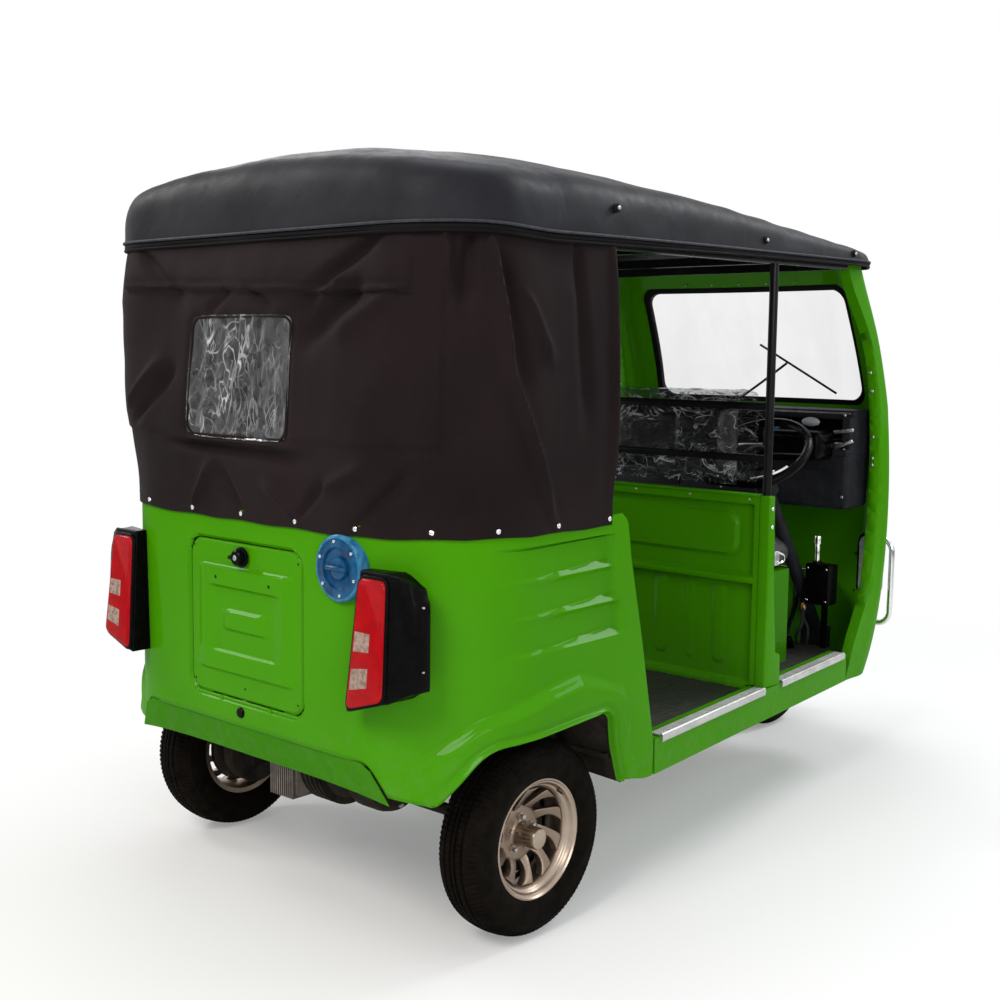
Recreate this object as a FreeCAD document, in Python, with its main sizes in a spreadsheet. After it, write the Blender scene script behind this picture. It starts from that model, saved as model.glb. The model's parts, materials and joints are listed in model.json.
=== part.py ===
import FreeCAD, Part
import math
import os
import Sketcher
from FreeCAD import Placement, Rotation, Vector

# Three-wheeled auto rickshaw, in millimetres.
# +Z is up, the nose faces -Y, the tail faces +Y and +X is the vehicle's left.
# The origin is on the ground, at the middle of the overall length and width.

doc = FreeCAD.newDocument("auto_rickshaw")
sheet = doc.addObject("Spreadsheet::Sheet", "Sizes")

# Driving dimensions: alias, value. They are written to the sheet, and every piece reads them there.
# A place along the length is given as its distance from the tail face, the nose end or an axle.
SIZES = (
    # overall
    ("overall_length", 2700), ("body_half_width", 650), ("rear_overhang", 425),
    ("front_overhang", 275), ("fit_gap", 0.3), ("run_gap", 0.05), ("moving_gap", 6),
    # wheels
    ("tyre_radius", 235), ("tyre_half_width", 60), ("rim_radius", 143), ("bead_radius", 127),
    ("rim_half_width", 50), ("wheel_inset", 100), ("axle_radius", 15), ("hub_radius", 38),
    ("disc_thickness", 14), ("barrel_thickness", 9),
    # rear body tub
    ("tub_wall", 22), ("tub_corner_radius", 330), ("belt_height", 985), ("tub_bottom", 310),
    ("tail_bottom", 385), ("lamp_stand_out", 40), ("apron_top", 456), ("apron_half_top", 400),
    ("apron_half_bottom", 470), ("apron_thickness", 12), ("apron_set_back", 22),
    ("arch_rise", 40), ("arch_front_gap", 22), ("arch_rear_gap", 52), ("arch_knee_behind", 140),
    ("arch_peak_ahead", 163), ("arch_knee_drop", 42), ("arch_peak_round", 60),
    ("arch_knee_round", 200), ("door_rear_ahead", 780), ("door_edge_lean", 160),
    # rear lid
    ("lid_half_width", 213), ("lid_bottom", 525), ("lid_top", 902), ("lid_thickness", 14),
    ("lid_corner", 32), ("hinge_room", 12), ("hinge_pin_radius", 4), ("hinge_barrel_radius", 8),
    ("hinge_drop", 8), ("hinge_inner_x", 110), ("hinge_outer_x", 190), ("hinge_ear_width", 12),
    ("plate_hole_spacing", 204), ("plate_hole_radius", 3), ("plate_hole_height", 815),
    # tail lamps and filler
    ("lens_inset", 127), ("lens_width", 101), ("lens_bottom", 592), ("lens_height", 286),
    ("lens_thickness", 10), ("lens_round", 22), ("lens_cut", 12), ("housing_margin", 9),
    ("housing_reach", 66), ("housing_back", 110), ("filler_inset", 299), ("filler_height", 888),
    ("filler_radius", 75), ("filler_depth", 46), ("filler_turn", 6),
    # floor, sills and chassis
    ("floor_top", 330), ("floor_thickness", 12), ("toe_inset", 80), ("toe_taper", 60),
    ("toe_front_back", 445), ("sill_top", 400), ("sill_width", 62), ("sill_front_half_width", 520),
    ("sill_front_back", 635), ("rail_half_spacing", 300), ("rail_width", 50), ("rail_depth", 60),
    ("rail_end_gap", 10), ("cross_width", 40),
    # bay under and behind the passengers
    ("bay_ahead", 610), ("bay_tyre_gap", 24), ("deck_rise", 28), ("deck_thickness", 12),
    ("house_rise", 102), ("house_wall", 8), ("house_front_gap", 64), ("house_rear_gap", 82),
    # partition behind the driver
    ("cab_depth", 1234), ("partition_thickness", 28), ("partition_foot_step", 30),
    ("partition_top", 962), ("pillar_inset", 6.2), ("pillar_width", 50), ("pillar_depth", 48),
    ("pillar_foot_depth", 100), ("pillar_step_height", 840), ("post_radius", 12.5),
    ("bar_radius", 11), ("low_rail_height", 1066), ("high_rail_height", 1217),
    # roof
    ("roof_overhang", 10), ("roof_front_flare", 20), ("roof_rear_inset", 20),
    ("roof_front_back", 445), ("roof_rear_edge", 1618), ("roof_edge_rise", 44), ("roof_skin", 14),
    ("roof_floor", 10), ("frame_tube", 25), ("frame_inset", 34), ("frame_rear_inset", 170),
    ("frame_front_back", 710), ("cab_roof_back", 650), ("rear_post_inset", 14.8),
    # curtain
    ("curtain_lap", 30), ("curtain_wall", 8), ("curtain_ahead", 610), ("curtain_top_inset", 16),
    ("curtain_top_radius", 200), ("window_half_width", 176), ("window_bottom", 1160),
    ("window_height", 276), ("window_corner", 26), ("film_thickness", 3),
    # cab
    ("cab_wall", 35), ("glass_bottom", 1214), ("glass_top", 1580), ("glass_inset_bottom", 108),
    ("glass_inset_top", 128), ("glass_thickness", 6), ("glass_depth", 14), ("glass_corner", 45),
    ("gasket_width", 18), ("gasket_depth", 8), ("gasket_thickness", 18),
    ("well_half_width", 275), ("well_tyre_gap", 40), ("well_clearance", 50), ("well_wall", 12),
    # dashboard and steering
    ("dash_inset", 40), ("dash_low", 905), ("dash_high", 1188), ("dash_back", 598),
    ("dash_lip_back", 550), ("pod_half_width", 110), ("pod_low", 1020), ("pod_high", 1124),
    ("pod_front_back", 585), ("pod_rear_back", 710), ("hub_x", 320), ("hub_back", 910),
    ("hub_height", 1050), ("column_tilt", 35), ("steering_wheel_radius", 172),
    ("steering_rim_radius", 13), ("boss_radius", 34), ("stub_radius", 8), ("column_radius", 22),
    ("shroud_radius", 36), ("shroud_length", 108), ("column_clearance", 2), ("foot_half_width", 40),
    ("foot_height", 110), ("foot_depth", 56), ("pedal_x", 412), ("pedal_half_width", 27.5),
    ("pedal_back", 560), ("pedal_depth", 70), ("pedal_height", 270),
    # front fork
    ("fork_rake", 20), ("fork_offset", 25), ("steerer_radius", 24), ("head_radius", 38),
    ("head_length", 200), ("crown_height", 40), ("crown_ahead", 80), ("crown_behind", 44),
    ("leg_inner_x", 76), ("leg_thickness", 20), ("leg_half_depth", 26), ("front_axle_radius", 10),
    ("axle_end", 12), ("guard_tyre_gap", 40), ("guard_wall", 4), ("guard_half_width", 68),
    # headlamps
    ("headlamp_inset", 148), ("headlamp_width", 116), ("headlamp_bottom", 505),
    ("headlamp_height", 290), ("headlamp_back", 282), ("loop_tube", 20), ("loop_round", 44),
    ("headlamp_round", 24),
    # seats
    ("driver_seat_half_width", 440), ("driver_seat_depth", 416), ("driver_seat_top", 790),
    ("seat_base_inset", 30), ("seat_base_set_back", 40), ("seat_base_wall", 12),
    ("driver_back_top", 1252), ("driver_back_bottom", 975), ("cushion_thickness", 100),
    ("back_thickness", 88), ("seat_round", 30), ("passenger_seat_gap", 108),
    ("passenger_cushion_thickness", 135), ("passenger_seat_depth", 430),
    ("passenger_back_thickness", 110), ("passenger_back_height", 455), ("passenger_seat_lap", 15),
    ("passenger_back_lap", 20),
    # drive and rear suspension
    ("engine_half_width", 150), ("engine_ahead", 125), ("engine_behind", 195),
    ("engine_drop", 45), ("engine_deck_gap", 80), ("mount_half_width", 40), ("arm_inset", 46),
    ("arm_width", 44), ("arm_pivot_radius", 18), ("arm_pivot_ahead", 50), ("drum_radius", 95),
    ("drum_width", 38), ("shock_radius", 24), ("shock_inset", 8),
)


class Dim:
    """A length with the spreadsheet expression that gives it."""

    def __init__(self, value, text):
        self.value = float(value)
        self.text = text

    @staticmethod
    def of(item):
        return item if isinstance(item, Dim) else Dim(item, repr(float(item)))

    def __add__(self, other):
        other = Dim.of(other)
        return Dim(self.value + other.value, "(" + self.text + " + " + other.text + ")")

    def __sub__(self, other):
        other = Dim.of(other)
        return Dim(self.value - other.value, "(" + self.text + " - " + other.text + ")")

    def __mul__(self, other):
        other = Dim.of(other)
        return Dim(self.value * other.value, "(" + self.text + " * " + other.text + ")")

    def __truediv__(self, other):
        other = Dim.of(other)
        return Dim(self.value / other.value, "(" + self.text + " / " + other.text + ")")

    def __radd__(self, other):
        return Dim.of(other) + self

    def __rsub__(self, other):
        return Dim.of(other) - self

    def __rmul__(self, other):
        return Dim.of(other) * self

    def __neg__(self):
        return Dim(-self.value, "(0 - " + self.text + ")")


class Table:
    """The sheet's named sizes as attributes."""


S = Table()
for row, (alias, value) in enumerate(SIZES, start=1):
    sheet.set("A%d" % row, alias)
    sheet.set("B%d" % row, str(value))
    sheet.setAlias("B%d" % row, alias)
    setattr(S, alias, Dim(value, "Sizes." + alias))
doc.recompute()

NODES = []


def bind(item, **sizes):
    """Bind properties to expressions; x, y and z are the placement's place."""
    paths = {"x": "Placement.Base.x", "y": "Placement.Base.y", "z": "Placement.Base.z"}
    for name, size in sizes.items():
        item.setExpression(paths.get(name, name), Dim.of(size).text)


def node(name, item):
    """Name a finished sub-part."""
    item.Label = name
    NODES.append(item)
    return item


def box(name, x, y, z):
    """A block between two values on each axis."""
    item = doc.addObject("Part::Box", name)
    bind(item, Length=x[1] - x[0], Width=y[1] - y[0], Height=z[1] - z[0], x=x[0], y=y[0], z=z[0])
    return item


AXIS_TURN = {"X": Rotation(Vector(0, 1, 0), 90), "Y": Rotation(Vector(1, 0, 0), -90),
             "Z": Rotation()}


def rod(name, axis, radius, start, length):
    """A cylinder along X, Y or Z from its start point."""
    item = doc.addObject("Part::Cylinder", name)
    item.Placement = Placement(Vector(), AXIS_TURN[axis])
    bind(item, Radius=radius, Height=length, x=start[0], y=start[1], z=start[2])
    return item


def join(name, parts):
    item = doc.addObject("Part::MultiFuse", name)
    item.Shapes = parts
    return item


def cut(name, base, tool):
    item = doc.addObject("Part::Cut", name)
    item.Base, item.Tool = base, tool
    return item


def common(name, parts):
    item = doc.addObject("Part::MultiCommon", name)
    item.Shapes = parts
    return item


def group(name, parts):
    """Solids of one node that don't touch."""
    item = doc.addObject("Part::Compound", name)
    item.Links = parts
    return item


def mirrored(name, source):
    """The source on the other side of the centre plane."""
    item = doc.addObject("Part::Mirroring", name)
    item.Source = source
    item.Normal = Vector(1, 0, 0)
    return item


def pair(name, source):
    return group(name, [source, mirrored(name + "_mirror", source)])


def feature(name, shape):
    """A piece whose shape is built from the sheet's sizes by Part's own functions."""
    item = doc.addObject("Part::Feature", name)
    item.Shape = shape
    return item


def plane_of(body, role):
    return [f for f in body.Origin.OriginFeatures if f.Role == role][0]


def sketch_outline(sketch, outline):
    """A closed outline of straight edges, each corner placed by two bound distances."""
    first = sketch.GeometryCount
    count = len(outline)
    for i in range(count):
        a, b = outline[i], outline[(i + 1) % count]
        sketch.addGeometry(Part.LineSegment(Vector(Dim.of(a[0]).value, Dim.of(a[1]).value, 0),
                                            Vector(Dim.of(b[0]).value, Dim.of(b[1]).value, 0)), False)
    for i in range(count):
        sketch.addConstraint(Sketcher.Constraint("Coincident", first + i, 2, first + (i + 1) % count, 1))
    for i, corner in enumerate(outline):
        for kind, size in zip(("DistanceX", "DistanceY"), corner):
            size = Dim.of(size)
            index = sketch.addConstraint(
                Sketcher.Constraint(kind, -1, 1, first + i, 1, size.value))
            sketch.setExpression("Constraints[%d]" % index, size.text)


def sketch_circle(sketch, centre, radius):
    index = sketch.addGeometry(Part.Circle(Vector(Dim.of(centre[0]).value, Dim.of(centre[1]).value, 0),
                                           Vector(0, 0, 1), Dim.of(radius).value), False)
    for kind, size in zip(("DistanceX", "DistanceY"), centre):
        size = Dim.of(size)
        number = sketch.addConstraint(Sketcher.Constraint(kind, -1, 1, index, 3, size.value))
        sketch.setExpression("Constraints[%d]" % number, size.text)
    number = sketch.addConstraint(Sketcher.Constraint("Radius", index, Dim.of(radius).value))
    sketch.setExpression("Constraints[%d]" % number, Dim.of(radius).text)


PLANES = {"XY": "XY_Plane", "XZ": "XZ_Plane", "YZ": "YZ_Plane"}


def sketch_in(body, name, plane, offset, outlines, circles=()):
    sketch = body.newObject("Sketcher::SketchObject", name)
    sketch.AttachmentSupport = (plane_of(body, PLANES[plane]), [""])
    sketch.MapMode = "FlatFace"
    # The XZ plane faces -Y, so a place along +Y is a negative offset there.
    shift = -Dim.of(offset) if plane == "XZ" else Dim.of(offset)
    sketch.setExpression("AttachmentOffset.Base.z", shift.text)
    for outline in outlines:
        sketch_outline(sketch, outline)
    for centre, radius in circles:
        sketch_circle(sketch, centre, radius)
    return sketch


def slab(name, plane, start, end, outlines, circles=(), rounds=()):
    """A body padded from outlines on a plane, from start to end along the plane's axis."""
    start, end = Dim.of(start), Dim.of(end)
    body = doc.addObject("PartDesign::Body", name)
    low = end if plane == "XZ" else start
    sketch = sketch_in(body, name + "_sketch", plane, low, outlines, circles)
    pad = body.newObject("PartDesign::Pad", name + "_pad")
    pad.Profile = sketch
    pad.setExpression("Length", (end - start).text)
    body.Tip = pad
    round_corners(body, name, plane, rounds)
    return body


def round_corners(body, name, plane, rounds):
    """Fillet the edges that run along the pad through the listed outline corners."""
    for step, (corners, radius) in enumerate(rounds):
        doc.recompute()
        keep = {"XY": (0, 1), "XZ": (0, 2), "YZ": (1, 2)}[plane]
        base = body.Tip
        names = []
        for i, edge in enumerate(base.Shape.Edges, start=1):
            ends = [(v.Point[keep[0]], v.Point[keep[1]]) for v in edge.Vertexes]
            if len(ends) != 2 or math.dist(ends[0], ends[1]) > 0.01:
                continue
            for corner in corners:
                spot = (Dim.of(corner[0]).value, Dim.of(corner[1]).value)
                if math.dist(ends[0], spot) < 0.01:
                    names.append("Edge%d" % i)
        fillet = body.newObject("PartDesign::Fillet", "%s_round%d" % (name, step))
        fillet.Base = (base, names)
        fillet.setExpression("Radius", Dim.of(radius).text)
        body.Tip = fillet


def ring(name, outline, axle_x, axle_y, axle_height):
    """A body turned about an axle along X; outline gives (along the axle, radius)."""
    body = doc.addObject("PartDesign::Body", name)
    sketch = sketch_in(body, name + "_sketch", "XY", 0, [outline])
    turn = body.newObject("PartDesign::Revolution", name + "_turn")
    turn.Profile = sketch
    turn.ReferenceAxis = (sketch, ["H_Axis"])
    turn.Angle = 360
    body.Tip = turn
    bind(body, x=axle_x, y=axle_y, z=axle_height)
    return body


# Places that several pieces share.
half_length = S.overall_length / 2
nose_end_y = -half_length
tail_y = half_length - S.lamp_stand_out
rear_axle_y = half_length - S.rear_overhang
front_axle_y = nose_end_y + S.front_overhang
axle_height = S.tyre_radius
tyre_top = S.tyre_radius * 2
wheel_x = S.body_half_width - S.wheel_inset
sill_rear_y = tail_y - S.door_rear_ahead
sill_front_y = nose_end_y + S.sill_front_back
bay_front_y = tail_y - S.bay_ahead
bay_half_width = wheel_x - S.tyre_half_width - S.bay_tyre_gap
house_top = tyre_top + S.house_rise
deck_top = house_top + S.deck_rise
floor_bottom = S.floor_top - S.floor_thickness
guard_radius = S.tyre_radius + S.guard_tyre_gap
crown_low = axle_height + guard_radius + S.fit_gap
crown_high = crown_low + S.crown_height
well_top = crown_high + S.well_clearance
well_back_y = front_axle_y + S.tyre_radius + S.well_tyre_gap
head_high = well_top + S.head_length
roof_half_width = S.body_half_width + S.roof_overhang
roof_rear_y = tail_y - S.roof_rear_inset
roof_front_y = nose_end_y + S.roof_front_back
curtain_front_y = tail_y - S.curtain_ahead
side_slope = (S.body_half_width - S.sill_front_half_width) / (sill_rear_y - sill_front_y)
roof_slope = S.roof_edge_rise / (roof_rear_y - roof_front_y)
# How far a cutting tool reaches past what it cuts.
OVERCUT = 10


def side_x(y, inset=0.0):
    """Half width of the tapering lower side at a place along the length."""
    return S.body_half_width - (sill_rear_y - y) * side_slope - inset


def roof_edge(y):
    """Height of the roof's lower edge at a place along the length."""
    return S.roof_rear_edge + (roof_rear_y - y) * roof_slope


def rounded_tail(half_width, tail, radius, front):
    """Wire of a rounded tail plan, closed straight across the front."""
    w, t, r, f = (Dim.of(v).value for v in (half_width, tail, radius, front))
    k = r * (1 - math.sqrt(0.5))
    edges = [
        Part.LineSegment(Vector(-w, f, 0), Vector(-w, t - r, 0)),
        Part.Arc(Vector(-w, t - r, 0), Vector(-w + k, t - k, 0), Vector(-w + r, t, 0)),
        Part.LineSegment(Vector(-w + r, t, 0), Vector(w - r, t, 0)),
        Part.Arc(Vector(w - r, t, 0), Vector(w - k, t - k, 0), Vector(w, t - r, 0)),
        Part.LineSegment(Vector(w, t - r, 0), Vector(w, f, 0)),
        Part.LineSegment(Vector(w, f, 0), Vector(-w, f, 0)),
    ]
    return Part.Wire([e.toShape() for e in edges])


def tub_form(inset, front, low, high):
    """Block of the tub's plan, inset on its outer side."""
    inset = Dim.of(inset)
    wire = rounded_tail(S.body_half_width - inset, tail_y - inset, S.tub_corner_radius - inset, front)
    low, high = Dim.of(low).value, Dim.of(high).value
    face = Part.Face(wire)
    face.translate(Vector(0, 0, low))
    return face.extrude(Vector(0, 0, high - low))


# ---------------------------------------------------------------- rear body
arch_top = tyre_top + S.arch_rise
arch_front_y = rear_axle_y - S.tyre_radius - S.arch_front_gap
arch_rear_y = rear_axle_y + S.tyre_radius + S.arch_rear_gap
arch_knee = (rear_axle_y + S.arch_knee_behind, arch_top - S.arch_knee_drop)
arch_peak = (rear_axle_y - S.arch_peak_ahead, arch_top)
under = S.tub_bottom - OVERCUT
# The slanting rear edge of the door opening: height, share of the whole lean.
DOOR_EDGE = ((S.sill_top, 0.0), (660, 0.35), (870, 0.675), (S.belt_height - 19, 0.775),
             (S.belt_height + OVERCUT, 1.0))
door_edge = [(sill_rear_y + S.door_edge_lean * share, height) for height, share in DOOR_EDGE]
side_cuts = slab(
    "tub_side_cuts", "YZ", -S.body_half_width - OVERCUT, S.body_half_width + OVERCUT,
    [
        # wheel arch
        [(arch_front_y, under), (arch_rear_y, under), (arch_rear_y, S.tail_bottom), arch_knee,
         arch_peak],
        # under the tail
        [(arch_rear_y + 0.5, under), (tail_y + OVERCUT, under), (tail_y + OVERCUT, S.tail_bottom),
         (arch_rear_y + 0.5, S.tail_bottom)],
        # door opening
        [(sill_rear_y - OVERCUT, S.sill_top)] + door_edge
        + [(sill_rear_y - OVERCUT, S.belt_height + OVERCUT)],
    ],
    rounds=[([arch_peak], S.arch_peak_round), ([arch_knee], S.arch_knee_round)])
hole_half_width = S.lid_half_width + S.moving_gap
hole_low = S.lid_bottom - S.moving_gap - S.hinge_room
hole_high = S.lid_top + S.moving_gap
lid_hole = slab(
    "tub_lid_hole", "XZ", tail_y - S.tub_wall - OVERCUT, tail_y + OVERCUT,
    [[(-hole_half_width, hole_low), (hole_half_width, hole_low), (hole_half_width, hole_high),
      (-hole_half_width, hole_high)],
     [(-S.apron_half_bottom, S.tail_bottom - OVERCUT), (S.apron_half_bottom, S.tail_bottom - OVERCUT),
      (S.apron_half_bottom, S.tail_bottom), (S.apron_half_top, S.apron_top),
      (-S.apron_half_top, S.apron_top), (-S.apron_half_bottom, S.tail_bottom)]],
    rounds=[([(-hole_half_width, hole_high), (hole_half_width, hole_high)], S.lid_corner)])


def filler_rod(name, radius, low, high):
    """Cylinder of the fuel filler, square to the rounded corner, between two depths from the tail."""
    item = doc.addObject("Part::Cylinder", name)
    turn = Rotation(Vector(0, 0, 1), S.filler_turn.value).multiply(AXIS_TURN["Y"])
    item.Placement = Placement(Vector(), turn)
    slide = math.tan(math.radians(S.filler_turn.value))
    filler_x = S.body_half_width - S.filler_inset
    bind(item, Radius=radius, Height=high - low, x=-filler_x - low * slide, y=tail_y + low,
         z=S.filler_height)
    return item


filler_hole = filler_rod("tub_filler_hole", S.filler_radius + S.fit_gap, -S.filler_depth - OVERCUT * 2,
                         S.tub_wall)
tub_block = feature("tub_block", tub_form(0, sill_rear_y, S.tub_bottom, S.belt_height))
tub_inside = feature("tub_inside", tub_form(S.tub_wall, sill_rear_y - OVERCUT, under,
                                            S.belt_height + OVERCUT))
node("rear_body", cut("rear_body", cut("tub_shell", tub_block, tub_inside),
                      join("tub_holes", [side_cuts, lid_hole, filler_hole])))

apron_face_y = tail_y - 2
apron_foot_y = tail_y - S.apron_set_back
apron_low, apron_high = S.tail_bottom - 6, S.apron_top - S.fit_gap
node("rear_apron", slab(
    "rear_apron", "YZ", -S.apron_half_top + S.fit_gap, S.apron_half_top - S.fit_gap,
    [[(apron_face_y, apron_high), (apron_face_y - S.apron_thickness, apron_high),
      (apron_foot_y - S.apron_thickness, apron_low), (apron_foot_y, apron_low)]]))

filler_skin = feature("filler_skin", tub_form(0, sill_rear_y, S.tub_bottom, S.belt_height))
node("fuel_filler", common("fuel_filler", [
    filler_rod("fuel_cup", S.filler_radius, -S.filler_depth, S.tub_wall), filler_skin]))

# ---------------------------------------------------------------- rear lid on its hinge
hinge_y = tail_y - S.hinge_barrel_radius
hinge_z = S.lid_bottom - S.hinge_drop
lid_back_y = tail_y - S.lid_thickness
lid_plate = slab(
    "lid_plate", "XZ", lid_back_y, tail_y,
    [[(-S.lid_half_width, S.lid_bottom), (S.lid_half_width, S.lid_bottom),
      (S.lid_half_width, S.lid_top), (-S.lid_half_width, S.lid_top)]],
    circles=[((S.plate_hole_spacing * s, S.plate_hole_height), S.plate_hole_radius)
             for s in (-0.5, 0.5)],
    rounds=[([(-S.lid_half_width, S.lid_top), (S.lid_half_width, S.lid_top)],
             S.lid_corner - S.moving_gap)])
knuckles = []
knuckle_width = S.hinge_outer_x - S.hinge_inner_x
for i, x in enumerate((-S.hinge_outer_x, S.hinge_inner_x)):
    knuckles.append(rod("lid_barrel%d" % i, "X", S.hinge_barrel_radius, (x, hinge_y, hinge_z), knuckle_width))
    knuckles.append(box("lid_leaf%d" % i, (x, x + knuckle_width), (lid_back_y, tail_y - 4),
                        (hinge_z, S.lid_bottom + 1)))
pin_half = S.hinge_outer_x + S.hinge_ear_width + OVERCUT
lid_bore = rod("lid_bore", "X", S.hinge_pin_radius + S.run_gap, (-pin_half, hinge_y, hinge_z), pin_half * 2)
node("rear_lid", cut("rear_lid", join("lid_solid", [lid_plate] + knuckles), lid_bore))
# An ear stands beside each end of a knuckle; its corners stay inside the lid's turning circle.
ear_reach, ear_rise = S.hinge_ear_width + OVERCUT, S.hinge_pin_radius + 0.5
ear_starts = (-S.hinge_outer_x - ear_reach, -S.hinge_inner_x + OVERCUT,
              S.hinge_inner_x - ear_reach, S.hinge_outer_x + OVERCUT)
ear_y = (tail_y - S.hinge_barrel_radius * 2, tail_y - 2)
ear_z = (hole_low + S.fit_gap, hinge_z + ear_rise)
hinge_ears = [box("hinge_ear%d" % i, (x, x + S.hinge_ear_width), ear_y, ear_z)
              for i, x in enumerate(ear_starts)]
hinge_pin = rod("hinge_pin", "X", S.hinge_pin_radius, (-pin_half, hinge_y, hinge_z), pin_half * 2)
node("lid_hinge", join("lid_hinge", [hinge_pin] + hinge_ears))

# ---------------------------------------------------------------- tail lamps
lens_outer_x = S.body_half_width - S.lens_inset
lens_inner_x = lens_outer_x - S.lens_width
lens_back_y = half_length - S.lens_thickness
lens_top = S.lens_bottom + S.lens_height
housing_side_x = lens_outer_x + S.housing_reach
housing_side_y = tail_y - S.housing_back
lamp_low = S.lens_bottom - S.housing_margin
housing_blank = slab(
    "housing_blank", "XY", lamp_low, lens_top + S.housing_margin,
    [[(lens_inner_x - S.housing_margin, tail_y - S.tub_wall), (housing_side_x, housing_side_y - 50),
      (housing_side_x, housing_side_y), (lens_outer_x + S.housing_margin, lens_back_y - S.fit_gap),
      (lens_inner_x - S.housing_margin, lens_back_y - S.fit_gap)]],
    rounds=[([(housing_side_x, housing_side_y)], 24)])
tub_skin = feature("tub_skin", tub_form(-S.fit_gap, sill_rear_y, S.tub_bottom, S.belt_height))
node("tail_lamp_housings", pair("tail_lamp_housings", cut("housing", housing_blank, tub_skin)))
lens = slab("lens", "XZ", lens_back_y, half_length,
            [[(lens_inner_x, S.lens_bottom), (lens_outer_x - S.lens_cut, S.lens_bottom),
              (lens_outer_x, S.lens_bottom + S.lens_cut * 2), (lens_outer_x, lens_top),
              (lens_inner_x, lens_top)]],
            rounds=[([(lens_outer_x, lens_top), (lens_inner_x, lens_top)], S.lens_round)])
node("tail_lamp_lenses", pair("tail_lamp_lenses", lens))

# ---------------------------------------------------------------- floor and sills
toe_x = S.sill_front_half_width - S.toe_inset
toe_side_y = sill_front_y - 120
toe_front_y = nose_end_y + S.toe_front_back
toe_inner_x = S.well_half_width + S.fit_gap
floor_front_y = well_back_y + S.well_wall + S.fit_gap
inner_sill = S.sill_width + S.fit_gap
floor_taper_y = sill_rear_y + 60
floor_half = [
    (toe_inner_x, floor_front_y), (toe_inner_x, toe_front_y), (toe_x - S.toe_taper, toe_front_y),
    (toe_x, toe_side_y), (side_x(sill_front_y, inner_sill), sill_front_y),
    (side_x(sill_rear_y, inner_sill), sill_rear_y), (bay_half_width, floor_taper_y),
    (bay_half_width, bay_front_y - S.fit_gap)]
node("floor_pan", slab("floor_pan", "XY", floor_bottom, S.floor_top,
                       [floor_half + [(-x, y) for x, y in floor_half[::-1]]]))
sill = slab(
    "sill", "XY", S.tub_bottom, S.sill_top,
    [[(side_x(sill_rear_y), sill_rear_y - S.fit_gap),
      (side_x(sill_rear_y, S.sill_width), sill_rear_y - S.fit_gap),
      (side_x(sill_front_y, S.sill_width), sill_front_y + S.fit_gap),
      (side_x(sill_front_y), sill_front_y + S.fit_gap)]])
node("sills", pair("sills", sill))

# ---------------------------------------------------------------- bay and wheel houses
tub_room = feature("tub_room", tub_form(S.tub_wall + S.fit_gap, sill_rear_y, S.tub_bottom, S.belt_height))
bay_x = (-bay_half_width, bay_half_width)
bay_wall = box("bay_wall", bay_x, (bay_front_y, bay_front_y + S.deck_thickness), (floor_bottom, deck_top))
bay_deck = box("bay_deck", bay_x, (bay_front_y, tail_y - S.tub_wall - S.fit_gap),
               (deck_top - S.deck_thickness, deck_top))
bay_sides = [box("bay_side%d" % i, (x, x + S.deck_thickness), (bay_front_y, tail_y - 102),
                 (S.tail_bottom, deck_top))
             for i, x in enumerate((-bay_half_width, bay_half_width - S.deck_thickness))]
bay_shell = join("bay_shell", [bay_wall, bay_deck] + bay_sides)
shaft_slots = box("shaft_slots", (-bay_half_width - OVERCUT, bay_half_width + OVERCUT),
                  (rear_axle_y - 70, rear_axle_y + 70), (S.tail_bottom - OVERCUT, S.tail_bottom + 60))
node("seat_box", cut("seat_box", common("bay_fitted", [bay_shell, tub_room]), shaft_slots))

house_front_y = rear_axle_y - S.tyre_radius - S.house_front_gap
house_rear_y = rear_axle_y + S.tyre_radius + S.house_rear_gap


def house_line(inset):
    """Side outline of the wheel house, from its front foot over the tyre to its rear foot."""
    roof = house_top - inset
    return [(house_front_y + inset, S.floor_top), (house_front_y + 10 + inset, tyre_top),
            (arch_peak[0] - 40 + inset / 2, roof), (arch_knee[0] + 30 - inset / 2, roof),
            (house_rear_y - 10 - inset, tyre_top), (house_rear_y - inset, S.tail_bottom + 6)]


house_blank = slab("house_blank", "YZ", bay_half_width + S.fit_gap, S.body_half_width,
                   [house_line(0) + house_line(S.house_wall)[::-1]])
node("wheel_houses", pair("wheel_houses", common("wheel_house", [house_blank, tub_room])))

# ---------------------------------------------------------------- chassis
rail_low, rail_high = floor_bottom - S.rail_depth - S.fit_gap, floor_bottom - S.fit_gap
rail_rear_y = bay_front_y - S.rail_end_gap
partition_rear_y = nose_end_y + S.cab_depth
partition_front_y = partition_rear_y - S.partition_thickness
cross_half = S.cross_width / 2
cross_x = (-S.rail_half_spacing - S.rail_width, S.rail_half_spacing + S.rail_width)
rails = [box("rail%d" % i, (x - S.rail_width / 2, x + S.rail_width / 2), (well_back_y + 60, rail_rear_y),
             (rail_low, rail_high)) for i, x in enumerate((-S.rail_half_spacing, S.rail_half_spacing))]
crosses = [box("cross%d" % i, cross_x, (y - cross_half, y + cross_half), (rail_low + 10, rail_high))
           for i, y in enumerate((well_back_y + 100, partition_rear_y, (partition_rear_y + rail_rear_y) / 2,
                                  rail_rear_y - S.arm_pivot_ahead))]
node("chassis_frame", join("chassis_frame", rails + crosses))

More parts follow.
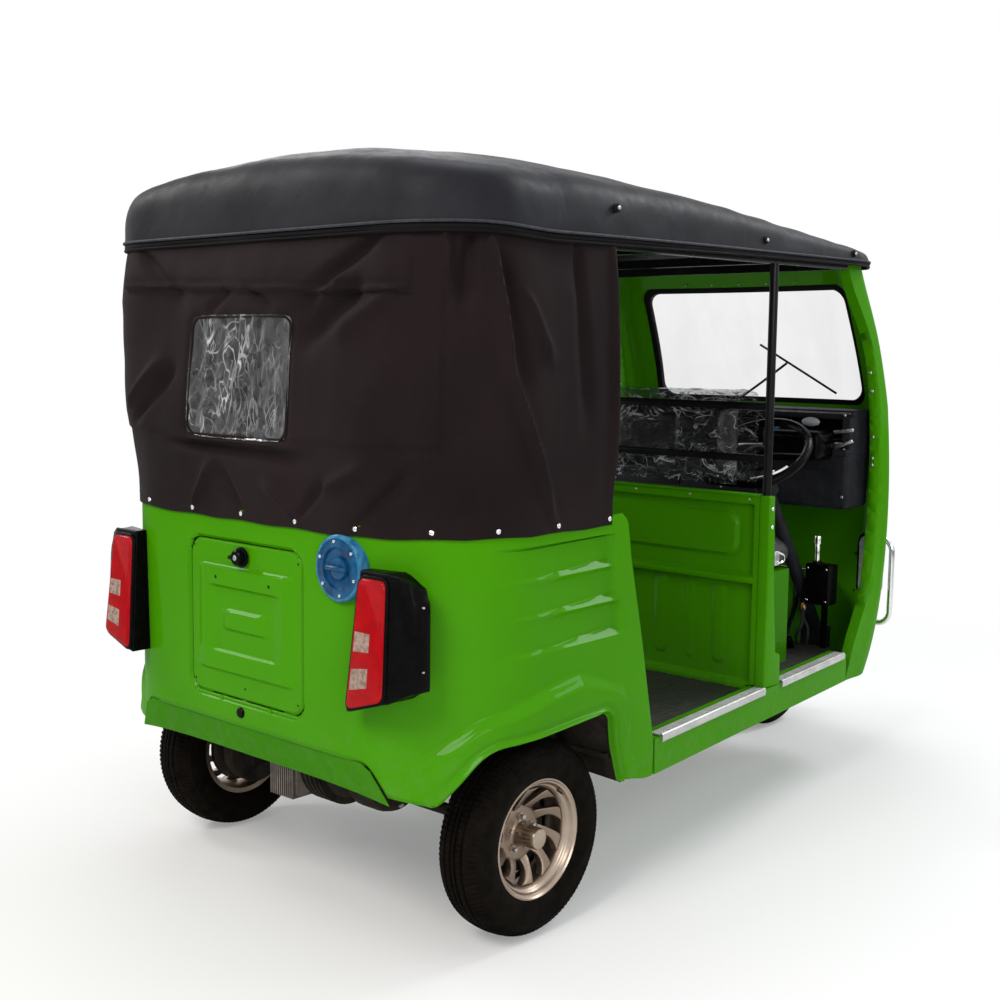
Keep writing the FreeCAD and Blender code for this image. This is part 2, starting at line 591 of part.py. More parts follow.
# ---------------------------------------------------------------- partition and its posts
partition_x = side_x(partition_rear_y, S.pillar_inset) - S.pillar_width - S.fit_gap
foot_x = partition_x - S.partition_foot_step
foot_top = S.sill_top + 6
partition_half = [(foot_x, S.floor_top + S.fit_gap), (foot_x, foot_top), (partition_x, foot_top),
                  (partition_x, S.partition_top)]
node("partition", slab("partition", "XZ", partition_front_y, partition_rear_y,
                       [partition_half + [(-x, z) for x, z in partition_half[::-1]]]))
pillar_rear_y = partition_rear_y + 6
pillar_low = S.sill_top + S.fit_gap
pillar = slab(
    "pillar", "YZ", partition_x + S.fit_gap, partition_x + S.fit_gap + S.pillar_width,
    [[(pillar_rear_y, pillar_low), (pillar_rear_y, S.partition_top),
      (pillar_rear_y - S.pillar_depth, S.partition_top),
      (pillar_rear_y - S.pillar_depth, S.pillar_step_height + 60),
      (pillar_rear_y - S.pillar_foot_depth, S.pillar_step_height - 20),
      (pillar_rear_y - S.pillar_foot_depth, pillar_low)]])
node("b_pillars", pair("b_pillars", pillar))

post_x = partition_x + S.fit_gap + S.pillar_width / 2
post_y = pillar_rear_y - S.pillar_depth / 2
post_low = S.partition_top + S.fit_gap
post_top = roof_edge(post_y) - S.frame_tube - S.fit_gap * 2
posts = [rod("post%d" % i, "Z", S.post_radius, (post_x * side, post_y, post_low), post_top - post_low)
         for i, side in enumerate((-1, 1))]
bars = [rod("bar%d" % i, "X", S.bar_radius, (-post_x, post_y, height), post_x * 2)
        for i, height in enumerate((S.low_rail_height, S.high_rail_height))]
node("partition_posts", join("partition_posts", posts + bars))

# ---------------------------------------------------------------- roof
# One row per cross-section: place behind the front edge as a share of the roof's length, inset from the
# greatest half width, height of the shoulder over the edge, height of the crown over the edge.
ROOF_SECTIONS = (
    (0.000, 260, 10, 22),
    (0.022, 170, 16, 40),
    (0.090, 114, 28, 74),
    (0.300, 75, 60, 152),
    (0.550, 28, 98, 222),
    (0.780, 2, 116, 252),
    (0.925, 0, 110, 226),
    (0.982, 28, 96, 176),
    (1.000, 100, 74, 116),
)
roof_length = (roof_rear_y - roof_front_y).value


def roof_block(sections, skin, floor):
    """Block of the roof cap, inset by a skin on its outer faces and raised by a floor."""
    wires = []
    for share, inset, shoulder, crown in sections:
        y = roof_front_y.value + skin + share * (roof_length - 2 * skin)
        edge = roof_edge(Dim.of(y)).value
        low = edge + floor
        w = roof_half_width.value - inset - skin
        bend = min(0.6 * shoulder, 0.25 * w) - skin
        k = bend * (1 - math.sqrt(0.5))
        top = edge + shoulder - skin
        left, right = Vector(-w, y, top - bend), Vector(w, y, top - bend)
        over_left, over_right = Vector(-w + bend, y, top), Vector(w - bend, y, top)
        wires.append(Part.Wire([e.toShape() for e in (
            Part.LineSegment(Vector(-w, y, low), left),
            Part.Arc(left, Vector(-w + k, y, top - k), over_left),
            Part.Arc(over_left, Vector(0, y, edge + crown - skin), over_right),
            Part.Arc(over_right, Vector(w - k, y, top - k), right),
            Part.LineSegment(right, Vector(w, y, low)),
            Part.LineSegment(Vector(w, y, low), Vector(-w, y, low)))]))
    return Part.makeLoft(wires, True, True)


roof_outside = feature("roof_outside", roof_block(ROOF_SECTIONS, 0, 0))
roof_void = feature("roof_void", roof_block(ROOF_SECTIONS[3:-1], S.roof_skin.value, S.roof_floor.value))
node("roof_cover", cut("roof_cover", roof_outside, roof_void))

# The frame's side tubes run straight behind the doorway, then close in to the cab's width.
cab_roof_y = nose_end_y + S.cab_roof_back
roof_front_half = S.sill_front_half_width + S.roof_front_flare
roof_taper = (roof_half_width - roof_front_half) / (curtain_front_y - cab_roof_y)


def tube_x(y):
    """Outer half width of the roof frame at a place along the length."""
    if y.value >= curtain_front_y.value:
        return roof_half_width - S.frame_inset
    return roof_half_width - (curtain_front_y - y) * roof_taper - S.frame_inset


frame_rear_y = roof_rear_y - S.frame_rear_inset
frame_front_y = nose_end_y + S.frame_front_back
tube_line = [(tube_x(y), y) for y in (frame_rear_y, curtain_front_y, frame_front_y)]
side_tube_plan = slab("side_tube_plan", "XY", S.roof_rear_edge - 60, S.roof_rear_edge + 60,
                      [tube_line + [(x - S.frame_tube, y) for x, y in tube_line[::-1]]])
band_rear_y, band_front_y = frame_rear_y + 5, frame_front_y - 5
band_rear_z, band_front_z = (roof_edge(y) - S.fit_gap for y in (band_rear_y, band_front_y))
frame_band = slab("frame_band", "YZ", -roof_half_width, roof_half_width,
                  [[(band_rear_y, band_rear_z), (band_front_y, band_front_z),
                    (band_front_y, band_front_z - S.frame_tube), (band_rear_y, band_rear_z - S.frame_tube)]])
side_tube = common("side_tube", [side_tube_plan, frame_band])
bows = []
bow_places = (frame_rear_y - S.frame_tube, curtain_front_y - 200, post_y - S.frame_tube / 2, frame_front_y)
for i, y in enumerate(bow_places):
    half = tube_x(y) - 5
    bow_high = roof_edge(y + S.frame_tube) - S.fit_gap
    bows.append(box("bow%d" % i, (-half, half), (y, y + S.frame_tube), (bow_high - S.frame_tube, bow_high)))
rear_post_x = S.body_half_width - S.tub_wall - S.rear_post_inset
rear_post_low = house_top + S.fit_gap
rear_posts = [rod("rear_post%d" % i, "Z", S.post_radius, (rear_post_x * side, rear_axle_y, rear_post_low),
                  roof_edge(rear_axle_y) - 4 - rear_post_low) for i, side in enumerate((-1, 1))]
side_tubes = [side_tube, mirrored("side_tube_mirror", side_tube)]
node("roof_frame", join("roof_frame", side_tubes + bows + rear_posts))

# ---------------------------------------------------------------- curtain round the tail
curtain_top = roof_edge(curtain_front_y)


def curtain_block(inset):
    """Block that follows the tub up to its rim, then leans in to the roof's edge."""
    inset = Dim.of(inset)
    low_out = S.curtain_wall + S.fit_gap - inset
    high_in = S.curtain_top_inset + inset
    wires = []
    for height in (S.belt_height - S.curtain_lap, S.belt_height + 2):
        low = rounded_tail(S.body_half_width + low_out, tail_y + low_out, S.tub_corner_radius + low_out,
                           curtain_front_y)
        low.translate(Vector(0, 0, height.value))
        wires.append(low)
    high = rounded_tail(roof_half_width - high_in, roof_rear_y - high_in, S.curtain_top_radius - inset,
                        curtain_front_y)
    high.translate(Vector(0, 0, curtain_top.value + OVERCUT))
    wires.append(high)
    return Part.makeLoft(wires, True, True)


def window_prism(name, margin):
    """The window's rounded outline, shrunk by a margin and run through the curtain's back."""
    half, low = S.window_half_width - margin, S.window_bottom + margin
    high = S.window_bottom + S.window_height - margin
    corners = [(-half, low), (half, low), (half, high), (-half, high)]
    return slab(name, "XZ", tail_y - 90, half_length, [corners], rounds=[(corners, S.window_corner)])


trim_front_y, trim_rear_y = curtain_front_y - OVERCUT * 2, half_length
curtain_trim = slab(
    "curtain_trim", "YZ", -roof_half_width - OVERCUT, roof_half_width + OVERCUT,
    [[(trim_front_y, roof_edge(trim_front_y) - S.fit_gap), (trim_rear_y, roof_edge(trim_rear_y) - S.fit_gap),
      (trim_rear_y, S.roof_rear_edge + 80), (trim_front_y, S.roof_rear_edge + 80)]])
curtain_shell = cut("curtain_shell", feature("curtain_skin", curtain_block(0)),
                    feature("curtain_inside", curtain_block(S.curtain_wall)))
node("rear_curtain", cut("rear_curtain", curtain_shell,
                         join("curtain_cuts", [curtain_trim, window_prism("window_hole", 0)])))
film_depth = (S.curtain_wall - S.film_thickness) / 2
film_sheet = cut("film_sheet", feature("film_outside", curtain_block(film_depth)),
                 feature("film_inside", curtain_block(film_depth + S.film_thickness)))
node("rear_window", common("rear_window", [film_sheet, window_prism("film_area", S.fit_gap)]))

# ---------------------------------------------------------------- cab shell
# One row per level: height, inset from the sills' half width in front, then the distance behind the nose
# end of the pillar's rear edge and the front corner's start, then the inset and the distance behind the
# nose end of the corner's end, then that distance for the nose's middle.
CAB_SECTIONS = (
    (310, 2, 635, 575, 120, 390, 345),
    (520, -6, 575, 500, 105, 314, 262),
    (800, -10, 544, 448, 100, 300, 255),
    (1200, -8, 550, 470, 108, 347, 310),
    (1600, 12, 678, 615, 126, 504, 472),
    (1654, 16, 705, 638, 132, 528, 498),
)
# Share of the way from the corner's start to its end, across and along, of its middle point.
CORNER_BEND = (0.26, 0.66)


def cab_block(depth):
    """Nose and windscreen pillars as a block, inset by a depth on its outer faces."""
    t = Dim.of(depth).value
    half, front = S.sill_front_half_width.value, nose_end_y.value
    wires = []
    for z, inset, rear, side, corner_inset, corner, nose in CAB_SECTIONS:
        w, c = half - inset - t, half - corner_inset - 0.8 * t
        back = front + rear + (60 if t > 0 else 0)
        side_y, end_y, nose_y = front + side + 0.25 * t, front + corner + t, front + nose + t
        bend_x = w - CORNER_BEND[0] * (w - c)
        bend_y = side_y + CORNER_BEND[1] * (end_y - side_y)
        wires.append(Part.Wire([e.toShape() for e in (
            Part.LineSegment(Vector(w, back, z), Vector(w, side_y, z)),
            Part.Arc(Vector(w, side_y, z), Vector(bend_x, bend_y, z), Vector(c, end_y, z)),
            Part.Arc(Vector(c, end_y, z), Vector(0, nose_y, z), Vector(-c, end_y, z)),
            Part.Arc(Vector(-c, end_y, z), Vector(-bend_x, bend_y, z), Vector(-w, side_y, z)),
            Part.LineSegment(Vector(-w, side_y, z), Vector(-w, back, z)),
            Part.LineSegment(Vector(-w, back, z), Vector(w, back, z)))]))
    return Part.makeLoft(wires, True, False)


def cab_layer(name, depth, thickness):
    """A sheet inside the cab's skin, at a depth from its outer face."""
    return cut(name, feature(name + "_outside", cab_block(depth)),
               feature(name + "_inside", cab_block(depth + thickness)))


def glass_prism(name, margin):
    """Outline of the windscreen grown by a margin, run through the cab's front."""
    low, high = S.glass_bottom - margin, S.glass_top + margin
    wide = S.sill_front_half_width - S.glass_inset_bottom + margin
    narrow = S.sill_front_half_width - S.glass_inset_top + margin
    corners = [(-wide, low), (wide, low), (narrow, high), (-narrow, high)]
    return slab(name, "XZ", nose_end_y + 200, nose_end_y + 790, [corners], rounds=[(corners, S.glass_corner)])


well_x = S.well_half_width + S.fit_gap
well_hole = slab("cab_well", "XY", under, well_top + S.fit_gap,
                 [[(-well_x, well_back_y), (well_x, well_back_y), (well_x, nose_end_y), (-well_x, nose_end_y)]])
cab_ring = cut("cab_ring", feature("cab_outer", cab_block(0)), feature("cab_inner", cab_block(S.cab_wall)))
node("cab_shell", cut("cab_shell", cab_ring,
                      join("cab_cuts", [glass_prism("glass_opening", S.gasket_width), well_hole])))
gasket_ring = cut("gasket_ring", glass_prism("gasket_outer", S.gasket_width - S.fit_gap),
                  glass_prism("gasket_inner", S.fit_gap))
node("windscreen_gasket", common("windscreen_gasket", [
    gasket_ring, cab_layer("gasket_layer", S.gasket_depth, S.gasket_thickness)]))
node("windscreen", common("windscreen", [
    glass_prism("glass_area", 0), cab_layer("glass_layer", S.glass_depth, S.glass_thickness)]))

# ---------------------------------------------------------------- front wheel house and steering head
rake = math.radians(S.fork_rake.value)
axis_foot_y = front_axle_y - S.fork_offset


def axis_y(height):
    """Place of the raked steering axis at a height."""
    return axis_foot_y + (height - axle_height) * math.tan(rake)


def raked_rod(name, radius, low, high):
    """Cylinder on the raked steering axis between two heights."""
    item = doc.addObject("Part::Cylinder", name)
    item.Placement = Placement(Vector(), Rotation(Vector(1, 0, 0), -S.fork_rake.value))
    bind(item, Radius=radius, Height=(high - low) / math.cos(rake), x=0, y=axis_y(low), z=low)
    return item


well_y = (nose_end_y + 230, well_back_y + S.well_wall)
well_span = (-S.well_half_width, S.well_half_width)
well_plates = [
    box("well_back", well_span, (well_back_y, well_y[1]), (floor_bottom, well_top)),
    box("well_lid", well_span, well_y, (well_top - S.well_wall, well_top))]
for i, x in enumerate((-S.well_half_width, S.well_half_width - S.well_wall)):
    well_plates.append(box("well_side%d" % i, (x, x + S.well_wall), well_y, (S.tub_bottom, well_top)))
head_tube = raked_rod("head_tube", S.head_radius, well_top - S.well_wall / 2, head_high)
head_bore = raked_rod("head_bore", S.steerer_radius + S.run_gap, well_top - 60, head_high + OVERCUT)
cab_room = feature("cab_room", cab_block(S.cab_wall + S.fit_gap))
well_shell = common("well_shell", [join("well_plates", well_plates), cab_room])
node("front_wheel_house", cut("front_wheel_house", join("well_solid", [well_shell, head_tube]), head_bore))

# ---------------------------------------------------------------- front fork and mudguard
fork_outer_x = S.leg_inner_x + S.leg_thickness
fork_parts = [
    raked_rod("steerer", S.steerer_radius, crown_low + 10, head_high - 10),
    slab("crown", "YZ", -fork_outer_x, fork_outer_x,
         [[(axis_y(crown_low) - S.crown_ahead, crown_low), (axis_y(crown_low) + S.crown_behind, crown_low),
           (axis_y(crown_high) + S.crown_behind, crown_high),
           (axis_y(crown_high) - S.crown_ahead, crown_high)]]),
    rod("front_axle", "X", S.front_axle_radius, (-fork_outer_x - S.axle_end, front_axle_y, axle_height),
        (fork_outer_x + S.axle_end) * 2)]
leg_low, leg_high = axle_height - S.leg_half_depth, crown_high - 5
for i, x in enumerate((-fork_outer_x, S.leg_inner_x)):
    fork_parts.append(slab(
        "leg%d" % i, "YZ", x, x + S.leg_thickness,
        [[(front_axle_y - S.leg_half_depth, leg_low), (front_axle_y + S.leg_half_depth, leg_low),
          (axis_y(crown_high) + 30, leg_high), (axis_y(crown_high) - 30, leg_high)]]))
node("front_fork", join("front_fork", fork_parts))

guard_x = S.guard_half_width
guard_disc = rod("guard_disc", "X", guard_radius, (-guard_x, front_axle_y, axle_height), guard_x * 2)
guard_hole = rod("guard_hole", "X", guard_radius - S.guard_wall,
                 (-guard_x - OVERCUT, front_axle_y, axle_height), (guard_x + OVERCUT) * 2)
guard_wedge = slab("guard_wedge", "YZ", -guard_x - OVERCUT, guard_x + OVERCUT,
                   [[(front_axle_y, axle_height - 25), (front_axle_y - 400, axle_height - 25),
                     (front_axle_y - 400, axle_height + 400), (front_axle_y + 180, axle_height + 400)]])
node("front_mudguard", common("front_mudguard", [cut("guard_ring", guard_disc, guard_hole), guard_wedge]))


# ---------------------------------------------------------------- wheels
def tyre_outline():
    """Half section of a tyre: place along the axle, radius."""
    w, r, bead = S.tyre_half_width, S.tyre_radius, S.bead_radius
    side = [(w - 14, bead), (w - 14, bead + 12), (w - 4, bead + 26), (w, bead + 52), (w - 8, r - 22),
            (w - 20, r - 6), (w - 38, r)]
    return [(-x, y) for x, y in side] + side[::-1]


def rim_outline(bore, outward):
    """Rim barrel, disc and hub; outward is +1 or -1 along X and sets the disc near the outer face."""
    w, seat, hub = S.rim_half_width, S.bead_radius - S.fit_gap, S.hub_radius
    barrel, flange = seat - S.barrel_thickness, S.rim_radius - 6
    disc0 = w - 30
    disc1 = disc0 + S.disc_thickness
    points = [(-w - 4, barrel), (-w - 4, flange), (-w + 1, flange), (-w + 1, seat), (w - 1, seat),
              (w - 1, flange), (w + 4, flange), (w + 4, barrel), (disc1 + 6, barrel), (disc1, hub + 20),
              (disc1 + 16, hub), (disc1 + 16, bore), (disc0 - 22, bore), (disc0 - 22, hub),
              (disc0, hub + 20), (disc0 - 6, barrel)]
    return [(x * outward, y) for x, y in points]


# One row per wheel: name, middle along X, middle along Y, radius of its axle, outer side.
WHEELS = (
    ("rear_%s_left", wheel_x, rear_axle_y, S.axle_radius, 1),
    ("rear_%s_right", -wheel_x, rear_axle_y, S.axle_radius, -1),
    ("front_%s", 0, front_axle_y, S.front_axle_radius, 1),
)
for name, x, y, axle, outward in WHEELS:
    node(name % "tyre", ring(name % "tyre", tyre_outline(), x, y, axle_height))
    node(name % "rim", ring(name % "rim", rim_outline(axle + S.run_gap, outward), x, y, axle_height))

# ---------------------------------------------------------------- drive and rear suspension
engine = box("engine", (-S.engine_half_width, S.engine_half_width),
             (rear_axle_y - S.engine_ahead, rear_axle_y + S.engine_behind),
             (axle_height - S.engine_drop, deck_top - S.engine_deck_gap))
mount_y = (rear_axle_y - S.mount_half_width, rear_axle_y + S.mount_half_width)
deck_under = deck_top - S.deck_thickness - S.fit_gap
engine_mount = box("engine_mount", (-S.mount_half_width, S.mount_half_width), mount_y,
                   (deck_top - S.engine_deck_gap - 5, deck_under))
node("engine_block", join("engine_block", [engine, engine_mount]))
shaft_start = S.engine_half_width + S.fit_gap
shaft = rod("shaft", "X", S.axle_radius, (shaft_start, rear_axle_y, axle_height),
            wheel_x + 28 - shaft_start)
node("rear_axle_shafts", pair("rear_axle_shafts", shaft))

arm_x = bay_half_width - S.arm_inset
arm_side = (arm_x - S.arm_width / 2, arm_x + S.arm_width / 2)
arm_high = axle_height + 38
arm_front_y = rail_rear_y - 30
arm_pivot_x = S.rail_half_spacing + S.rail_width + S.fit_gap
arm_parts = [
    slab("arm_plate", "YZ", arm_side[0], arm_side[1],
         [[(arm_front_y, rail_low + 12), (rear_axle_y - 30, axle_height - 32),
           (rear_axle_y + 50, axle_height - 32), (rear_axle_y + 50, arm_high),
           (rear_axle_y - 40, arm_high), (arm_front_y, rail_high - 8)]]),
    rod("arm_pivot", "X", S.arm_pivot_radius,
        (arm_pivot_x, rail_rear_y - S.arm_pivot_ahead, (rail_low + rail_high) / 2 + 5), arm_x - arm_pivot_x),
    box("arm_root", arm_side, (rail_rear_y - S.arm_pivot_ahead - 20, arm_front_y + 5),
        (rail_low + 12, rail_high - 8)),
    rod("drum", "X", S.drum_radius, (arm_side[1] - 2, rear_axle_y, axle_height), S.drum_width)]
arm_bore = rod("arm_bore", "X", S.axle_radius + S.run_gap, (arm_x - 60, rear_axle_y, axle_height), Dim.of(140))
trailing_arm = cut("trailing_arm", join("arm_solid", arm_parts), arm_bore)
node("trailing_arms", pair("trailing_arms", trailing_arm))
shock_low = arm_high + S.fit_gap
shock = rod("shock", "Z", S.shock_radius, (arm_x - S.shock_inset, rear_axle_y + 10, shock_low),
            deck_under - S.fit_gap - shock_low)
node("shock_absorbers", pair("shock_absorbers", shock))

# ---------------------------------------------------------------- dashboard, column and steering wheel
dash_x = S.sill_front_half_width - S.dash_inset
dash_front_y = nose_end_y + 330
dash_face_y, dash_lip_y = nose_end_y + S.dash_back, nose_end_y + S.dash_lip_back
dash_blank = slab("dash_blank", "YZ", -dash_x, dash_x,
                  [[(dash_front_y, S.dash_high), (dash_lip_y, S.dash_high - 12),
                    (dash_face_y, S.dash_high - 68), (dash_face_y, S.dash_low + 80),
                    (dash_lip_y, S.dash_low), (dash_front_y, S.dash_low)]])
dash_room = feature("dash_room", cab_block(S.cab_wall + S.fit_gap + 0.2))
pod = box("pod", (-S.hub_x - S.pod_half_width, -S.hub_x + S.pod_half_width),
          (nose_end_y + S.pod_front_back, nose_end_y + S.pod_rear_back), (S.pod_low, S.pod_high))
tilt = math.radians(S.column_tilt.value)
hub_y = nose_end_y + S.hub_back


def column_rod(name, radius, start, end):
    """Cylinder on the steering column's axis between two distances above the wheel's hub."""
    start, end = Dim.of(start), Dim.of(end)
    item = doc.addObject("Part::Cylinder", name)
    item.Placement = Placement(Vector(), Rotation(Vector(1, 0, 0), -S.column_tilt.value))
    bind(item, Radius=radius, Height=end - start, x=-S.hub_x, y=hub_y + start * math.sin(tilt),
         z=S.hub_height + start * math.cos(tilt))
    return item


# The column ends inside its foot on the toe floor; the foot's rear face clears it by nothing at the top.
column_end = (S.floor_top + S.foot_height * 0.6 - S.hub_height) / math.cos(tilt)
foot_rear_y = hub_y + (S.floor_top + S.foot_height - S.hub_height) * math.tan(tilt) + S.column_radius
column_top = Dim.of(-42)
column_outer = column_rod("column_outer", S.column_radius, column_end, column_top)
column_shroud = column_rod("column_shroud", S.shroud_radius, column_top - S.shroud_length, column_top)
column_hole = column_rod("column_hole", S.stub_radius + S.run_gap, -200, 0)
column_foot = box("column_foot", (-S.hub_x - S.foot_half_width, -S.hub_x + S.foot_half_width),
                  (foot_rear_y - S.foot_depth, foot_rear_y),
                  (S.floor_top + S.fit_gap, S.floor_top + S.foot_height))
column_room = column_rod("column_room", S.shroud_radius + S.column_clearance, -400, 20)
dash_solid = join("dash_solid", [common("dash_body", [dash_blank, dash_room]), pod])
node("dashboard", cut("dashboard", dash_solid, column_room))
column_solid = join("column_solid", [column_outer, column_shroud, column_foot])
node("steering_column", cut("steering_column", column_solid, column_hole))
wheel_rim = doc.addObject("Part::Torus", "wheel_rim")
bind(wheel_rim, Radius1=S.steering_wheel_radius, Radius2=S.steering_rim_radius)
centre = Dim.of(0)
spoke_reach = S.steering_wheel_radius - 4
wheel_parts = [
    wheel_rim,
    rod("wheel_boss", "Z", S.boss_radius, (centre, centre, -S.boss_radius), S.boss_radius + 10),
    rod("wheel_stub", "Z", S.stub_radius, (centre, centre, Dim.of(-190)), Dim.of(170)),
    box("cross_spoke", (-spoke_reach, spoke_reach), (Dim.of(-16), Dim.of(16)), (Dim.of(-12), centre)),
    box("low_spoke", (Dim.of(-14), Dim.of(14)), (centre, spoke_reach), (Dim.of(-12), centre))]
steering_wheel = join("steering_wheel", wheel_parts)
steering_wheel.Placement = Placement(Vector(), Rotation(Vector(1, 0, 0), -S.column_tilt.value))
bind(steering_wheel, x=-S.hub_x, y=hub_y, z=S.hub_height)
node("steering_wheel", steering_wheel)

pedal_y = nose_end_y + S.pedal_back
pedal_z = (S.floor_top + S.fit_gap, S.floor_top + S.pedal_height)
node("pedal_box", box("pedal_bracket", (-S.pedal_x - S.pedal_half_width, -S.pedal_x + S.pedal_half_width),
                      (pedal_y, pedal_y + S.pedal_depth), pedal_z))

# ---------------------------------------------------------------- headlamps and their guards
lamp_inner_x = S.sill_front_half_width - S.headlamp_inset
lamp_front_y = nose_end_y + S.headlamp_back


def lamp_corners(margin):
    """Corners of the headlamp's frame, shrunk by a margin."""
    x0, x1 = lamp_inner_x + margin, lamp_inner_x + S.headlamp_width - margin
    z0, z1 = S.headlamp_bottom + margin, S.headlamp_bottom + S.headlamp_height - margin
    return [(x0, z0), (x1, z0), (x1, z1), (x0, z1)]


cab_skin = feature("cab_skin", cab_block(-S.fit_gap))
lamp_area, loop_area, loop_hole = (lamp_corners(m) for m in (S.loop_tube, 0, S.loop_tube - S.fit_gap))
lamp_blank = slab("lamp_blank", "XZ", lamp_front_y, lamp_front_y + 168, [lamp_area],
                  rounds=[(lamp_area, S.headlamp_round)])
node("headlamps", pair("headlamps", cut("headlamp", lamp_blank, cab_skin)))
loop_blank = slab("loop_blank", "XZ", lamp_front_y - 8, lamp_front_y + 26, [loop_area, loop_hole],
                  rounds=[(loop_area, S.loop_round), (loop_hole, S.headlamp_round)])
node("headlamp_guards", pair("headlamp_guards", cut("headlamp_loop", loop_blank, cab_skin)))

# ---------------------------------------------------------------- seats
seat_rear_y = partition_front_y - S.fit_gap
seat_front_y = seat_rear_y - S.driver_seat_depth
cushion_low = S.driver_seat_top - S.cushion_thickness
base_top = cushion_low - S.fit_gap
base_x = S.driver_seat_half_width - S.seat_base_inset
base_front_y = seat_front_y + S.seat_base_set_back
base_outside = box("driver_seat_box", (-base_x, base_x), (base_front_y, seat_rear_y),
                   (S.floor_top + S.fit_gap, base_top))
base_inside = box("driver_seat_room", (-base_x + S.seat_base_wall, base_x - S.seat_base_wall),
                  (base_front_y + S.seat_base_wall, seat_rear_y - S.seat_base_wall),
                  (S.floor_top - OVERCUT, base_top - S.seat_base_wall))
node("driver_seat_base", cut("driver_seat_base", base_outside, base_inside))

back_rear_y = post_y - S.bar_radius - S.fit_gap
passenger_half = S.body_half_width - S.tub_wall - S.passenger_seat_gap
passenger_front_y = bay_front_y - S.passenger_seat_lap
passenger_rear_y = passenger_front_y + S.passenger_seat_depth
passenger_top = deck_top + S.passenger_cushion_thickness
passenger_back_y = passenger_rear_y - S.passenger_back_lap
# One row per seat part: name, half width, front and rear, bottom and top, radius of the corners.
CUSHIONS = (
    ("driver_seat_cushion", S.driver_seat_half_width, (seat_front_y, seat_rear_y - 2),
     (cushion_low, S.driver_seat_top)),
    ("driver_seat_back", S.driver_seat_half_width, (back_rear_y - S.back_thickness, back_rear_y),
     (S.driver_back_bottom, S.driver_back_top)),
    ("passenger_seat_cushion", passenger_half, (passenger_front_y, passenger_rear_y),
     (deck_top + S.fit_gap, passenger_top)),
    ("passenger_seat_back", passenger_half,
     (passenger_back_y, passenger_back_y + S.passenger_back_thickness),
     (passenger_top + S.fit_gap, passenger_top + S.passenger_back_height)),
)
for name, half, (front, rear), (low, high) in CUSHIONS:
    corners = [(-half, front), (half, front), (half, rear), (-half, rear)]
    node(name, slab(name, "XY", low, high, [corners], rounds=[(corners, S.seat_round)]))

# ---------------------------------------------------------------- check and write
doc.recompute()
faults = []
for item in doc.Objects:
    if "Invalid" in item.State or "Error" in item.State:
        faults.append("%s %s" % (item.Name, item.State))
for item in NODES:
    if item.Shape.isNull() or not item.Shape.isValid() or not item.Shape.Solids:
        faults.append("%s has no valid solid" % item.Label)
if faults:
    raise RuntimeError("; ".join(faults))
os.makedirs("parts", exist_ok=True)
for item in NODES:
    item.Shape.exportStep(os.path.join("parts", item.Label + ".step"))
    bounds = item.Shape.BoundBox
    print("%-24s solids %d  x %.0f..%.0f  y %.0f..%.0f  z %.0f..%.0f  litres %.2f" % (
        item.Label, len(item.Shape.Solids), bounds.XMin, bounds.XMax, bounds.YMin, bounds.YMax,
        bounds.ZMin, bounds.ZMax, item.Shape.Volume / 1e6))
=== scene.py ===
"""Auto rickshaw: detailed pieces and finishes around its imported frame."""
import json
import logging
import math
from dataclasses import dataclass
from enum import Enum
from typing import Callable, Optional, Sequence

import bmesh
import bpy
from mathutils import Matrix, Vector, noise


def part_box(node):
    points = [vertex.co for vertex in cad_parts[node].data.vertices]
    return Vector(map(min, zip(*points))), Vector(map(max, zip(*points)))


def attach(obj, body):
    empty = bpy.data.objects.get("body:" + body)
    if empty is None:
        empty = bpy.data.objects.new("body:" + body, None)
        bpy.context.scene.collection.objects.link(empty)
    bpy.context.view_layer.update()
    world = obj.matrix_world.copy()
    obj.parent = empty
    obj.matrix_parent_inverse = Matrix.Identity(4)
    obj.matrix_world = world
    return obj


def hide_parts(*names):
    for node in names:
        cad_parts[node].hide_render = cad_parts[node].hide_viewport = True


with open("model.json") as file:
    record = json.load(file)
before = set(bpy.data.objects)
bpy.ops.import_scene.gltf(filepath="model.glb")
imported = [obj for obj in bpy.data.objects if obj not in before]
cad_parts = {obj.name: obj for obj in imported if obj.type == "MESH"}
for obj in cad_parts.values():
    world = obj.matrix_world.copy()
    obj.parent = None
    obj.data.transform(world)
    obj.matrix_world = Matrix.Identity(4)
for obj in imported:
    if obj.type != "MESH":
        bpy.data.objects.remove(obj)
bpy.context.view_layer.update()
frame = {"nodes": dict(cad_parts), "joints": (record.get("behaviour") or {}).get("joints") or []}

log = logging.getLogger("rickshaw")

Point = tuple[float, float, float]
Flat = tuple[float, float]
Colour = tuple[float, float, float]


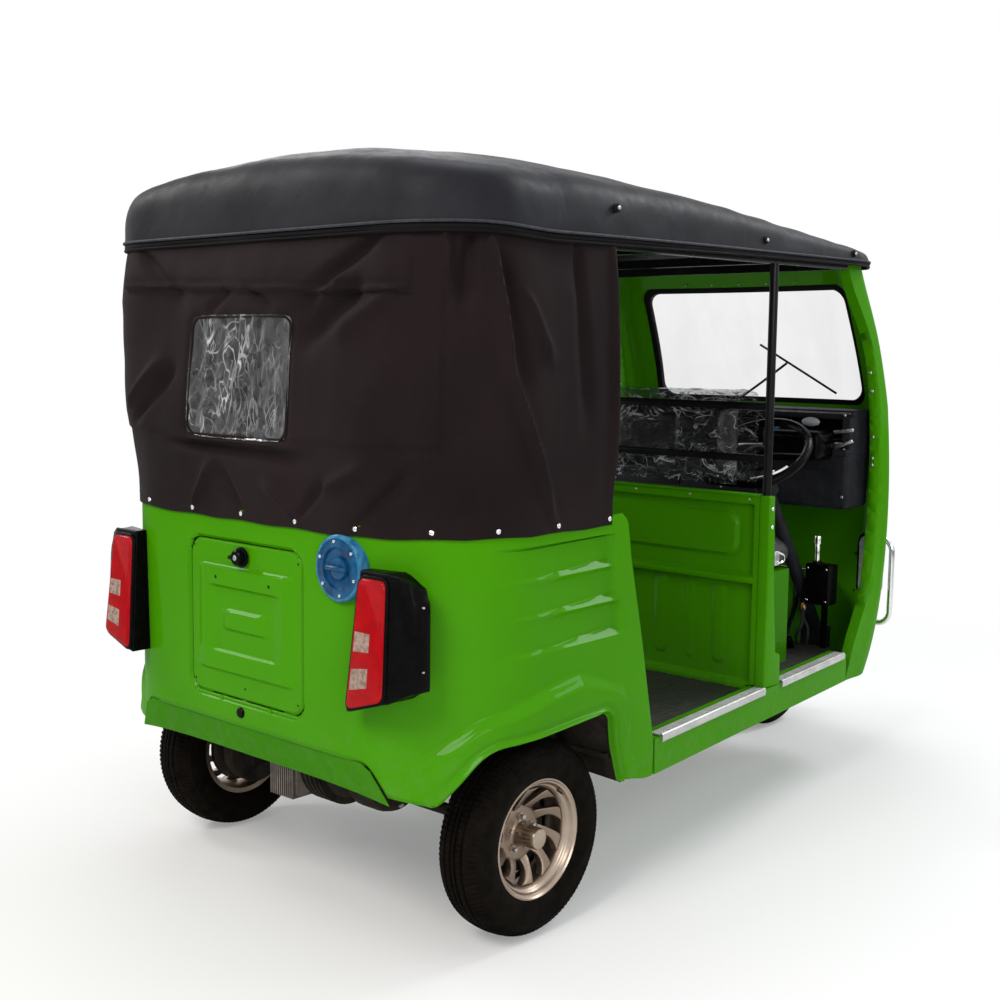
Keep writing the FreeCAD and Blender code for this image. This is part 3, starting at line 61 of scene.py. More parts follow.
# ---------------------------------------------------------------- finishes
class Graph:
    """A material with its shader and output in place, and short calls for its nodes."""

    def __init__(self, name: str) -> None:
        """Start the material.

        Args:
            name: the material's name.
        """
        self.material = bpy.data.materials.new(name)
        self.material.use_nodes = True
        self.tree = self.material.node_tree
        self.tree.nodes.clear()
        self.shader = self.node("BsdfPrincipled")
        self.output = self.node("OutputMaterial")
        self.tree.links.new(self.shader.outputs["BSDF"], self.output.inputs["Surface"])
        self.coords = self.node("TexCoord")
        self.object_place = self.coords.outputs["Object"]
        self.uv_place = self.coords.outputs["UV"]

    def node(self, kind: str, inputs: Optional[dict] = None, **settings: object) -> bpy.types.Node:
        """Add a node.

        Args:
            kind: its type without the leading ShaderNode.
            inputs: values or sockets for its inputs, by name or number.
            settings: its own properties.

        Returns:
            The node.
        """
        made = self.tree.nodes.new("ShaderNode" + kind)
        for key, value in settings.items():
            setattr(made, key, value)
        for key, value in (inputs or {}).items():
            self.feed(made.inputs[key], value)
        return made

    def feed(self, target: bpy.types.NodeSocket, value: object) -> None:
        """Link a socket to an input, or set the input's own value."""
        if isinstance(value, bpy.types.NodeSocket):
            self.tree.links.new(value, target)
        elif isinstance(value, tuple) and len(value) == 3 and target.type == "RGBA":
            target.default_value = (*value, 1.0)
        else:
            target.default_value = value

    def surface(self, **values: object) -> None:
        """Set the shader's inputs, named in lower case with underscores."""
        for key, value in values.items():
            name = {"metallic": "Metallic", "roughness": "Roughness", "alpha": "Alpha", "ior": "IOR",
                    "base": "Base Color", "normal": "Normal", "coat": "Coat Weight",
                    "coat_roughness": "Coat Roughness", "sheen": "Sheen Weight",
                    "sheen_roughness": "Sheen Roughness", "specular": "Specular IOR Level",
                    "transmission": "Transmission Weight", "emission": "Emission Color",
                    "emission_strength": "Emission Strength"}[key]
            self.feed(self.shader.inputs[name], value)

    def placed(self, scale: Point, turn: Point = (0, 0, 0)) -> bpy.types.NodeSocket:
        """Coordinates turned and stretched by a Mapping node."""
        spun = {"Vector": self.object_place, "Rotation": turn, "Scale": scale}
        return self.node("Mapping", spun).outputs[0]

    def noise(self, scale: float, detail: float = 3, roughness: float = 0.55, distortion: float = 0,
              where: Optional[bpy.types.NodeSocket] = None) -> bpy.types.NodeSocket:
        """Noise from 0 to 1."""
        inputs = {"Vector": where or self.object_place, "Scale": scale, "Detail": detail,
                  "Roughness": roughness, "Distortion": distortion}
        return self.node("TexNoise", inputs).outputs[0]

    def cells(self, scale: float) -> bpy.types.NodeSocket:
        """Distance in a cell pattern."""
        return self.node("TexVoronoi", {"Vector": self.object_place, "Scale": scale}).outputs["Distance"]

    def waves(self, scale: float, direction: str,
              where: Optional[bpy.types.NodeSocket] = None) -> bpy.types.NodeSocket:
        """Even bands from 0 to 1 along one direction."""
        return self.node("TexWave", {"Vector": where or self.object_place, "Scale": scale, "Detail": 1.0},
                         bands_direction=direction).outputs["Fac"]

    def range(self, value: bpy.types.NodeSocket, low: float, high: float, to_low: float,
              to_high: float) -> bpy.types.NodeSocket:
        """A value moved from one range to another and kept inside it."""
        return self.node("MapRange", {0: value, 1: low, 2: high, 3: to_low, 4: to_high}).outputs[0]

    def math(self, operation: str, first: object, second: object = 0.0) -> bpy.types.NodeSocket:
        """Arithmetic on two values."""
        return self.node("Math", {0: first, 1: second}, operation=operation).outputs[0]

    def mix(self, share: object, first: object, second: object) -> bpy.types.NodeSocket:
        """Two colours mixed."""
        return self.node("Mix", {0: share, 6: first, 7: second}, data_type="RGBA").outputs[2]

    def bump(self, height: bpy.types.NodeSocket, depth: float, strength: float = 1.0,
             under: Optional[bpy.types.NodeSocket] = None) -> bpy.types.NodeSocket:
        """Normals of a relief of a depth in metres."""
        inputs = {"Height": height, "Distance": depth, "Strength": strength}
        if under is not None:
            inputs["Normal"] = under
        return self.node("Bump", inputs).outputs[0]

    def axis(self, letter: str) -> bpy.types.NodeSocket:
        """One object coordinate."""
        return self.node("SeparateXYZ", {0: self.object_place}).outputs[letter]


@dataclass(frozen=True)
class Paint:
    """Gloss paint on sheet metal, with orange peel, faint haze and road dust low down."""

    name: str
    colour: Colour
    dust_colour: Colour = (0.20, 0.19, 0.13)
    dust: float = 0.22
    roughness: float = 0.24
    coat: float = 0.13
    specular: float = 0.0
    peel: float = 0.00004

    def material(self) -> bpy.types.Material:
        """Build the material."""
        g = Graph(self.name)
        broad = g.noise(2.2, 4)
        shade = g.mix(g.range(broad, 0.3, 0.7, 0, 1), tuple(c * 0.90 for c in self.colour), self.colour)
        low = g.range(g.axis("Z"), 0.30, 0.62, 1, 0)
        speck = g.range(g.noise(38, 6, 0.7), 0.45, 0.75, 0, 1)
        film = g.math("MULTIPLY", g.math("MULTIPLY", low, speck), self.dust)
        g.surface(base=g.mix(film, shade, self.dust_colour),
                  roughness=g.math("ADD", g.range(g.noise(9, 5), 0.3, 0.7, self.roughness - 0.05,
                                                  self.roughness + 0.07), film),
                  coat=self.coat, coat_roughness=0.05, specular=self.specular,
                  normal=g.bump(g.noise(240, 2), self.peel, 0.6))
        return g.material


@dataclass(frozen=True)
class Vinyl:
    """Coated fabric with a fine leather grain, soft creases and paler worn places."""

    name: str
    colour: Colour
    worn: Colour
    roughness: float = 0.42
    grain_scale: float = 900
    grain_depth: float = 0.00006
    crease_scale: float = 7
    crease_depth: float = 0.004
    coat: float = 0.0
    coat_roughness: float = 0.3
    specular: float = 0.05

    def material(self) -> bpy.types.Material:
        """Build the material."""
        g = Graph(self.name)
        patch = g.noise(3.1, 5, 0.6)
        fine = g.noise(34, 6, 0.65)
        tone = g.mix(g.range(patch, 0.35, 0.72, 0, 1), self.colour, self.worn)
        tone = g.mix(g.range(fine, 0.4, 0.8, 0, 0.25), tone, self.worn)
        grain = g.cells(self.grain_scale)
        crease = g.noise(self.crease_scale, 3, 0.5, 0.6)
        relief = g.bump(grain, self.grain_depth, 0.7, g.bump(crease, self.crease_depth, 0.8))
        g.surface(base=tone, normal=relief, coat=self.coat, coat_roughness=self.coat_roughness,
                  specular=self.specular,
                  roughness=g.range(fine, 0.3, 0.8, self.roughness - 0.06, self.roughness + 0.12))
        return g.material


@dataclass(frozen=True)
class Canvas:
    """Woven curtain cloth: threads along the piece's own UV map, dust and drag creases."""

    name: str
    colour: Colour
    dusty: Colour
    threads: float = 620
    roughness: float = 0.72

    def material(self) -> bpy.types.Material:
        """Build the material; the UV map is in metres along and up the cloth."""
        g = Graph(self.name)
        warp = g.waves(self.threads, "X", g.uv_place)
        weft = g.waves(self.threads, "Y", g.uv_place)
        weave = g.math("MAXIMUM", warp, weft)
        patch = g.noise(2.6, 6, 0.62)
        lint = g.range(g.noise(95, 5, 0.7), 0.5, 0.8, 0, 0.35)
        tone = g.mix(g.range(patch, 0.35, 0.72, 0, 1), self.colour, self.dusty)
        tone = g.mix(lint, tone, self.dusty)
        tone = g.mix(g.range(weave, 0.55, 1, 0.0, 0.25), tone, tuple(c * 1.7 for c in self.dusty))
        drag = g.noise(1, 3, 0.5, 0.5, g.placed((7, 7, 3.2), (0, 0.5, 0.4)))
        relief = g.bump(weave, 0.00025, 0.5, g.bump(drag, 0.006, 0.55))
        g.surface(base=tone, normal=relief, sheen=0.01, sheen_roughness=0.5, specular=0.05,
                  roughness=g.range(patch, 0.3, 0.7, self.roughness - 0.08, self.roughness + 0.05))
        return g.material


@dataclass(frozen=True)
class CrumpledFilm:
    """Clear plastic film; its pale crease lines and pale patches are painted highlights and sheen."""

    name: str
    tint: Colour = (0.016, 0.015, 0.018)
    # Colour of the painted highlights along the creases.
    crease: Colour = (0.62, 0.63, 0.66)
    scale: float = 6.5
    clearness: float = 0.02
    roughness: float = 0.14
    stretch: Point = (1.0, 1.0, 0.55)
    share: float = 0.5
    # Half width beyond which and height below which the painted highlight streaks crowd, where the film
    # bunches.
    bunched: Flat = (0.0, 0.0)

    def material(self) -> bpy.types.Material:
        """Build the material."""
        g = Graph(self.name)
        bent = g.placed(self.stretch, (0.25, 0.1, 0.3))
        patch = g.range(g.noise(self.scale * 0.8, 2, 0.5, 0.4, bent), 0.62 - self.share * 0.4,
                        0.80 - self.share * 0.4, 0, 1)
        # Painted highlight streaks also crowd over the bunched ends and the foot.
        if self.bunched[1]:
            ends = g.range(g.math("ABSOLUTE", g.axis("X")), self.bunched[0] - 0.10, self.bunched[0], 0, 1)
            foot = g.range(g.axis("Z"), self.bunched[1] + 0.04, self.bunched[1] + 0.01, 0, 1)
            patch = g.math("MAXIMUM", patch, g.math("MAXIMUM", ends, foot))
        # Pale crease lines: painted highlights where the film bends.
        line = None
        for scale, width, weight, warp in ((0.7, 0.014, 1.0, 1.6), (1.9, 0.020, 0.85, 1.1),
                                           (4.2, 0.030, 0.55, 0.8)):
            field = g.noise(self.scale * scale, 2, 0.5, warp, bent)
            apart = g.math("ABSOLUTE", g.math("SUBTRACT", field, 0.5))
            thin = g.math("MULTIPLY", g.range(apart, 0.0, width, 1, 0), weight)
            line = thin if line is None else g.math("MAXIMUM", line, thin)
        broken = g.range(g.noise(self.scale * 3.1, 3, 0.6, 0, bent), 0.40, 0.62, 0.15, 1)
        line = g.math("MULTIPLY", g.math("MULTIPLY", line, broken), patch)
        # Broad pale patches: painted sheen on the film.
        haze = g.math("MULTIPLY", g.range(g.noise(self.scale * 0.5, 4, 0.6, 1.0, bent), 0.5, 0.75, 0, 1),
                      0.10)
        pale = g.math("ADD", line, haze)
        g.surface(base=g.mix(pale, self.tint, self.crease), specular=0.35,
                  roughness=self.roughness, coat=0.15, coat_roughness=0.05,
                  alpha=g.range(pale, 0, 0.6, 1 - self.clearness, 0.97),
                  normal=g.bump(g.noise(self.scale * 1.9, 3, 0.5, 0.8, bent), 0.006, 0.6))
        return g.material


@dataclass(frozen=True)
class Glass:
    """Clear sheet glass or film that lets most light straight through."""

    name: str
    tint: Colour = (0.10, 0.13, 0.14)
    alpha: float = 0.16
    roughness: float = 0.03
    smears: float = 0.10

    def material(self) -> bpy.types.Material:
        """Build the material."""
        g = Graph(self.name)
        smear = g.noise(1, 5, 0.6, 0.4, g.placed((5, 5, 1.6)))
        g.surface(base=g.mix(g.range(smear, 0.5, 0.8, 0, 0.5), self.tint, (0.5, 0.52, 0.5)),
                  roughness=g.range(smear, 0.4, 0.8, self.roughness, self.roughness + self.smears),
                  alpha=g.range(smear, 0.4, 0.8, self.alpha, self.alpha + 0.06),
                  coat=0.5, coat_roughness=0.02, specular=0.7,
                  normal=g.bump(g.noise(3, 2), 0.002, 0.2))
        return g.material


@dataclass(frozen=True)
class Solid:
    """Moulded, cast or rolled material: tone variation, grain relief and dust or wear."""

    name: str
    colour: Colour
    other: Colour
    metallic: float = 0.0
    roughness: float = 0.5
    spread: float = 0.1
    tone_scale: float = 12
    grain_scale: float = 260
    grain_depth: float = 0.0001
    coat: float = 0.0
    sheen: float = 0.0
    specular: float = 0.03

    def material(self) -> bpy.types.Material:
        """Build the material."""
        g = Graph(self.name)
        tone = g.noise(self.tone_scale, 6, 0.65)
        grain = g.noise(self.grain_scale, 4, 0.6)
        g.surface(base=g.mix(g.range(tone, 0.35, 0.7, 0, 1), self.colour, self.other),
                  metallic=self.metallic, coat=self.coat, coat_roughness=0.12, sheen=self.sheen,
                  specular=self.specular,
                  roughness=g.range(g.noise(self.tone_scale * 2.3, 5), 0.3, 0.7,
                                    max(0.03, self.roughness - self.spread), self.roughness + self.spread),
                  normal=g.bump(grain, self.grain_depth, 0.6))
        return g.material


@dataclass(frozen=True)
class Lens:
    """Moulded lamp lens with fine inner optics that show as a grid of small ridges."""

    name: str
    colour: Colour
    glint: Colour
    pitch: float = 300
    roughness: float = 0.12
    cloud_scale: float = 34
    cloud_share: float = 0.35

    def material(self) -> bpy.types.Material:
        """Build the material."""
        g = Graph(self.name)
        across, up = g.waves(self.pitch, "X"), g.waves(self.pitch * 0.8, "Z")
        optics = g.math("MULTIPLY", across, up)
        cloud = g.range(g.noise(self.cloud_scale, 3), 0.42, 0.62, 0, 1)
        tone = g.mix(g.range(optics, 0.2, 0.9, 0, 0.55), self.colour, self.glint)
        g.surface(base=g.mix(g.math("MULTIPLY", cloud, self.cloud_share), tone,
                             tuple(c * 0.6 for c in self.colour)),
                  roughness=self.roughness, coat=0.30, coat_roughness=0.05, specular=0.0,
                  normal=g.bump(optics, 0.0008, 0.35))
        return g.material


@dataclass(frozen=True)
class Ridged:
    """Rolled metal or rubber strip with ribs along the vehicle."""

    name: str
    colour: Colour
    groove: Colour
    metallic: float
    roughness: float
    pitch: float = 50

    def material(self) -> bpy.types.Material:
        """Build the material."""
        g = Graph(self.name)
        rib = g.waves(self.pitch, "X")
        wear = g.noise(30, 6, 0.7)
        tone = g.mix(g.range(rib, 0.05, 0.45, 1, 0), self.colour, self.groove)
        g.surface(base=g.mix(g.range(wear, 0.5, 0.8, 0, 0.5), tone, self.groove), metallic=self.metallic,
                  roughness=g.range(wear, 0.3, 0.7, self.roughness - 0.08, self.roughness + 0.15),
                  normal=g.bump(rib, 0.0012, 0.7))
        return g.material


class Finish(Enum):
    """Every finish on the vehicle."""

    GREEN = Paint("green_gloss", (0.055, 0.270, 0.0018))
    # A darker copy of the body green: painted shade on the floor, wheel houses, seat base, mudguard and the
    # apron under the tail.
    DARK_GREEN = Paint("green_gloss_painted_shade", (0.042, 0.215, 0.003), roughness=0.34, coat=0.1)
    BLACK_PAINT = Solid("black_satin_paint", (0.006, 0.006, 0.007), (0.013, 0.013, 0.014), 0, 0.30, 0.08,
                        coat=0.2)
    CHASSIS = Solid("chassis_black", (0.014, 0.013, 0.012), (0.060, 0.050, 0.038), 0, 0.62, 0.15, 9)
    BLACK_PLASTIC = Solid("moulded_black_plastic", (0.0012, 0.0010, 0.0012), (0.0034, 0.0030, 0.0034), 0,
                          0.30, 0.06, 30, 700, 0.00008, specular=0.05)
    DASH_PLASTIC = Solid("grained_dash_plastic", (0.010, 0.010, 0.013), (0.020, 0.020, 0.025), 0, 0.50,
                         0.08, 20, 900, 0.00012, specular=0.08)
    ROOF = Vinyl("roof_leathercloth", (0.0115, 0.0116, 0.0140), (0.0235, 0.0240, 0.0290), 0.44)
    PIPING = Solid("roof_piping_vinyl", (0.050, 0.052, 0.062), (0.028, 0.029, 0.034), 0, 0.5, 0.1, 60, 900,
                   0.0001)
    CANVAS = Canvas("curtain_canvas_cloth", (0.0062, 0.0038, 0.0042), (0.0158, 0.0100, 0.0104))
    VALANCE = Canvas("valance_cloth", (0.0038, 0.0032, 0.0036), (0.008, 0.007, 0.0075))
    # Both films carry painted crease highlights and painted sheen in their colour.
    WINDOW_FILM = CrumpledFilm("window_film")
    WRAP_FILM = CrumpledFilm("seat_wrap_film", (0.02, 0.02, 0.022), (0.50, 0.51, 0.53), 9.0, 0.72, 0.10,
                             (0.55, 1.0, 1.0), 0.75, (0.43, 0.99))
    GLASS = Glass("windscreen_sheet", alpha=0.07)
    TYRE = Solid("tyre_tread_rubber", (0.0030, 0.0023, 0.0017), (0.0080, 0.0062, 0.0046), 0, 0.70, 0.1, 26,
                 500, 0.0003, 0, 0.0)
    ALLOY = Solid("cast_alloy_metal", (0.27, 0.208, 0.160), (0.20, 0.154, 0.118), 0.92, 0.36, 0.05, 9, 420,
                  0.00015)
    MACHINED = Solid("machined_rim_lip", (0.42, 0.338, 0.272), (0.34, 0.272, 0.218), 1.0, 0.30, 0.03, 6, 600,
                     0.00004)
    RED_LENS = Lens("red_lens_plastic", (0.35, 0.0015, 0.0045), (0.55, 0.006, 0.010))
    WHITE_LENS = Lens("white_lens_plastic", (0.30, 0.21, 0.17), (0.82, 0.68, 0.58), 210, cloud_scale=95,
                      cloud_share=0.9)
    HEAD_LENS = Lens("headlamp_lens_plastic", (0.42, 0.44, 0.46), (0.75, 0.77, 0.80), 180)
    CHROME = Solid("chrome_plate", (0.80, 0.80, 0.80), (0.66, 0.66, 0.68), 1.0, 0.10, 0.06, 14, 300, 0.00002)
    STEEL = Solid("zinc_plated_steel", (0.48, 0.48, 0.47), (0.30, 0.29, 0.27), 0.9, 0.36, 0.12, 40, 500,
                  0.00008)
    ALUMINIUM = Solid("ribbed_aluminium", (0.56, 0.56, 0.55), (0.40, 0.40, 0.39), 0.85, 0.36, 0.08, 16, 380,
                      0.00006)
    SEAL = Solid("seal_rubber_black", (0.005, 0.005, 0.005), (0.012, 0.012, 0.012), 0, 0.5, 0.1, 50)
    SEAT = Vinyl("seat_leathercloth", (0.006, 0.006, 0.0065), (0.015, 0.015, 0.016), 0.34, 700, 0.0001, 11,
                 0.003, 0.15, 0.18, 0.3)
    BLUE_FILM = Solid("blue_protective_film", (0.002, 0.030, 0.092), (0.008, 0.098, 0.225), 0.0, 0.20, 0.08,
                      26, 60, 0.0012, 0.30)
    BLUE_RIM = Solid("blue_film_edge", (0.006, 0.085, 0.205), (0.055, 0.245, 0.40), 0.0, 0.25, 0.08, 40, 90,
                     0.0006, 0.3)
    MAT = Ridged("floor_mat_rubber", (0.0065, 0.0062, 0.0045), (0.019, 0.018, 0.012), 0, 0.60, 38)
    ENGINE = Solid("cast_aluminium_case", (0.28, 0.245, 0.215), (0.14, 0.12, 0.105), 0.7, 0.46, 0.14, 24, 300,
                   0.0004)
    BRASS = Solid("brass_fitting", (0.42, 0.27, 0.08), (0.28, 0.17, 0.05), 0.9, 0.35, 0.1)
    WIRE = Solid("wire_sleeve", (0.02, 0.02, 0.02), (0.05, 0.05, 0.05), 0, 0.5, 0.1)

    def made(self) -> bpy.types.Material:
        """The finish's material, built once."""
        known = bpy.data.materials.get(self.value.name)
        return known or self.value.material()


# ---------------------------------------------------------------- shaping
def spaced(first: float, last: float, count: int) -> list[float]:
    """Evenly spaced numbers, both ends included."""
    return [first + (last - first) * i / (count - 1) for i in range(count)]


def clamped(value: float) -> float:
    """A value kept from 0 to 1."""
    return min(1.0, max(0.0, value))


def eased(value: float, low: float, high: float) -> float:
    """Smooth step from 0 at low to 1 at high."""
    t = clamped((value - low) / (high - low))
    return t * t * (3 - 2 * t)


def along(table: Sequence[Flat], place: float) -> float:
    """Straight reading between the rows of a table of place and value."""
    for (a, x), (b, y) in zip(table, table[1:]):
        if place <= b:
            return x + (y - x) * max(0.0, (place - a) / (b - a))
    return table[-1][1]


def beyond(x: float, z: float, half: float, low: float, high: float, corner: float) -> float:
    """Signed distance outside a rounded rectangle that is centred in x.

    Args:
        x: place across, from the rectangle's middle.
        z: place upwards.
        half: the rectangle's half width.
        low: its lower edge.
        high: its upper edge.
        corner: its corners' radius.

    Returns:
        The distance, below 0 inside.
    """
    qx = abs(x) - half + corner
    qz = abs(z - (low + high) / 2) - (high - low) / 2 + corner
    return math.hypot(max(qx, 0), max(qz, 0)) + min(max(qx, qz), 0) - corner


def steepest(distance: Callable[[float, float], float], x: float, z: float) -> Vector:
    """Direction in which a distance over the plane grows fastest."""
    step = 0.0005
    return Vector((distance(x + step, z) - distance(x - step, z),
                   distance(x, z + step) - distance(x, z - step))).normalized()


def wrinkle(place: Vector, size: float, seed: float = 0.0) -> float:
    """Noise about -1 to 1 over lengths of a size in metres."""
    return noise.noise(place / size + Vector((seed, seed * 1.7, -seed)))


class Shape:
    """A bmesh being made into one finished piece, in metres in the vehicle's frame."""

    def __init__(self, name: str) -> None:
        """Start an empty shape with the piece's name."""
        self.name = name
        self.mesh = bmesh.new()

    def bevelled(self, verts: list, width: float, segments: int = 2, angle: float = 30) -> None:
        """Round the edges among some vertices that turn by more than an angle."""
        if width <= 0:
            return
        edges = {e for v in verts for e in v.link_edges
                 if len(e.link_faces) == 2 and math.degrees(e.calc_face_angle(0)) > angle}
        bmesh.ops.bevel(self.mesh, geom=list(edges), offset=width, offset_type="OFFSET", affect="EDGES",
                        segments=segments, profile=0.5, material=-1, clamp_overlap=True)

    def block(self, low: Point, high: Point, bevel: float = 0.0, segments: int = 2, turn: Point = (0, 0, 0),
              tag: int = 0) -> None:
        """Add a box between two corners, with rounded edges, turned about its middle in degrees."""
        size = Vector(high) - Vector(low)
        middle = (Vector(high) + Vector(low)) / 2
        spin = Matrix.Rotation(math.radians(turn[2]), 4, "Z") @ Matrix.Rotation(
            math.radians(turn[1]), 4, "Y") @ Matrix.Rotation(math.radians(turn[0]), 4, "X")
        verts = bmesh.ops.create_cube(self.mesh, size=1.0)["verts"]
        self.paint(verts, tag)
        matrix = Matrix.Translation(middle) @ spin @ Matrix.Diagonal((*size, 1))
        bmesh.ops.transform(self.mesh, matrix=matrix, verts=verts)
        self.bevelled(verts, bevel, segments)

    def paint(self, verts: list, tag: int) -> None:
        """Give the faces of some vertices a finish number."""
        for face in {f for v in verts for f in v.link_faces}:
            face.material_index = tag

    def rod(self, start: Point, end: Point, radius: float, end_radius: Optional[float] = None,
            sides: int = 16, bevel: float = 0.0, tag: int = 0) -> None:
        """Add a rod or cone between two points."""
        a, b = Vector(start), Vector(end)
        verts = bmesh.ops.create_cone(
            self.mesh, cap_ends=True, cap_tris=False, segments=sides, radius1=radius,
            radius2=radius if end_radius is None else end_radius, depth=(b - a).length)["verts"]
        self.paint(verts, tag)
        spin = (b - a).to_track_quat("Z", "Y").to_matrix().to_4x4()
        bmesh.ops.transform(self.mesh, matrix=Matrix.Translation((a + b) / 2) @ spin, verts=verts)
        if bevel:
            caps = {e for v in verts for f in v.link_faces if len(f.verts) == sides for e in f.edges}
            bmesh.ops.bevel(self.mesh, geom=list(caps), offset=bevel, offset_type="OFFSET", affect="EDGES",
                            segments=2, profile=0.5, material=-1, clamp_overlap=True)

    def ball(self, centre: Point, radius: float, squash: Point = (1, 1, 1), tag: int = 0,
             level: int = 2) -> None:
        """Add a small round head."""
        verts = bmesh.ops.create_icosphere(self.mesh, subdivisions=level, radius=radius)["verts"]
        self.paint(verts, tag)
        matrix = Matrix.Translation(Vector(centre)) @ Matrix.Diagonal((*squash, 1))
        bmesh.ops.transform(self.mesh, matrix=matrix, verts=verts)

    def turned(self, profile: Sequence[Flat], centre: Point, axis: Point, sides: int = 48,
               tag: int = 0) -> None:
        """Spin a profile of radius and place along the axis round the axis."""
        way = Vector(axis).normalized()
        side = way.orthogonal().normalized()
        verts = [self.mesh.verts.new(Vector(centre) + side * r + way * h) for r, h in profile]
        edges = [self.mesh.edges.new(pair) for pair in zip(verts, verts[1:])]
        before = set(self.mesh.verts)
        bmesh.ops.spin(self.mesh, geom=verts + edges, cent=Vector(centre), axis=way, angle=math.tau,
                       steps=sides, use_merge=True, use_duplicate=False)
        made = [v for v in self.mesh.verts if v in set(verts) or v not in before]
        bmesh.ops.remove_doubles(self.mesh, verts=made, dist=1e-6)
        self.paint([v for v in made if v.is_valid], tag)

    def pushed(self, faces: list, depth: Point) -> list:
        """Extrude faces by a depth, keep them as the other wall, and give the new vertices."""
        made = bmesh.ops.extrude_face_region(self.mesh, geom=faces, use_keep_orig=True)["geom"]
        verts = [v for v in made if isinstance(v, bmesh.types.BMVert)]
        bmesh.ops.translate(self.mesh, verts=verts, vec=depth)
        return verts

    def plate(self, outline: Sequence[Point], depth: Point, bevel: float = 0.0, segments: int = 2,
              tag: int = 0) -> None:
        """Extrude a flat outline by a depth."""
        first = [self.mesh.verts.new(p) for p in outline]
        verts = first + self.pushed([self.mesh.faces.new(first)], depth)
        bmesh.ops.recalc_face_normals(self.mesh, faces=list({f for v in verts for f in v.link_faces}))
        self.paint(verts, tag)
        self.bevelled(verts, bevel, segments)

    def net(self, columns: int, rows: int, place: Callable[[float, float], Point],
            uv: Optional[Callable[[float, float], Flat]] = None) -> None:
        """Add a grid whose points are placed by a rule of two shares from 0 to 1.

        Args:
            columns: faces along the first share.
            rows: faces along the second share.
            place: gives a point for the two shares.
            uv: gives the cloth coordinates for the two shares.
        """
        verts = bmesh.ops.create_grid(self.mesh, x_segments=columns, y_segments=rows, size=0.5)["verts"]
        shares = {v: (v.co.x + 0.5, v.co.y + 0.5) for v in verts}
        if uv is not None:
            layer = self.mesh.loops.layers.uv.verify()
            for face in {f for v in verts for f in v.link_faces}:
                for loop in face.loops:
                    loop[layer].uv = uv(*shares[loop.vert])
        for vert, (a, b) in shares.items():
            vert.co = place(a, b)

    def pipe(self, points: Sequence[Point], radius: float, sides: int = 10, closed: bool = False,
             tag: int = 0, samples: int = 6) -> None:
        """Add a bent tube of round section along a smooth line through some points."""
        data = bpy.data.curves.new("line", "CURVE")
        data.dimensions = "3D"
        line = data.splines.new("NURBS")
        line.points.add(len(points) - 1)
        for slot, point in zip(line.points, points):
            slot.co = (*point, 1)
        line.use_cyclic_u = closed
        line.order_u = 3
        line.use_endpoint_u = not closed
        line.resolution_u = samples
        data.bevel_depth = radius
        data.bevel_resolution = max(1, sides // 4 - 1)
        data.use_fill_caps = not closed
        holder = bpy.data.objects.new("line", data)
        mesh = bpy.data.meshes.new_from_object(holder)
        for poly in mesh.polygons:
            poly.material_index = tag
        self.mesh.from_mesh(mesh)
        bpy.data.meshes.remove(mesh)
        bpy.data.objects.remove(holder)
        bpy.data.curves.remove(data)

    def mirror(self) -> None:
        """Add the mirror image across the vehicle's middle."""
        geom = [*self.mesh.verts, *self.mesh.edges, *self.mesh.faces]
        copied = bmesh.ops.duplicate(self.mesh, geom=geom)["geom"]
        new_verts = [v for v in copied if isinstance(v, bmesh.types.BMVert)]
        bmesh.ops.scale(self.mesh, vec=Vector((-1, 1, 1)), verts=new_verts)
        bmesh.ops.reverse_faces(self.mesh, faces=[f for f in copied if isinstance(f, bmesh.types.BMFace)])

    def area(self) -> float:
        """Area of the faces made so far."""
        return sum(f.calc_area() for f in self.mesh.faces)

    def thickened(self, thickness: float) -> None:
        """Give an open surface a wall on its inner side."""
        bmesh.ops.recalc_face_normals(self.mesh, faces=self.mesh.faces)
        bmesh.ops.solidify(self.mesh, geom=list(self.mesh.faces), thickness=thickness)

    def done(self, finishes: Sequence[Finish] | Finish, replaces: Sequence[str] = (),
             smooth: float = 35, body: str = "vehicle_body") -> bpy.types.Object:
        """Make the piece.

        Args:
            finishes: one finish, or one for each finish number.
            replaces: the CAD nodes that it stands for.
            smooth: the angle in degrees past which an edge stays sharp.
            body: the body that it rides on.

        Returns:
            The object.
        """
        bmesh.ops.recalc_face_normals(self.mesh, faces=self.mesh.faces)
        data = bpy.data.meshes.new(self.name)
        self.mesh.to_mesh(data)
        self.mesh.free()
        for finish in ([finishes] if isinstance(finishes, Finish) else finishes):
            data.materials.append(finish.made())
        data.shade_smooth()
        if smooth < 180:
            data.set_sharp_from_angle(angle=math.radians(smooth))
        piece = bpy.data.objects.new(self.name, data)
        bpy.context.scene.collection.objects.link(piece)
        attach(piece, body)
        if replaces:
            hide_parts(*replaces)
        log.info("%s: %d faces on %s", self.name, len(data.polygons), body)
        return piece


def dressed(finish: Finish, *nodes: str) -> None:
    """Give carried CAD nodes a finish."""
    for name in nodes:
        piece = frame["nodes"][name]
        piece.data.materials.clear()
        piece.data.materials.append(finish.made())


def rounded(corners: Sequence[Flat], radius: float, steps: int = 6) -> list[Flat]:
    """A closed outline with its corners rounded.

    Args:
        corners: the outline's corners in order.
        radius: the corners' radius.
        steps: points on each corner.

    Returns:
        The rounded outline.
    """
    line = []
    for i, corner in enumerate(corners):
        here = Vector(corner)
        back = (Vector(corners[i - 1]) - here).normalized()
        ahead = (Vector(corners[(i + 1) % len(corners)]) - here).normalized()
        half = back.angle(ahead) / 2
        reach = radius / math.tan(half)
        centre = here + (back + ahead).normalized() * (radius / math.sin(half))
        start, end = here + back * reach - centre, here + ahead * reach - centre
        for s in range(steps + 1):
            arm = start.slerp(end, s / steps) if start.angle(end) > 1e-4 else start
            line.append(tuple(centre + arm.normalized() * radius))
    return line


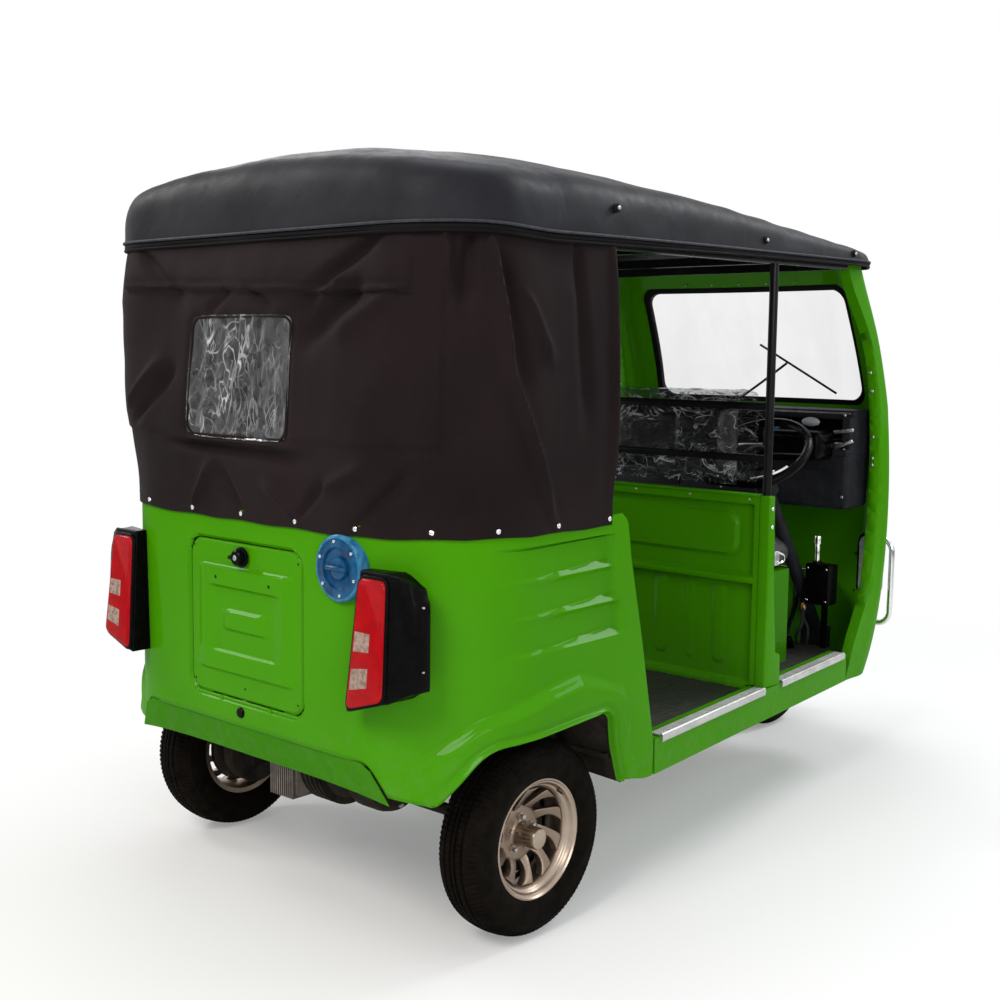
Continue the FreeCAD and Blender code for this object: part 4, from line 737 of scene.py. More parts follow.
# ---------------------------------------------------------------- body sheet metal
@dataclass
class TailPlan:
    """The tub's plan: flat tail, round corners and straight sides, measured along from its middle."""

    half_width: float = 0.650
    tail: float = 1.310
    corner: float = 0.330

    def corner_start(self) -> float:
        """Run from the middle to the corner's start."""
        return self.half_width - self.corner

    def corner_end(self) -> float:
        """Run from the middle to the corner's end."""
        return self.corner_start() + self.corner * math.pi / 2

    def run_at(self, y: float) -> float:
        """Run from the middle to a place on the corner or side."""
        start = self.tail - self.corner
        if y > start:
            return self.corner_start() + self.corner * math.acos(min(1.0, (y - start) / self.corner))
        return self.corner_end() + start - y

    def spot(self, run: float) -> tuple[Vector, Vector]:
        """Point and outward direction at a run, positive to the vehicle's left."""
        side, far = math.copysign(1.0, run), abs(run)
        if far <= self.corner_start():
            return Vector((run, self.tail, 0)), Vector((0, 1, 0))
        if far <= self.corner_end():
            turn = (far - self.corner_start()) / self.corner
            out = Vector((side * math.sin(turn), math.cos(turn), 0))
            middle = Vector((side * self.corner_start(), self.tail - self.corner, 0))
            return middle + out * self.corner, out
        return (Vector((side * self.half_width, self.tail - self.corner - (far - self.corner_end()), 0)),
                Vector((side, 0, 0)))


@dataclass
class Tub:
    """Rear body shell with wheel-arch flares, pressed ribs, lid opening and door edges."""

    plan: TailPlan
    front: float = 0.530
    bottom: float = 0.310
    tail_bottom: float = 0.385
    wall: float = 0.003
    flare: float = 0.020
    lip: float = 0.006
    rib: float = 0.015
    rib_drop: float = 0.005
    recess: float = 0.019
    lid_half: float = 0.2165
    lid_low: float = 0.5195
    lid_high: float = 0.9065
    lid_corner: float = 0.042
    apron_low_half: float = 0.470
    apron_high_half: float = 0.408
    apron_top: float = 0.4575

    ARCH = ((0.672, 0.322), (0.736, 0.515), (1.122, 0.4925), (1.212, 0.371))
    FLARE = ((0.600, 0.300), (0.655, 0.560), (0.838, 0.632), (0.960, 0.615), (1.140, 0.565), (1.262, 0.470),
             (1.330, 0.370))
    DOOR = ((0.400, 0.0), (0.660, 0.056), (0.868, 0.107), (0.966, 0.124), (0.995, 0.160))
    # Height, rear end and front end of each raised rib.
    RIBS = ((0.862, 1.085, 0.637), (0.778, 1.080, 0.630))
    # Heights of the recess's top and foot, then its rear and front ends.
    RECESS = (0.940, 0.694)
    RECESS_ENDS = (1.115, 0.625)
    # Heights of the net's rows above the wheel arch, closer where the side's relief turns.
    LEVELS = (0.660, 0.674, 0.685, 0.692, 0.694, 0.699, 0.704, 0.709, 0.714, 0.722, 0.742, 0.757, 0.7665,
              0.772, 0.777, 0.779, 0.784, 0.789, 0.794, 0.800, 0.812, 0.828, 0.841, 0.8505, 0.856, 0.861,
              0.863, 0.868, 0.873, 0.878, 0.884, 0.894, 0.9065, 0.912, 0.919, 0.926, 0.9305, 0.933, 0.935,
              0.937, 0.939, 0.941, 0.944, 0.950, 0.960, 0.972, 0.985)
    LOWER_ROWS = 34

    def __post_init__(self) -> None:
        """Work out the arch's rounded line and the net's columns."""
        peak = sorted(rounded(self.ARCH, 0.042, 10)[11:22])
        knee = sorted(rounded(self.ARCH, 0.080, 10)[22:33])
        self.arch = [self.ARCH[0], *peak, *knee, self.ARCH[3]]
        end = self.plan.run_at(self.front)
        marks = [0.0, self.lid_half - 0.05, self.lid_half, self.lid_half + 0.02, self.apron_high_half,
                 self.plan.run_at(self.ARCH[3][0]), self.plan.corner_end(), self.plan.run_at(0.780),
                 self.plan.run_at(0.660), self.plan.run_at(0.560), end]
        steps = [9, 8, 3, 14, 14, 22, 22, 30, 26, 7]
        half = [0.0]
        for (a, b), n in zip(zip(marks, marks[1:]), steps):
            half += spaced(a, b, n + 1)[1:]
        self.runs = [-r for r in half[:0:-1]] + half

    def bottom_at(self, y: float, run: float) -> float:
        """Height of the shell's lower edge."""
        if y < self.ARCH[0][0]:
            return self.bottom + 0.014 * eased(y, 0.56, 0.655)
        if y < self.ARCH[3][0]:
            return along(self.arch, y)
        near, far, top, foot = self.apron_high_half, self.apron_low_half, self.apron_top, self.ARCH[3][1]
        return along(((0, top), (near - 0.022, top), (near - 0.002, top - 0.003), (near + 0.014, top - 0.011),
                      (near + 0.026, top - 0.025), (far, self.tail_bottom), (far + 0.12, foot), (9, foot)),
                      abs(run))

    def level(self, row: float, low: float, run: float) -> float:
        """Height of a row of the net over a lower edge."""
        break_height = self.LEVELS[0]
        if row >= self.LOWER_ROWS:
            z = self.LEVELS[min(int(row - self.LOWER_ROWS), len(self.LEVELS) - 1)]
            held = eased(z, 0.660, 0.690) * (1 - eased(z, 0.950, 0.985))
            return z - self.drop_at(self.plan.spot(run)[0].y) * held
        share = row / self.LOWER_ROWS
        plain = low + (break_height - low) * share ** 1.5
        stepped = along(((0, low), (6 / self.LOWER_ROWS, self.lid_low - 0.015),
                         (11 / self.LOWER_ROWS, self.lid_low), (13 / self.LOWER_ROWS, self.lid_low + 0.006),
                         (1, break_height)), share)
        tail = 1 - eased(abs(run), self.lid_half + 0.03, self.plan.corner_start() + 0.08)
        return plain + (stepped - plain) * tail

    def away(self, y: float, z: float, line: Sequence[Flat]) -> float:
        """Distance to a line of points in the side view."""
        best = 9.0
        spot = Vector((y, z))
        for a, b in zip(line, line[1:]):
            start, way = Vector(a), Vector(b) - Vector(a)
            t = clamped((spot - start).dot(way) / way.length_squared)
            best = min(best, (spot - start - way * t).length)
        return best

    def flare_relief(self, y: float, z: float) -> float:
        """How far the wheel-arch flare and its rolled lip stand out."""
        if y <= 0.6 or z >= along(self.FLARE, y):
            return 0.0
        inner, outer = self.away(y, z, self.arch), self.away(y, z, self.FLARE)
        share = inner / max(1e-6, inner + outer)
        out = self.flare * (1 - eased(share, 0.66, 0.99)) * max(eased(y, 0.70, 0.80), eased(z, 0.40, 0.56))
        lip = self.lip * math.exp(-((inner - 0.0090) / 0.0045) ** 2)
        return out + lip - 0.012 * (1 - eased(inner, 0.0, 0.006)) - 0.003 * math.exp(
            -((inner - 0.021) / 0.006) ** 2)

    def drop_at(self, y: float) -> float:
        """How far the ribs have sunk at a place towards the rear."""
        return self.rib_drop * clamped((y - 0.63) / 0.45)

    def rib_relief(self, y: float, z: float) -> float:
        """Height of the side pressing: two raised wedges inside a recess that ends in two ledges."""
        total = 0.0
        drop = self.drop_at(y)
        for middle, rear, front in self.RIBS:
            t = (rear - y) / (rear - front)
            fade = min(1.0, max(0.0, t) ** 0.8) * (1 - eased(t, 0.985, 1.03))
            if fade <= 0:
                continue
            d = z - middle + drop
            above = 1 - (d - 0.001) / (0.005 + 0.011 * t)
            under = 1 + (d + 0.001) / 0.0105
            total += fade * self.rib * clamped(min(above, under))
        rear, front = self.RECESS_ENDS
        t = (rear - y) / (rear - front)
        top, low = (height - drop for height in self.RECESS)
        depth = self.recess * min(1.0, max(0.0, t) ** 0.8) * (1 - eased(t, 0.95, 1.04))
        ledge = 0.005 + 0.015 * clamped(t)
        foot = clamped((z - low) / ledge)
        head = clamped((top - z) / 0.0045)
        mark = min(1.0, max(0.0, t) * 4) * (1 - eased(t, 0.95, 1.0))
        groove = 0.0075 * mark * math.exp(-((z - top + 0.0035) / 0.0022) ** 2)
        return total - depth * foot * head - groove

    def lid_depth(self, x: float, z: float) -> float:
        """Signed distance outside the lid opening's rounded outline."""
        return beyond(x, z, self.lid_half, self.lid_low, self.lid_high, self.lid_corner)

    def spot(self, a: float, b: float) -> Vector:
        """Place of a net point from its two shares."""
        run = self.runs[round(a * (len(self.runs) - 1))]
        row = b * (self.LOWER_ROWS + len(self.LEVELS) - 1)
        flat, out = self.plan.spot(run)
        low = self.bottom_at(flat.y, run)
        z = self.level(round(row), low, run)
        y_shift = 0.0
        if flat.y < self.plan.tail - self.plan.corner:
            end = 0.660 + 0.32 * eased(z, 0.42, 0.70)
            fade = max(0.0, 1 - (flat.y - self.front) / (end - self.front))
            y_shift = along(self.DOOR, z) * fade
        y = flat.y + y_shift
        wing = eased(abs(run), self.plan.corner_start() + 0.10, self.plan.corner_start() + 0.32)
        relief = wing * self.flare_relief(y, z) + self.rib_relief(flat.y, z)
        edge = along(self.DOOR, z) + self.front
        relief -= 0.011 * (1 - eased(y - edge, 0.0, 0.012)) ** 2
        if abs(run) < self.plan.corner_start():
            outside = self.lid_depth(run, z)
            low_edge = 1 - eased(z, self.lid_low + 0.01, self.lid_low + 0.06)
            flange = 0.0055 + 0.0055 * low_edge
            relief -= (0.0095 + 0.0030 * low_edge) * clamped(1 - outside / flange)
        if flat.y > 1.212:
            relief -= 0.006 * (1 - eased(z - low, 0.0, 0.010))
        place = flat + out * relief
        return Vector((place.x, place.y + y_shift, z))

    def build(self) -> None:
        """Make the shell."""
        shape = Shape("tub_shell")
        rows = self.LOWER_ROWS + len(self.LEVELS) - 1
        shape.net(len(self.runs) - 1, rows, self.spot)
        mesh = shape.mesh
        for vert in mesh.verts:
            if vert.co.y > self.plan.tail - 0.03 and abs(self.lid_depth(vert.co.x, vert.co.z)) < 0.0045:
                self.pull(vert)
        gone = [f for f in mesh.faces if f.calc_center_median().y > self.plan.tail - 0.03 and self.lid_depth(
            f.calc_center_median().x, f.calc_center_median().z) < -0.0005]
        bmesh.ops.delete(mesh, geom=gone, context="FACES")
        for vert in mesh.verts:
            inside = self.lid_depth(vert.co.x, vert.co.z)
            if vert.is_boundary and vert.co.y > self.plan.tail - 0.03 and abs(inside) < 0.02:
                self.pull(vert)
        shape.thickened(self.wall)
        shape.done(Finish.GREEN, ["rear_body"], 30)

    def liners(self) -> None:
        """Make the black liners that close the wheel arches from inside."""
        shape = Shape("arch_liners")
        line = [(y, z + 0.010) for y, z in self.arch]
        line = [(line[0][0] - 0.008, 0.319), (line[0][0] - 0.004, 0.350), *line[2:-1],
                (line[-1][0] + 0.012, 0.372)]

        def spot(a: float, b: float) -> Vector:
            """Place of a net point from its two shares."""
            at = a * (len(line) - 1)
            first = min(int(at), len(line) - 2)
            y, z = Vector(line[first]).lerp(Vector(line[first + 1]), at - first)
            inset = self.plan.half_width - self.plan.spot(self.plan.run_at(y))[0].x
            return Vector((-(self.plan.half_width - 0.006 - inset - 0.245 * b), y, z + 0.012 * b))

        shape.net((len(line) - 1) * 2, 6, spot)
        shape.thickened(0.002)
        shape.mirror()
        shape.done(Finish.CHASSIS, smooth=40)

    def pull(self, vert: bmesh.types.BMVert) -> None:
        """Move a point across the tail onto the lid opening's outline."""
        x, z = vert.co.x, vert.co.z
        move = steepest(self.lid_depth, x, z) * self.lid_depth(x, z)
        vert.co.x, vert.co.z = x - move.x, z - move.y

    def trims(self) -> None:
        """Make the drain plug under the lid."""
        plug = Shape("drain_plug")
        plug.turned([(0, 0.006), (0.010, 0.006), (0.013, 0.003), (0.014, -0.003)],
                    (0.012, self.plan.tail, 0.494), (0, 1, 0), 24)
        plug.done(Finish.BLACK_PLASTIC)


@dataclass
class Lid:
    """Engine-bay lid with nested pressings, turning lock and number-plate holes."""

    half_width: float = 0.2135
    low: float = 0.5235
    high: float = 0.9035
    corner: float = 0.039
    face: float = 1.3055
    wall: float = 0.0025
    step: float = 0.0090

    # Half width, low edge, high edge and direction of each nested pressing.
    PRESSINGS = ((0.190, 0.584, 0.842, 1.0), (0.148, 0.634, 0.794, -1.0), (0.096, 0.690, 0.738, 1.0))
    # Place across, height and radius of each rivet and plate hole.
    RIVETS = ((0.102, 0.815, 0.0042), (-0.102, 0.815, 0.0042), (0.198, 0.884, 0.0028),
              (-0.199, 0.878, 0.0028), (-0.196, 0.549, 0.0028), (0.001, 0.5525, 0.0030),
              (0.198, 0.549, 0.0028))

    def spot(self, a: float, b: float) -> Vector:
        """Place of a net point from its two shares."""
        x = (a * 2 - 1) * self.half_width
        z = self.low + b * (self.high - self.low)
        relief = 0.0
        for half, low, high, way in self.PRESSINGS:
            upright = clamped((z - low + 0.003) / 0.0075) * clamped((high + 0.003 - z) / 0.0075)
            relief += way * self.step * upright * (1 - eased(abs(x), half - 0.045, half + 0.004))
        edge = beyond(x, z, self.half_width, self.low, self.high, self.corner)
        relief -= 0.005 * eased(edge, -0.007, 0.0) ** 2
        if edge > 0:
            x -= math.copysign(edge * 0.72, x)
            z -= math.copysign(edge * 0.72, z - (self.low + self.high) / 2)
        return Vector((x, self.face + relief, z))

    def build(self) -> None:
        """Make the lid with its lock and the trims that turn with it."""
        shape = Shape("lid_panel")
        shape.net(84, 150, self.spot)
        bmesh.ops.recalc_face_normals(shape.mesh, faces=shape.mesh.faces)
        shape.pushed(list(shape.mesh.faces), (0, -self.wall, 0))
        for side in (-0.160, 0.160):
            shape.block((side - 0.022, 1.2965, 0.515), (side + 0.022, 1.3005, 0.535), 0.0015)
            shape.rod((side - 0.022, 1.299, 0.517), (side + 0.022, 1.299, 0.517), 0.0035, sides=20,
                      bevel=0.001)
        shape.done(Finish.GREEN, ["rear_lid"], 40, body="rear_lid")
        lock = Shape("lid_lock")
        face = self.face + self.step - 0.001
        centre = (0.002, face, 0.873)
        lock.turned([(0, 0.019), (0.015, 0.019), (0.0185, 0.016), (0.020, 0.010), (0.0205, 0.004),
                     (0.0245, 0.002), (0.0245, -0.002)], centre, (0, 1, 0), 40)
        lock.rod((0.012, face + 0.008, 0.874), (0.037, face + 0.010, 0.870), 0.0085, 0.0045, 16, 0.002)
        lock.ball((0.002, face + 0.0185, 0.873), 0.007, (1, 0.35, 1), 1)
        lock.block((-0.001, face + 0.0195, 0.8695), (0.005, face + 0.0215, 0.8765), 0.0006, tag=1)
        lock.done((Finish.BLACK_PLASTIC, Finish.STEEL), body="rear_lid")
        marks = Shape("lid_rivets")
        half, low, high, _ = self.PRESSINGS[0]
        for x, z, r in self.RIVETS:
            base = self.face + (self.step if abs(x) < half and low < z < high else 0)
            marks.turned([(0, 0.0008), (r * 0.7, 0.0008), (r, 0.0002), (r, -0.001)], (x, base, z), (0, 1, 0),
                         16)
        marks.done(Finish.SEAL, body="rear_lid")


@dataclass
class Apron:
    """Creased strip let in under the tail, darkened with painted shade."""

    high_half: float = 0.430
    low_half: float = 0.473
    low: float = 0.381
    high: float = 0.4565
    creases: int = 9

    def build(self) -> None:
        """Make the strip, faceted between soft upright creases."""
        shape = Shape("apron_strip")

        def spot(a: float, b: float) -> Vector:
            """Place of a net point from its two shares."""
            half = self.low_half + (self.high_half - self.low_half) * b
            x = (a * 2 - 1) * half
            facet = abs(((a * self.creases) % 1.0) - 0.5) * 2
            sag = 0.0040 * facet * math.sin(math.pi * (0.15 + 0.8 * (1 - b)))
            y = 1.300 - 0.020 * (1 - b) ** 1.4 - sag
            low = self.low - 0.012 * abs(a * 2 - 1) ** 4
            z = low + b * (self.high - low) - 0.014 * b * eased(abs(a * 2 - 1), 0.90, 1.0) ** 2
            return Vector((x, y, z))

        shape.net(108, 12, spot)
        shape.thickened(0.002)
        shape.done(Finish.DARK_GREEN, ["rear_apron"], 25)


@dataclass
class FuelFiller:
    """Filler in the rear corner: blue-filmed flange with screws round a dished cap and its grip."""

    radius: float = 0.075
    height: float = 0.888
    centre_x: float = -0.351
    screws: int = 6

    def build(self) -> None:
        """Make the flange, cap and screws on the tail's face."""
        out, across = Vector((0, 1, 0)), Vector((1, 0, 0))
        centre = Vector((self.centre_x, 1.3125, self.height))
        r = self.radius
        shape = Shape("filler_flange")
        shape.turned([(r, -0.018), (r, 0.0055), (r - 0.003, 0.0085), (r - 0.008, 0.0090)], centre, out, 64, 1)
        shape.turned([(r - 0.008, 0.0090), (r * 0.70, 0.0086), (r * 0.67, 0.0100), (r * 0.63, 0.0095),
                      (r * 0.60, 0.0030), (r * 0.50, 0.0015), (r * 0.30, 0.0008), (0, 0.0006)], centre, out,
                      64, 0)
        shape.done((Finish.BLUE_FILM, Finish.BLUE_RIM), ["fuel_filler"], 50)
        cap = Shape("filler_cap")
        cap.turned([(0, 0.010), (0.018, 0.010), (0.024, 0.008), (0.0265, 0.003), (0.0265, -0.002)], centre,
                   out, 40)
        start, end = centre + across * 0.034 + out * 0.0115, centre - across * 0.034 + out * 0.0115
        cap.rod(start, end, 0.0065, 0.0050, 16, 0.0015)
        cap.done(Finish.BLUE_FILM)
        screws = Shape("filler_screws")
        for i in range(self.screws):
            angle = math.tau * (i + 0.35) / self.screws
            spot = centre + (across * math.cos(angle) + Vector((0, 0, 1)) * math.sin(angle)) * r * 0.80
            screws.rod(spot + out * 0.007, spot + out * 0.0120, 0.0044, 0.0038, 14, 0.0008)
        screws.done(Finish.CHROME)


@dataclass
class TailLamp:
    """Tail lamp on one side: deep black housing, bezel, domed red lens and two clear windows."""

    side: int
    inner: float = 0.424
    outer: float = 0.524
    low: float = 0.592
    high: float = 0.880
    face: float = 1.350
    reach: float = 0.580
    margin: float = 0.007
    lean: float = 0.013

    # Height shares of the clear windows from the bottom, and their share across from the vehicle's left.
    WINDOWS = ((0.146, 0.318), (0.445, 0.605))
    ACROSS = (0.075, 0.600)

    def outline(self, grow: float) -> list[Flat]:
        """The lens outline, grown by a margin, seen from behind."""
        low, high = self.low - grow, self.high + grow
        return rounded([(self.inner - grow, low), (self.outer + grow, low), (self.outer + grow, high),
                        (self.inner - grow, high)], 0.017 + grow, 7)

    def leaned(self, shape: Shape) -> None:
        """Lean the lamp's rear face so that its foot stands further back than its top."""
        for vert in shape.mesh.verts:
            share = (vert.co.z - self.low) / (self.high - self.low)
            out = abs(vert.co.x)
            across = (out - self.inner) / (self.outer - self.inner)
            over = clamped(across)
            vert.co.x += self.side * ((1 - over) * (0.010 * share - 0.005 * (1 - share))
                                      + over * (0.005 - 0.012 * share) * (1 - eased(across, 1.1, 1.4)))
            crown = eased(share, 0.72, 1.06)
            vert.co.x -= self.side * 0.012 * crown ** 2 * eased(out, 0.50, 0.58)
            foot = max(0.0, 1 - share * 1.8)
            vert.co.z += foot * (0.034 * over + 0.022 * eased(out, self.outer, self.reach))
            round_off = eased(out, 0.528, 0.588) * eased(1.345 - vert.co.y, 0.0, 0.055)
            vert.co.z -= 0.030 * round_off * eased(share, 0.80, 1.02)
            share = (vert.co.z - self.low) / (self.high - self.low)
            vert.co.y += eased(vert.co.y, 1.290, 1.330) * self.lean * (1 - 2 * share)

    def build(self) -> None:
        """Make the housing, bezel and lens."""
        name = "left" if self.side > 0 else "right"
        s = self.side
        housing = Shape(f"tail_lamp_housing_{name}")
        # Plan of the housing from its foot on the tail round its side to the bezel.
        plan = [(self.inner - 0.008, 1.290), (self.reach + 0.004, 1.262), (self.reach + 0.003, 1.292),
                (self.reach - 0.006, 1.312), (0.548, 1.328), (0.533, 1.335), (0.529, 1.3375),
                (self.inner - 0.008, 1.3375)]
        height = (self.low - self.margin, self.high + self.margin)
        housing.plate([(s * x, y, height[0]) for x, y in plan], (0, 0, height[1] - height[0] + 0.008), 0.021,
                      6)
        edges = [e for e in housing.mesh.edges if e.calc_length() > 0.06]
        bmesh.ops.subdivide_edges(housing.mesh, edges=edges, cuts=12)
        bmesh.ops.triangulate(housing.mesh, faces=[f for f in housing.mesh.faces if len(f.verts) > 4])
        housing.plate([(s * x, 1.3335, z) for x, z in self.outline(self.margin)], (0, 0.0095, 0), 0.0035, 3)
        for z in (0.828, 0.655):
            x = s * (self.reach - 0.001)
            housing.rod((x, 1.285, z), (x + s * 0.007, 1.285, z), 0.0042, 0.0034, 12, 0.001, 1)
        self.leaned(housing)
        housing.done((Finish.BLACK_PLASTIC, Finish.STEEL), smooth=50)
        lens = Shape(f"tail_lamp_lens_{name}")
        lens.plate([(s * x, self.face - 0.016, z) for x, z in self.outline(0)], (0, 0.015, 0), 0.0100, 6)
        left = self.outer if s > 0 else -self.inner
        width = self.outer - self.inner
        for low, high in self.WINDOWS:
            z = [self.low + (self.high - self.low) * share for share in (low, high)]
            x = [left - width * share for share in self.ACROSS]
            lens.block((x[1], self.face - 0.006, z[0]), (x[0], self.face - 0.0006, z[1]), 0.0022, 2, tag=1)
        self.leaned(lens)
        lens.done((Finish.RED_LENS, Finish.WHITE_LENS),
                  ["tail_lamp_housings", "tail_lamp_lenses"] if s > 0 else [], 50)


# ---------------------------------------------------------------- roof cap and curtain
@dataclass
class RoofCap:
    """Coated-fabric roof: upright rim, rounded shoulder and a crowned top, with piping and valance."""

    rear: float = 1.290
    front: float = -0.905
    half_width: float = 0.660
    corner: float = 0.215
    edge_rear: float = 1.618
    edge_rise: float = 0.044
    tail_lift: float = 0.012
    wall: float = 0.004
    columns: int = 300
    valance_drop: float = 0.018
    girth: float = 7.2

    # Share of the length from the front, then inset, shoulder height and crown height over the edge.
    SECTIONS = ((0.000, 0.250, 0.012, 0.024), (0.022, 0.170, 0.020, 0.040), (0.090, 0.114, 0.034, 0.076),
                (0.300, 0.075, 0.066, 0.136), (0.550, 0.028, 0.102, 0.196), (0.780, 0.002, 0.118, 0.230),
                (0.925, 0.0, 0.112, 0.208), (0.982, 0.0, 0.106, 0.160), (1.000, 0.0, 0.102, 0.142))

    def section(self, y: float) -> tuple[float, float, float]:
        """Inset, shoulder and crown at a place along the length, smoothed."""
        total = [0.0, 0.0, 0.0]
        taps = (-0.10, -0.05, 0.0, 0.05, 0.10)
        for tap in taps:
            share = (y + tap - self.front) / (self.rear - self.front)
            for i in range(3):
                total[i] += along([(row[0], row[i + 1]) for row in self.SECTIONS], share) / len(taps)
        return total[0], total[1], total[2]

    def edge(self, y: float) -> float:
        """Height of the lower edge."""
        rise = (self.rear - y) / (self.rear - self.front)
        return self.edge_rear + rise * self.edge_rise + self.tail_lift * eased(y, 0.95, 1.2)

    def outline(self) -> list[Vector]:
        """The plan's closed line, evenly spaced, from the middle of the tail by the left side."""
        right = [Vector((x, self.rear)) for x in spaced(0, self.half_width - self.corner, 12)]
        for i in range(1, 25):
            t = math.pi / 2 * i / 24
            right.append(Vector((self.half_width - self.corner * (1 - math.sin(t)),
                                 self.rear - self.corner * (1 - math.cos(t)))))
        for y in spaced(self.rear - self.corner - 0.03, self.front + 0.02, 70):
            right.append(Vector((self.half_width - self.section(y)[0], y)))
        last = right[-1]
        for i in range(1, 9):
            t = math.pi / 2 * i / 8
            right.append(Vector((last.x - 0.05 * (1 - math.cos(t)), last.y - 0.02 * math.sin(t))))
        right += [Vector((x, self.front)) for x in spaced(right[-1].x, 0, 14)[1:]]
        whole = right + [Vector((-p.x, p.y)) for p in right[-2:0:-1]] + [right[0]]
        lengths = [0.0]
        for a, b in zip(whole, whole[1:]):
            lengths.append(lengths[-1] + (b - a).length)
        even, at = [], 0
        for i in range(self.columns):
            want = lengths[-1] * i / self.columns
            while lengths[at + 1] < want:
                at += 1
            span = max(1e-9, lengths[at + 1] - lengths[at])
            even.append(whole[at].lerp(whole[at + 1], (want - lengths[at]) / span))
        return even

    def height(self, x: float, y: float) -> float:
        """Height of the crowned top."""
        inset, shoulder, crown = self.section(y)
        across = min(1.0, abs(x) / (self.half_width - inset))
        return self.edge(y) + shoulder + (crown - shoulder) * (1 - across ** 2.2)

    def spot(self, place: Vector, inward: Vector, row: float) -> Vector:
        """Point over the outline.

        Args:
            place: point of the outline.
            inward: direction into the plan.
            row: share from the edge at 0 to the middle at 1.

        Returns:
            The point.
        """
        edge = self.edge(place.y)
        wall_share = 0.52
        low_top = self.height(place.x, place.y) - edge
        reach = min(0.062, 0.9 * low_top + 0.012)
        if row <= wall_share:
            turn = math.pi / 2 * row / wall_share
            depth = reach * (1 - math.cos(turn)) ** 1.7
            flat = place + inward * depth
            rise = math.sin(turn) ** 0.92
        else:
            spine = Vector((0, min(max(place.y, self.front + 0.45), self.rear - 0.45)))
            start = place + inward * reach
            flat = start.lerp(spine, (row - wall_share) / (1 - wall_share))
            rise = 1.0
        top = self.height(flat.x, flat.y)
        z = edge + (top - edge) * rise
        ripple = wrinkle(Vector((flat.x, flat.y * 1.2, z)), 0.16, 3.1) * 0.0035
        ripple += wrinkle(Vector((flat.x, flat.y, z * 0.7)), 0.055, 7.7) * 0.0012
        ripple *= eased(row, 0.02, 0.15)
        hang = 0.004 * math.sin(math.pi * min(1.0, row / wall_share)) * (1 if row < wall_share else 0)
        # Both halves meet along the middle, so the sideways part dies out there.
        out = -inward * (ripple - hang) * (1 - eased(row, 0.75, 1.0))
        return Vector((flat.x + out.x, flat.y + out.y, z + ripple * rise * 0.8))

    def inwards(self, line: Sequence[Vector]) -> list[Vector]:
        """Direction into the plan at each point of its line."""
        inward = []
        for i in range(len(line)):
            way = (line[(i + 1) % len(line)] - line[i - 1]).normalized()
            across = Vector((way.y, -way.x))
            inward.append(across if across.dot(Vector((0, 0.3)) - line[i]) > 0 else -across)
        return inward

    def drop(self, y: float) -> float:
        """How far the valance hangs, a little less towards the front."""
        return self.valance_drop * (0.72 + 0.28 * eased(y, -0.3, 1.0))

    def cap(self, line: Sequence[Vector], inward: Sequence[Vector]) -> tuple[bpy.types.Object, float]:
        """Make the cap.

        Args:
            line: points of the plan.
            inward: direction into the plan at each of them.

        Returns:
            The cap and the area of its cloth.
        """
        count = len(line)
        shape = Shape("roof_cap")

        def cap_spot(a: float, b: float) -> Vector:
            """Place of a net point from its two shares."""
            i = round(a * count) % count
            return self.spot(line[i], inward[i], b)

        shape.net(count, 40, cap_spot, lambda a, b: (a * self.girth, b * 0.9))
        bmesh.ops.remove_doubles(shape.mesh, verts=shape.mesh.verts, dist=1e-4)
        area = shape.area()
        shape.thickened(self.wall)
        cap = shape.done(Finish.ROOF, ["roof_cover"], 60)
        log.info("roof cap area %.3f", area)
        return cap, area

    def piping(self, line: Sequence[Vector]) -> bpy.types.Object:
        """Make the cord round the cap's edge."""
        shape = Shape("roof_piping")
        shape.pipe([(p.x * 1.004, p.y * 1.002, self.edge(p.y) + 0.001) for p in line[::2]], 0.0036, 8, True,
                   samples=2)
        return shape.done(Finish.PIPING)

    def valance(self, line: Sequence[Vector], inward: Sequence[Vector], cap: bpy.types.Object) -> None:
        """Make the strip of cloth that hangs from the cap's edge.

        Args:
            line: points of the plan.
            inward: direction into the plan at each of them.
            cap: the cap it hangs from; not used.
        """
        count = len(line)
        band = Shape("roof_valance")

        def band_spot(a: float, b: float) -> Vector:
            """Place of a net point from its two shares."""
            i = round(a * count) % count
            x, y = line[i]
            bulge = 0.0045 * math.sin(math.pi * b) + wrinkle(Vector((x, y, b)), 0.2, 5) * 0.003
            place = line[i] - inward[i] * (bulge - 0.003)
            z = self.edge(y) - self.drop(y) * (1 - b) + 0.004 * wrinkle(Vector((x, y, 0)), 0.35, 2) * (1 - b)
            return Vector((place.x, place.y, z))

        band.net(count, 8, band_spot, lambda a, b: (a * self.girth, b * self.valance_drop))
        bmesh.ops.remove_doubles(band.mesh, verts=band.mesh.verts, dist=1e-5)
        area = band.area()
        log.info("valance area %.3f", area)
        band.thickened(0.003)
        band.pipe([(p.x, p.y, self.edge(p.y) - self.drop(p.y)) for p in line[::2]], 0.0038, 8, True,
                  samples=2)
        valance = band.done(Finish.VALANCE, smooth=60)

    def screws(self, line: Sequence[Vector], inward: Sequence[Vector]) -> None:
        """Make the screws on the cap's sides.

        Args:
            line: points of the plan.
            inward: direction into the plan at each of them.
        """
        screws = Shape("roof_screws")
        for side in (-1, 1):
            for y, up in ((0.742, 0.066), (0.0, 0.030), (-0.60, 0.020)):
                near = min(range(len(line)), key=lambda i: abs(line[i].y - y) + (line[i].x * side < 0) * 9)
                out = -inward[near].to_3d()
                spot = Vector((line[near].x, line[near].y, self.edge(y) + up))
                screws.rod(spot - out * 0.006, spot + out * 0.0035, 0.011, 0.010, 20, 0.001, 1)
                screws.rod(spot + out * 0.003, spot + out * 0.008, 0.0055, 0.0048, 6, 0.0008, 0)
        screws.done((Finish.STEEL, Finish.SEAL))

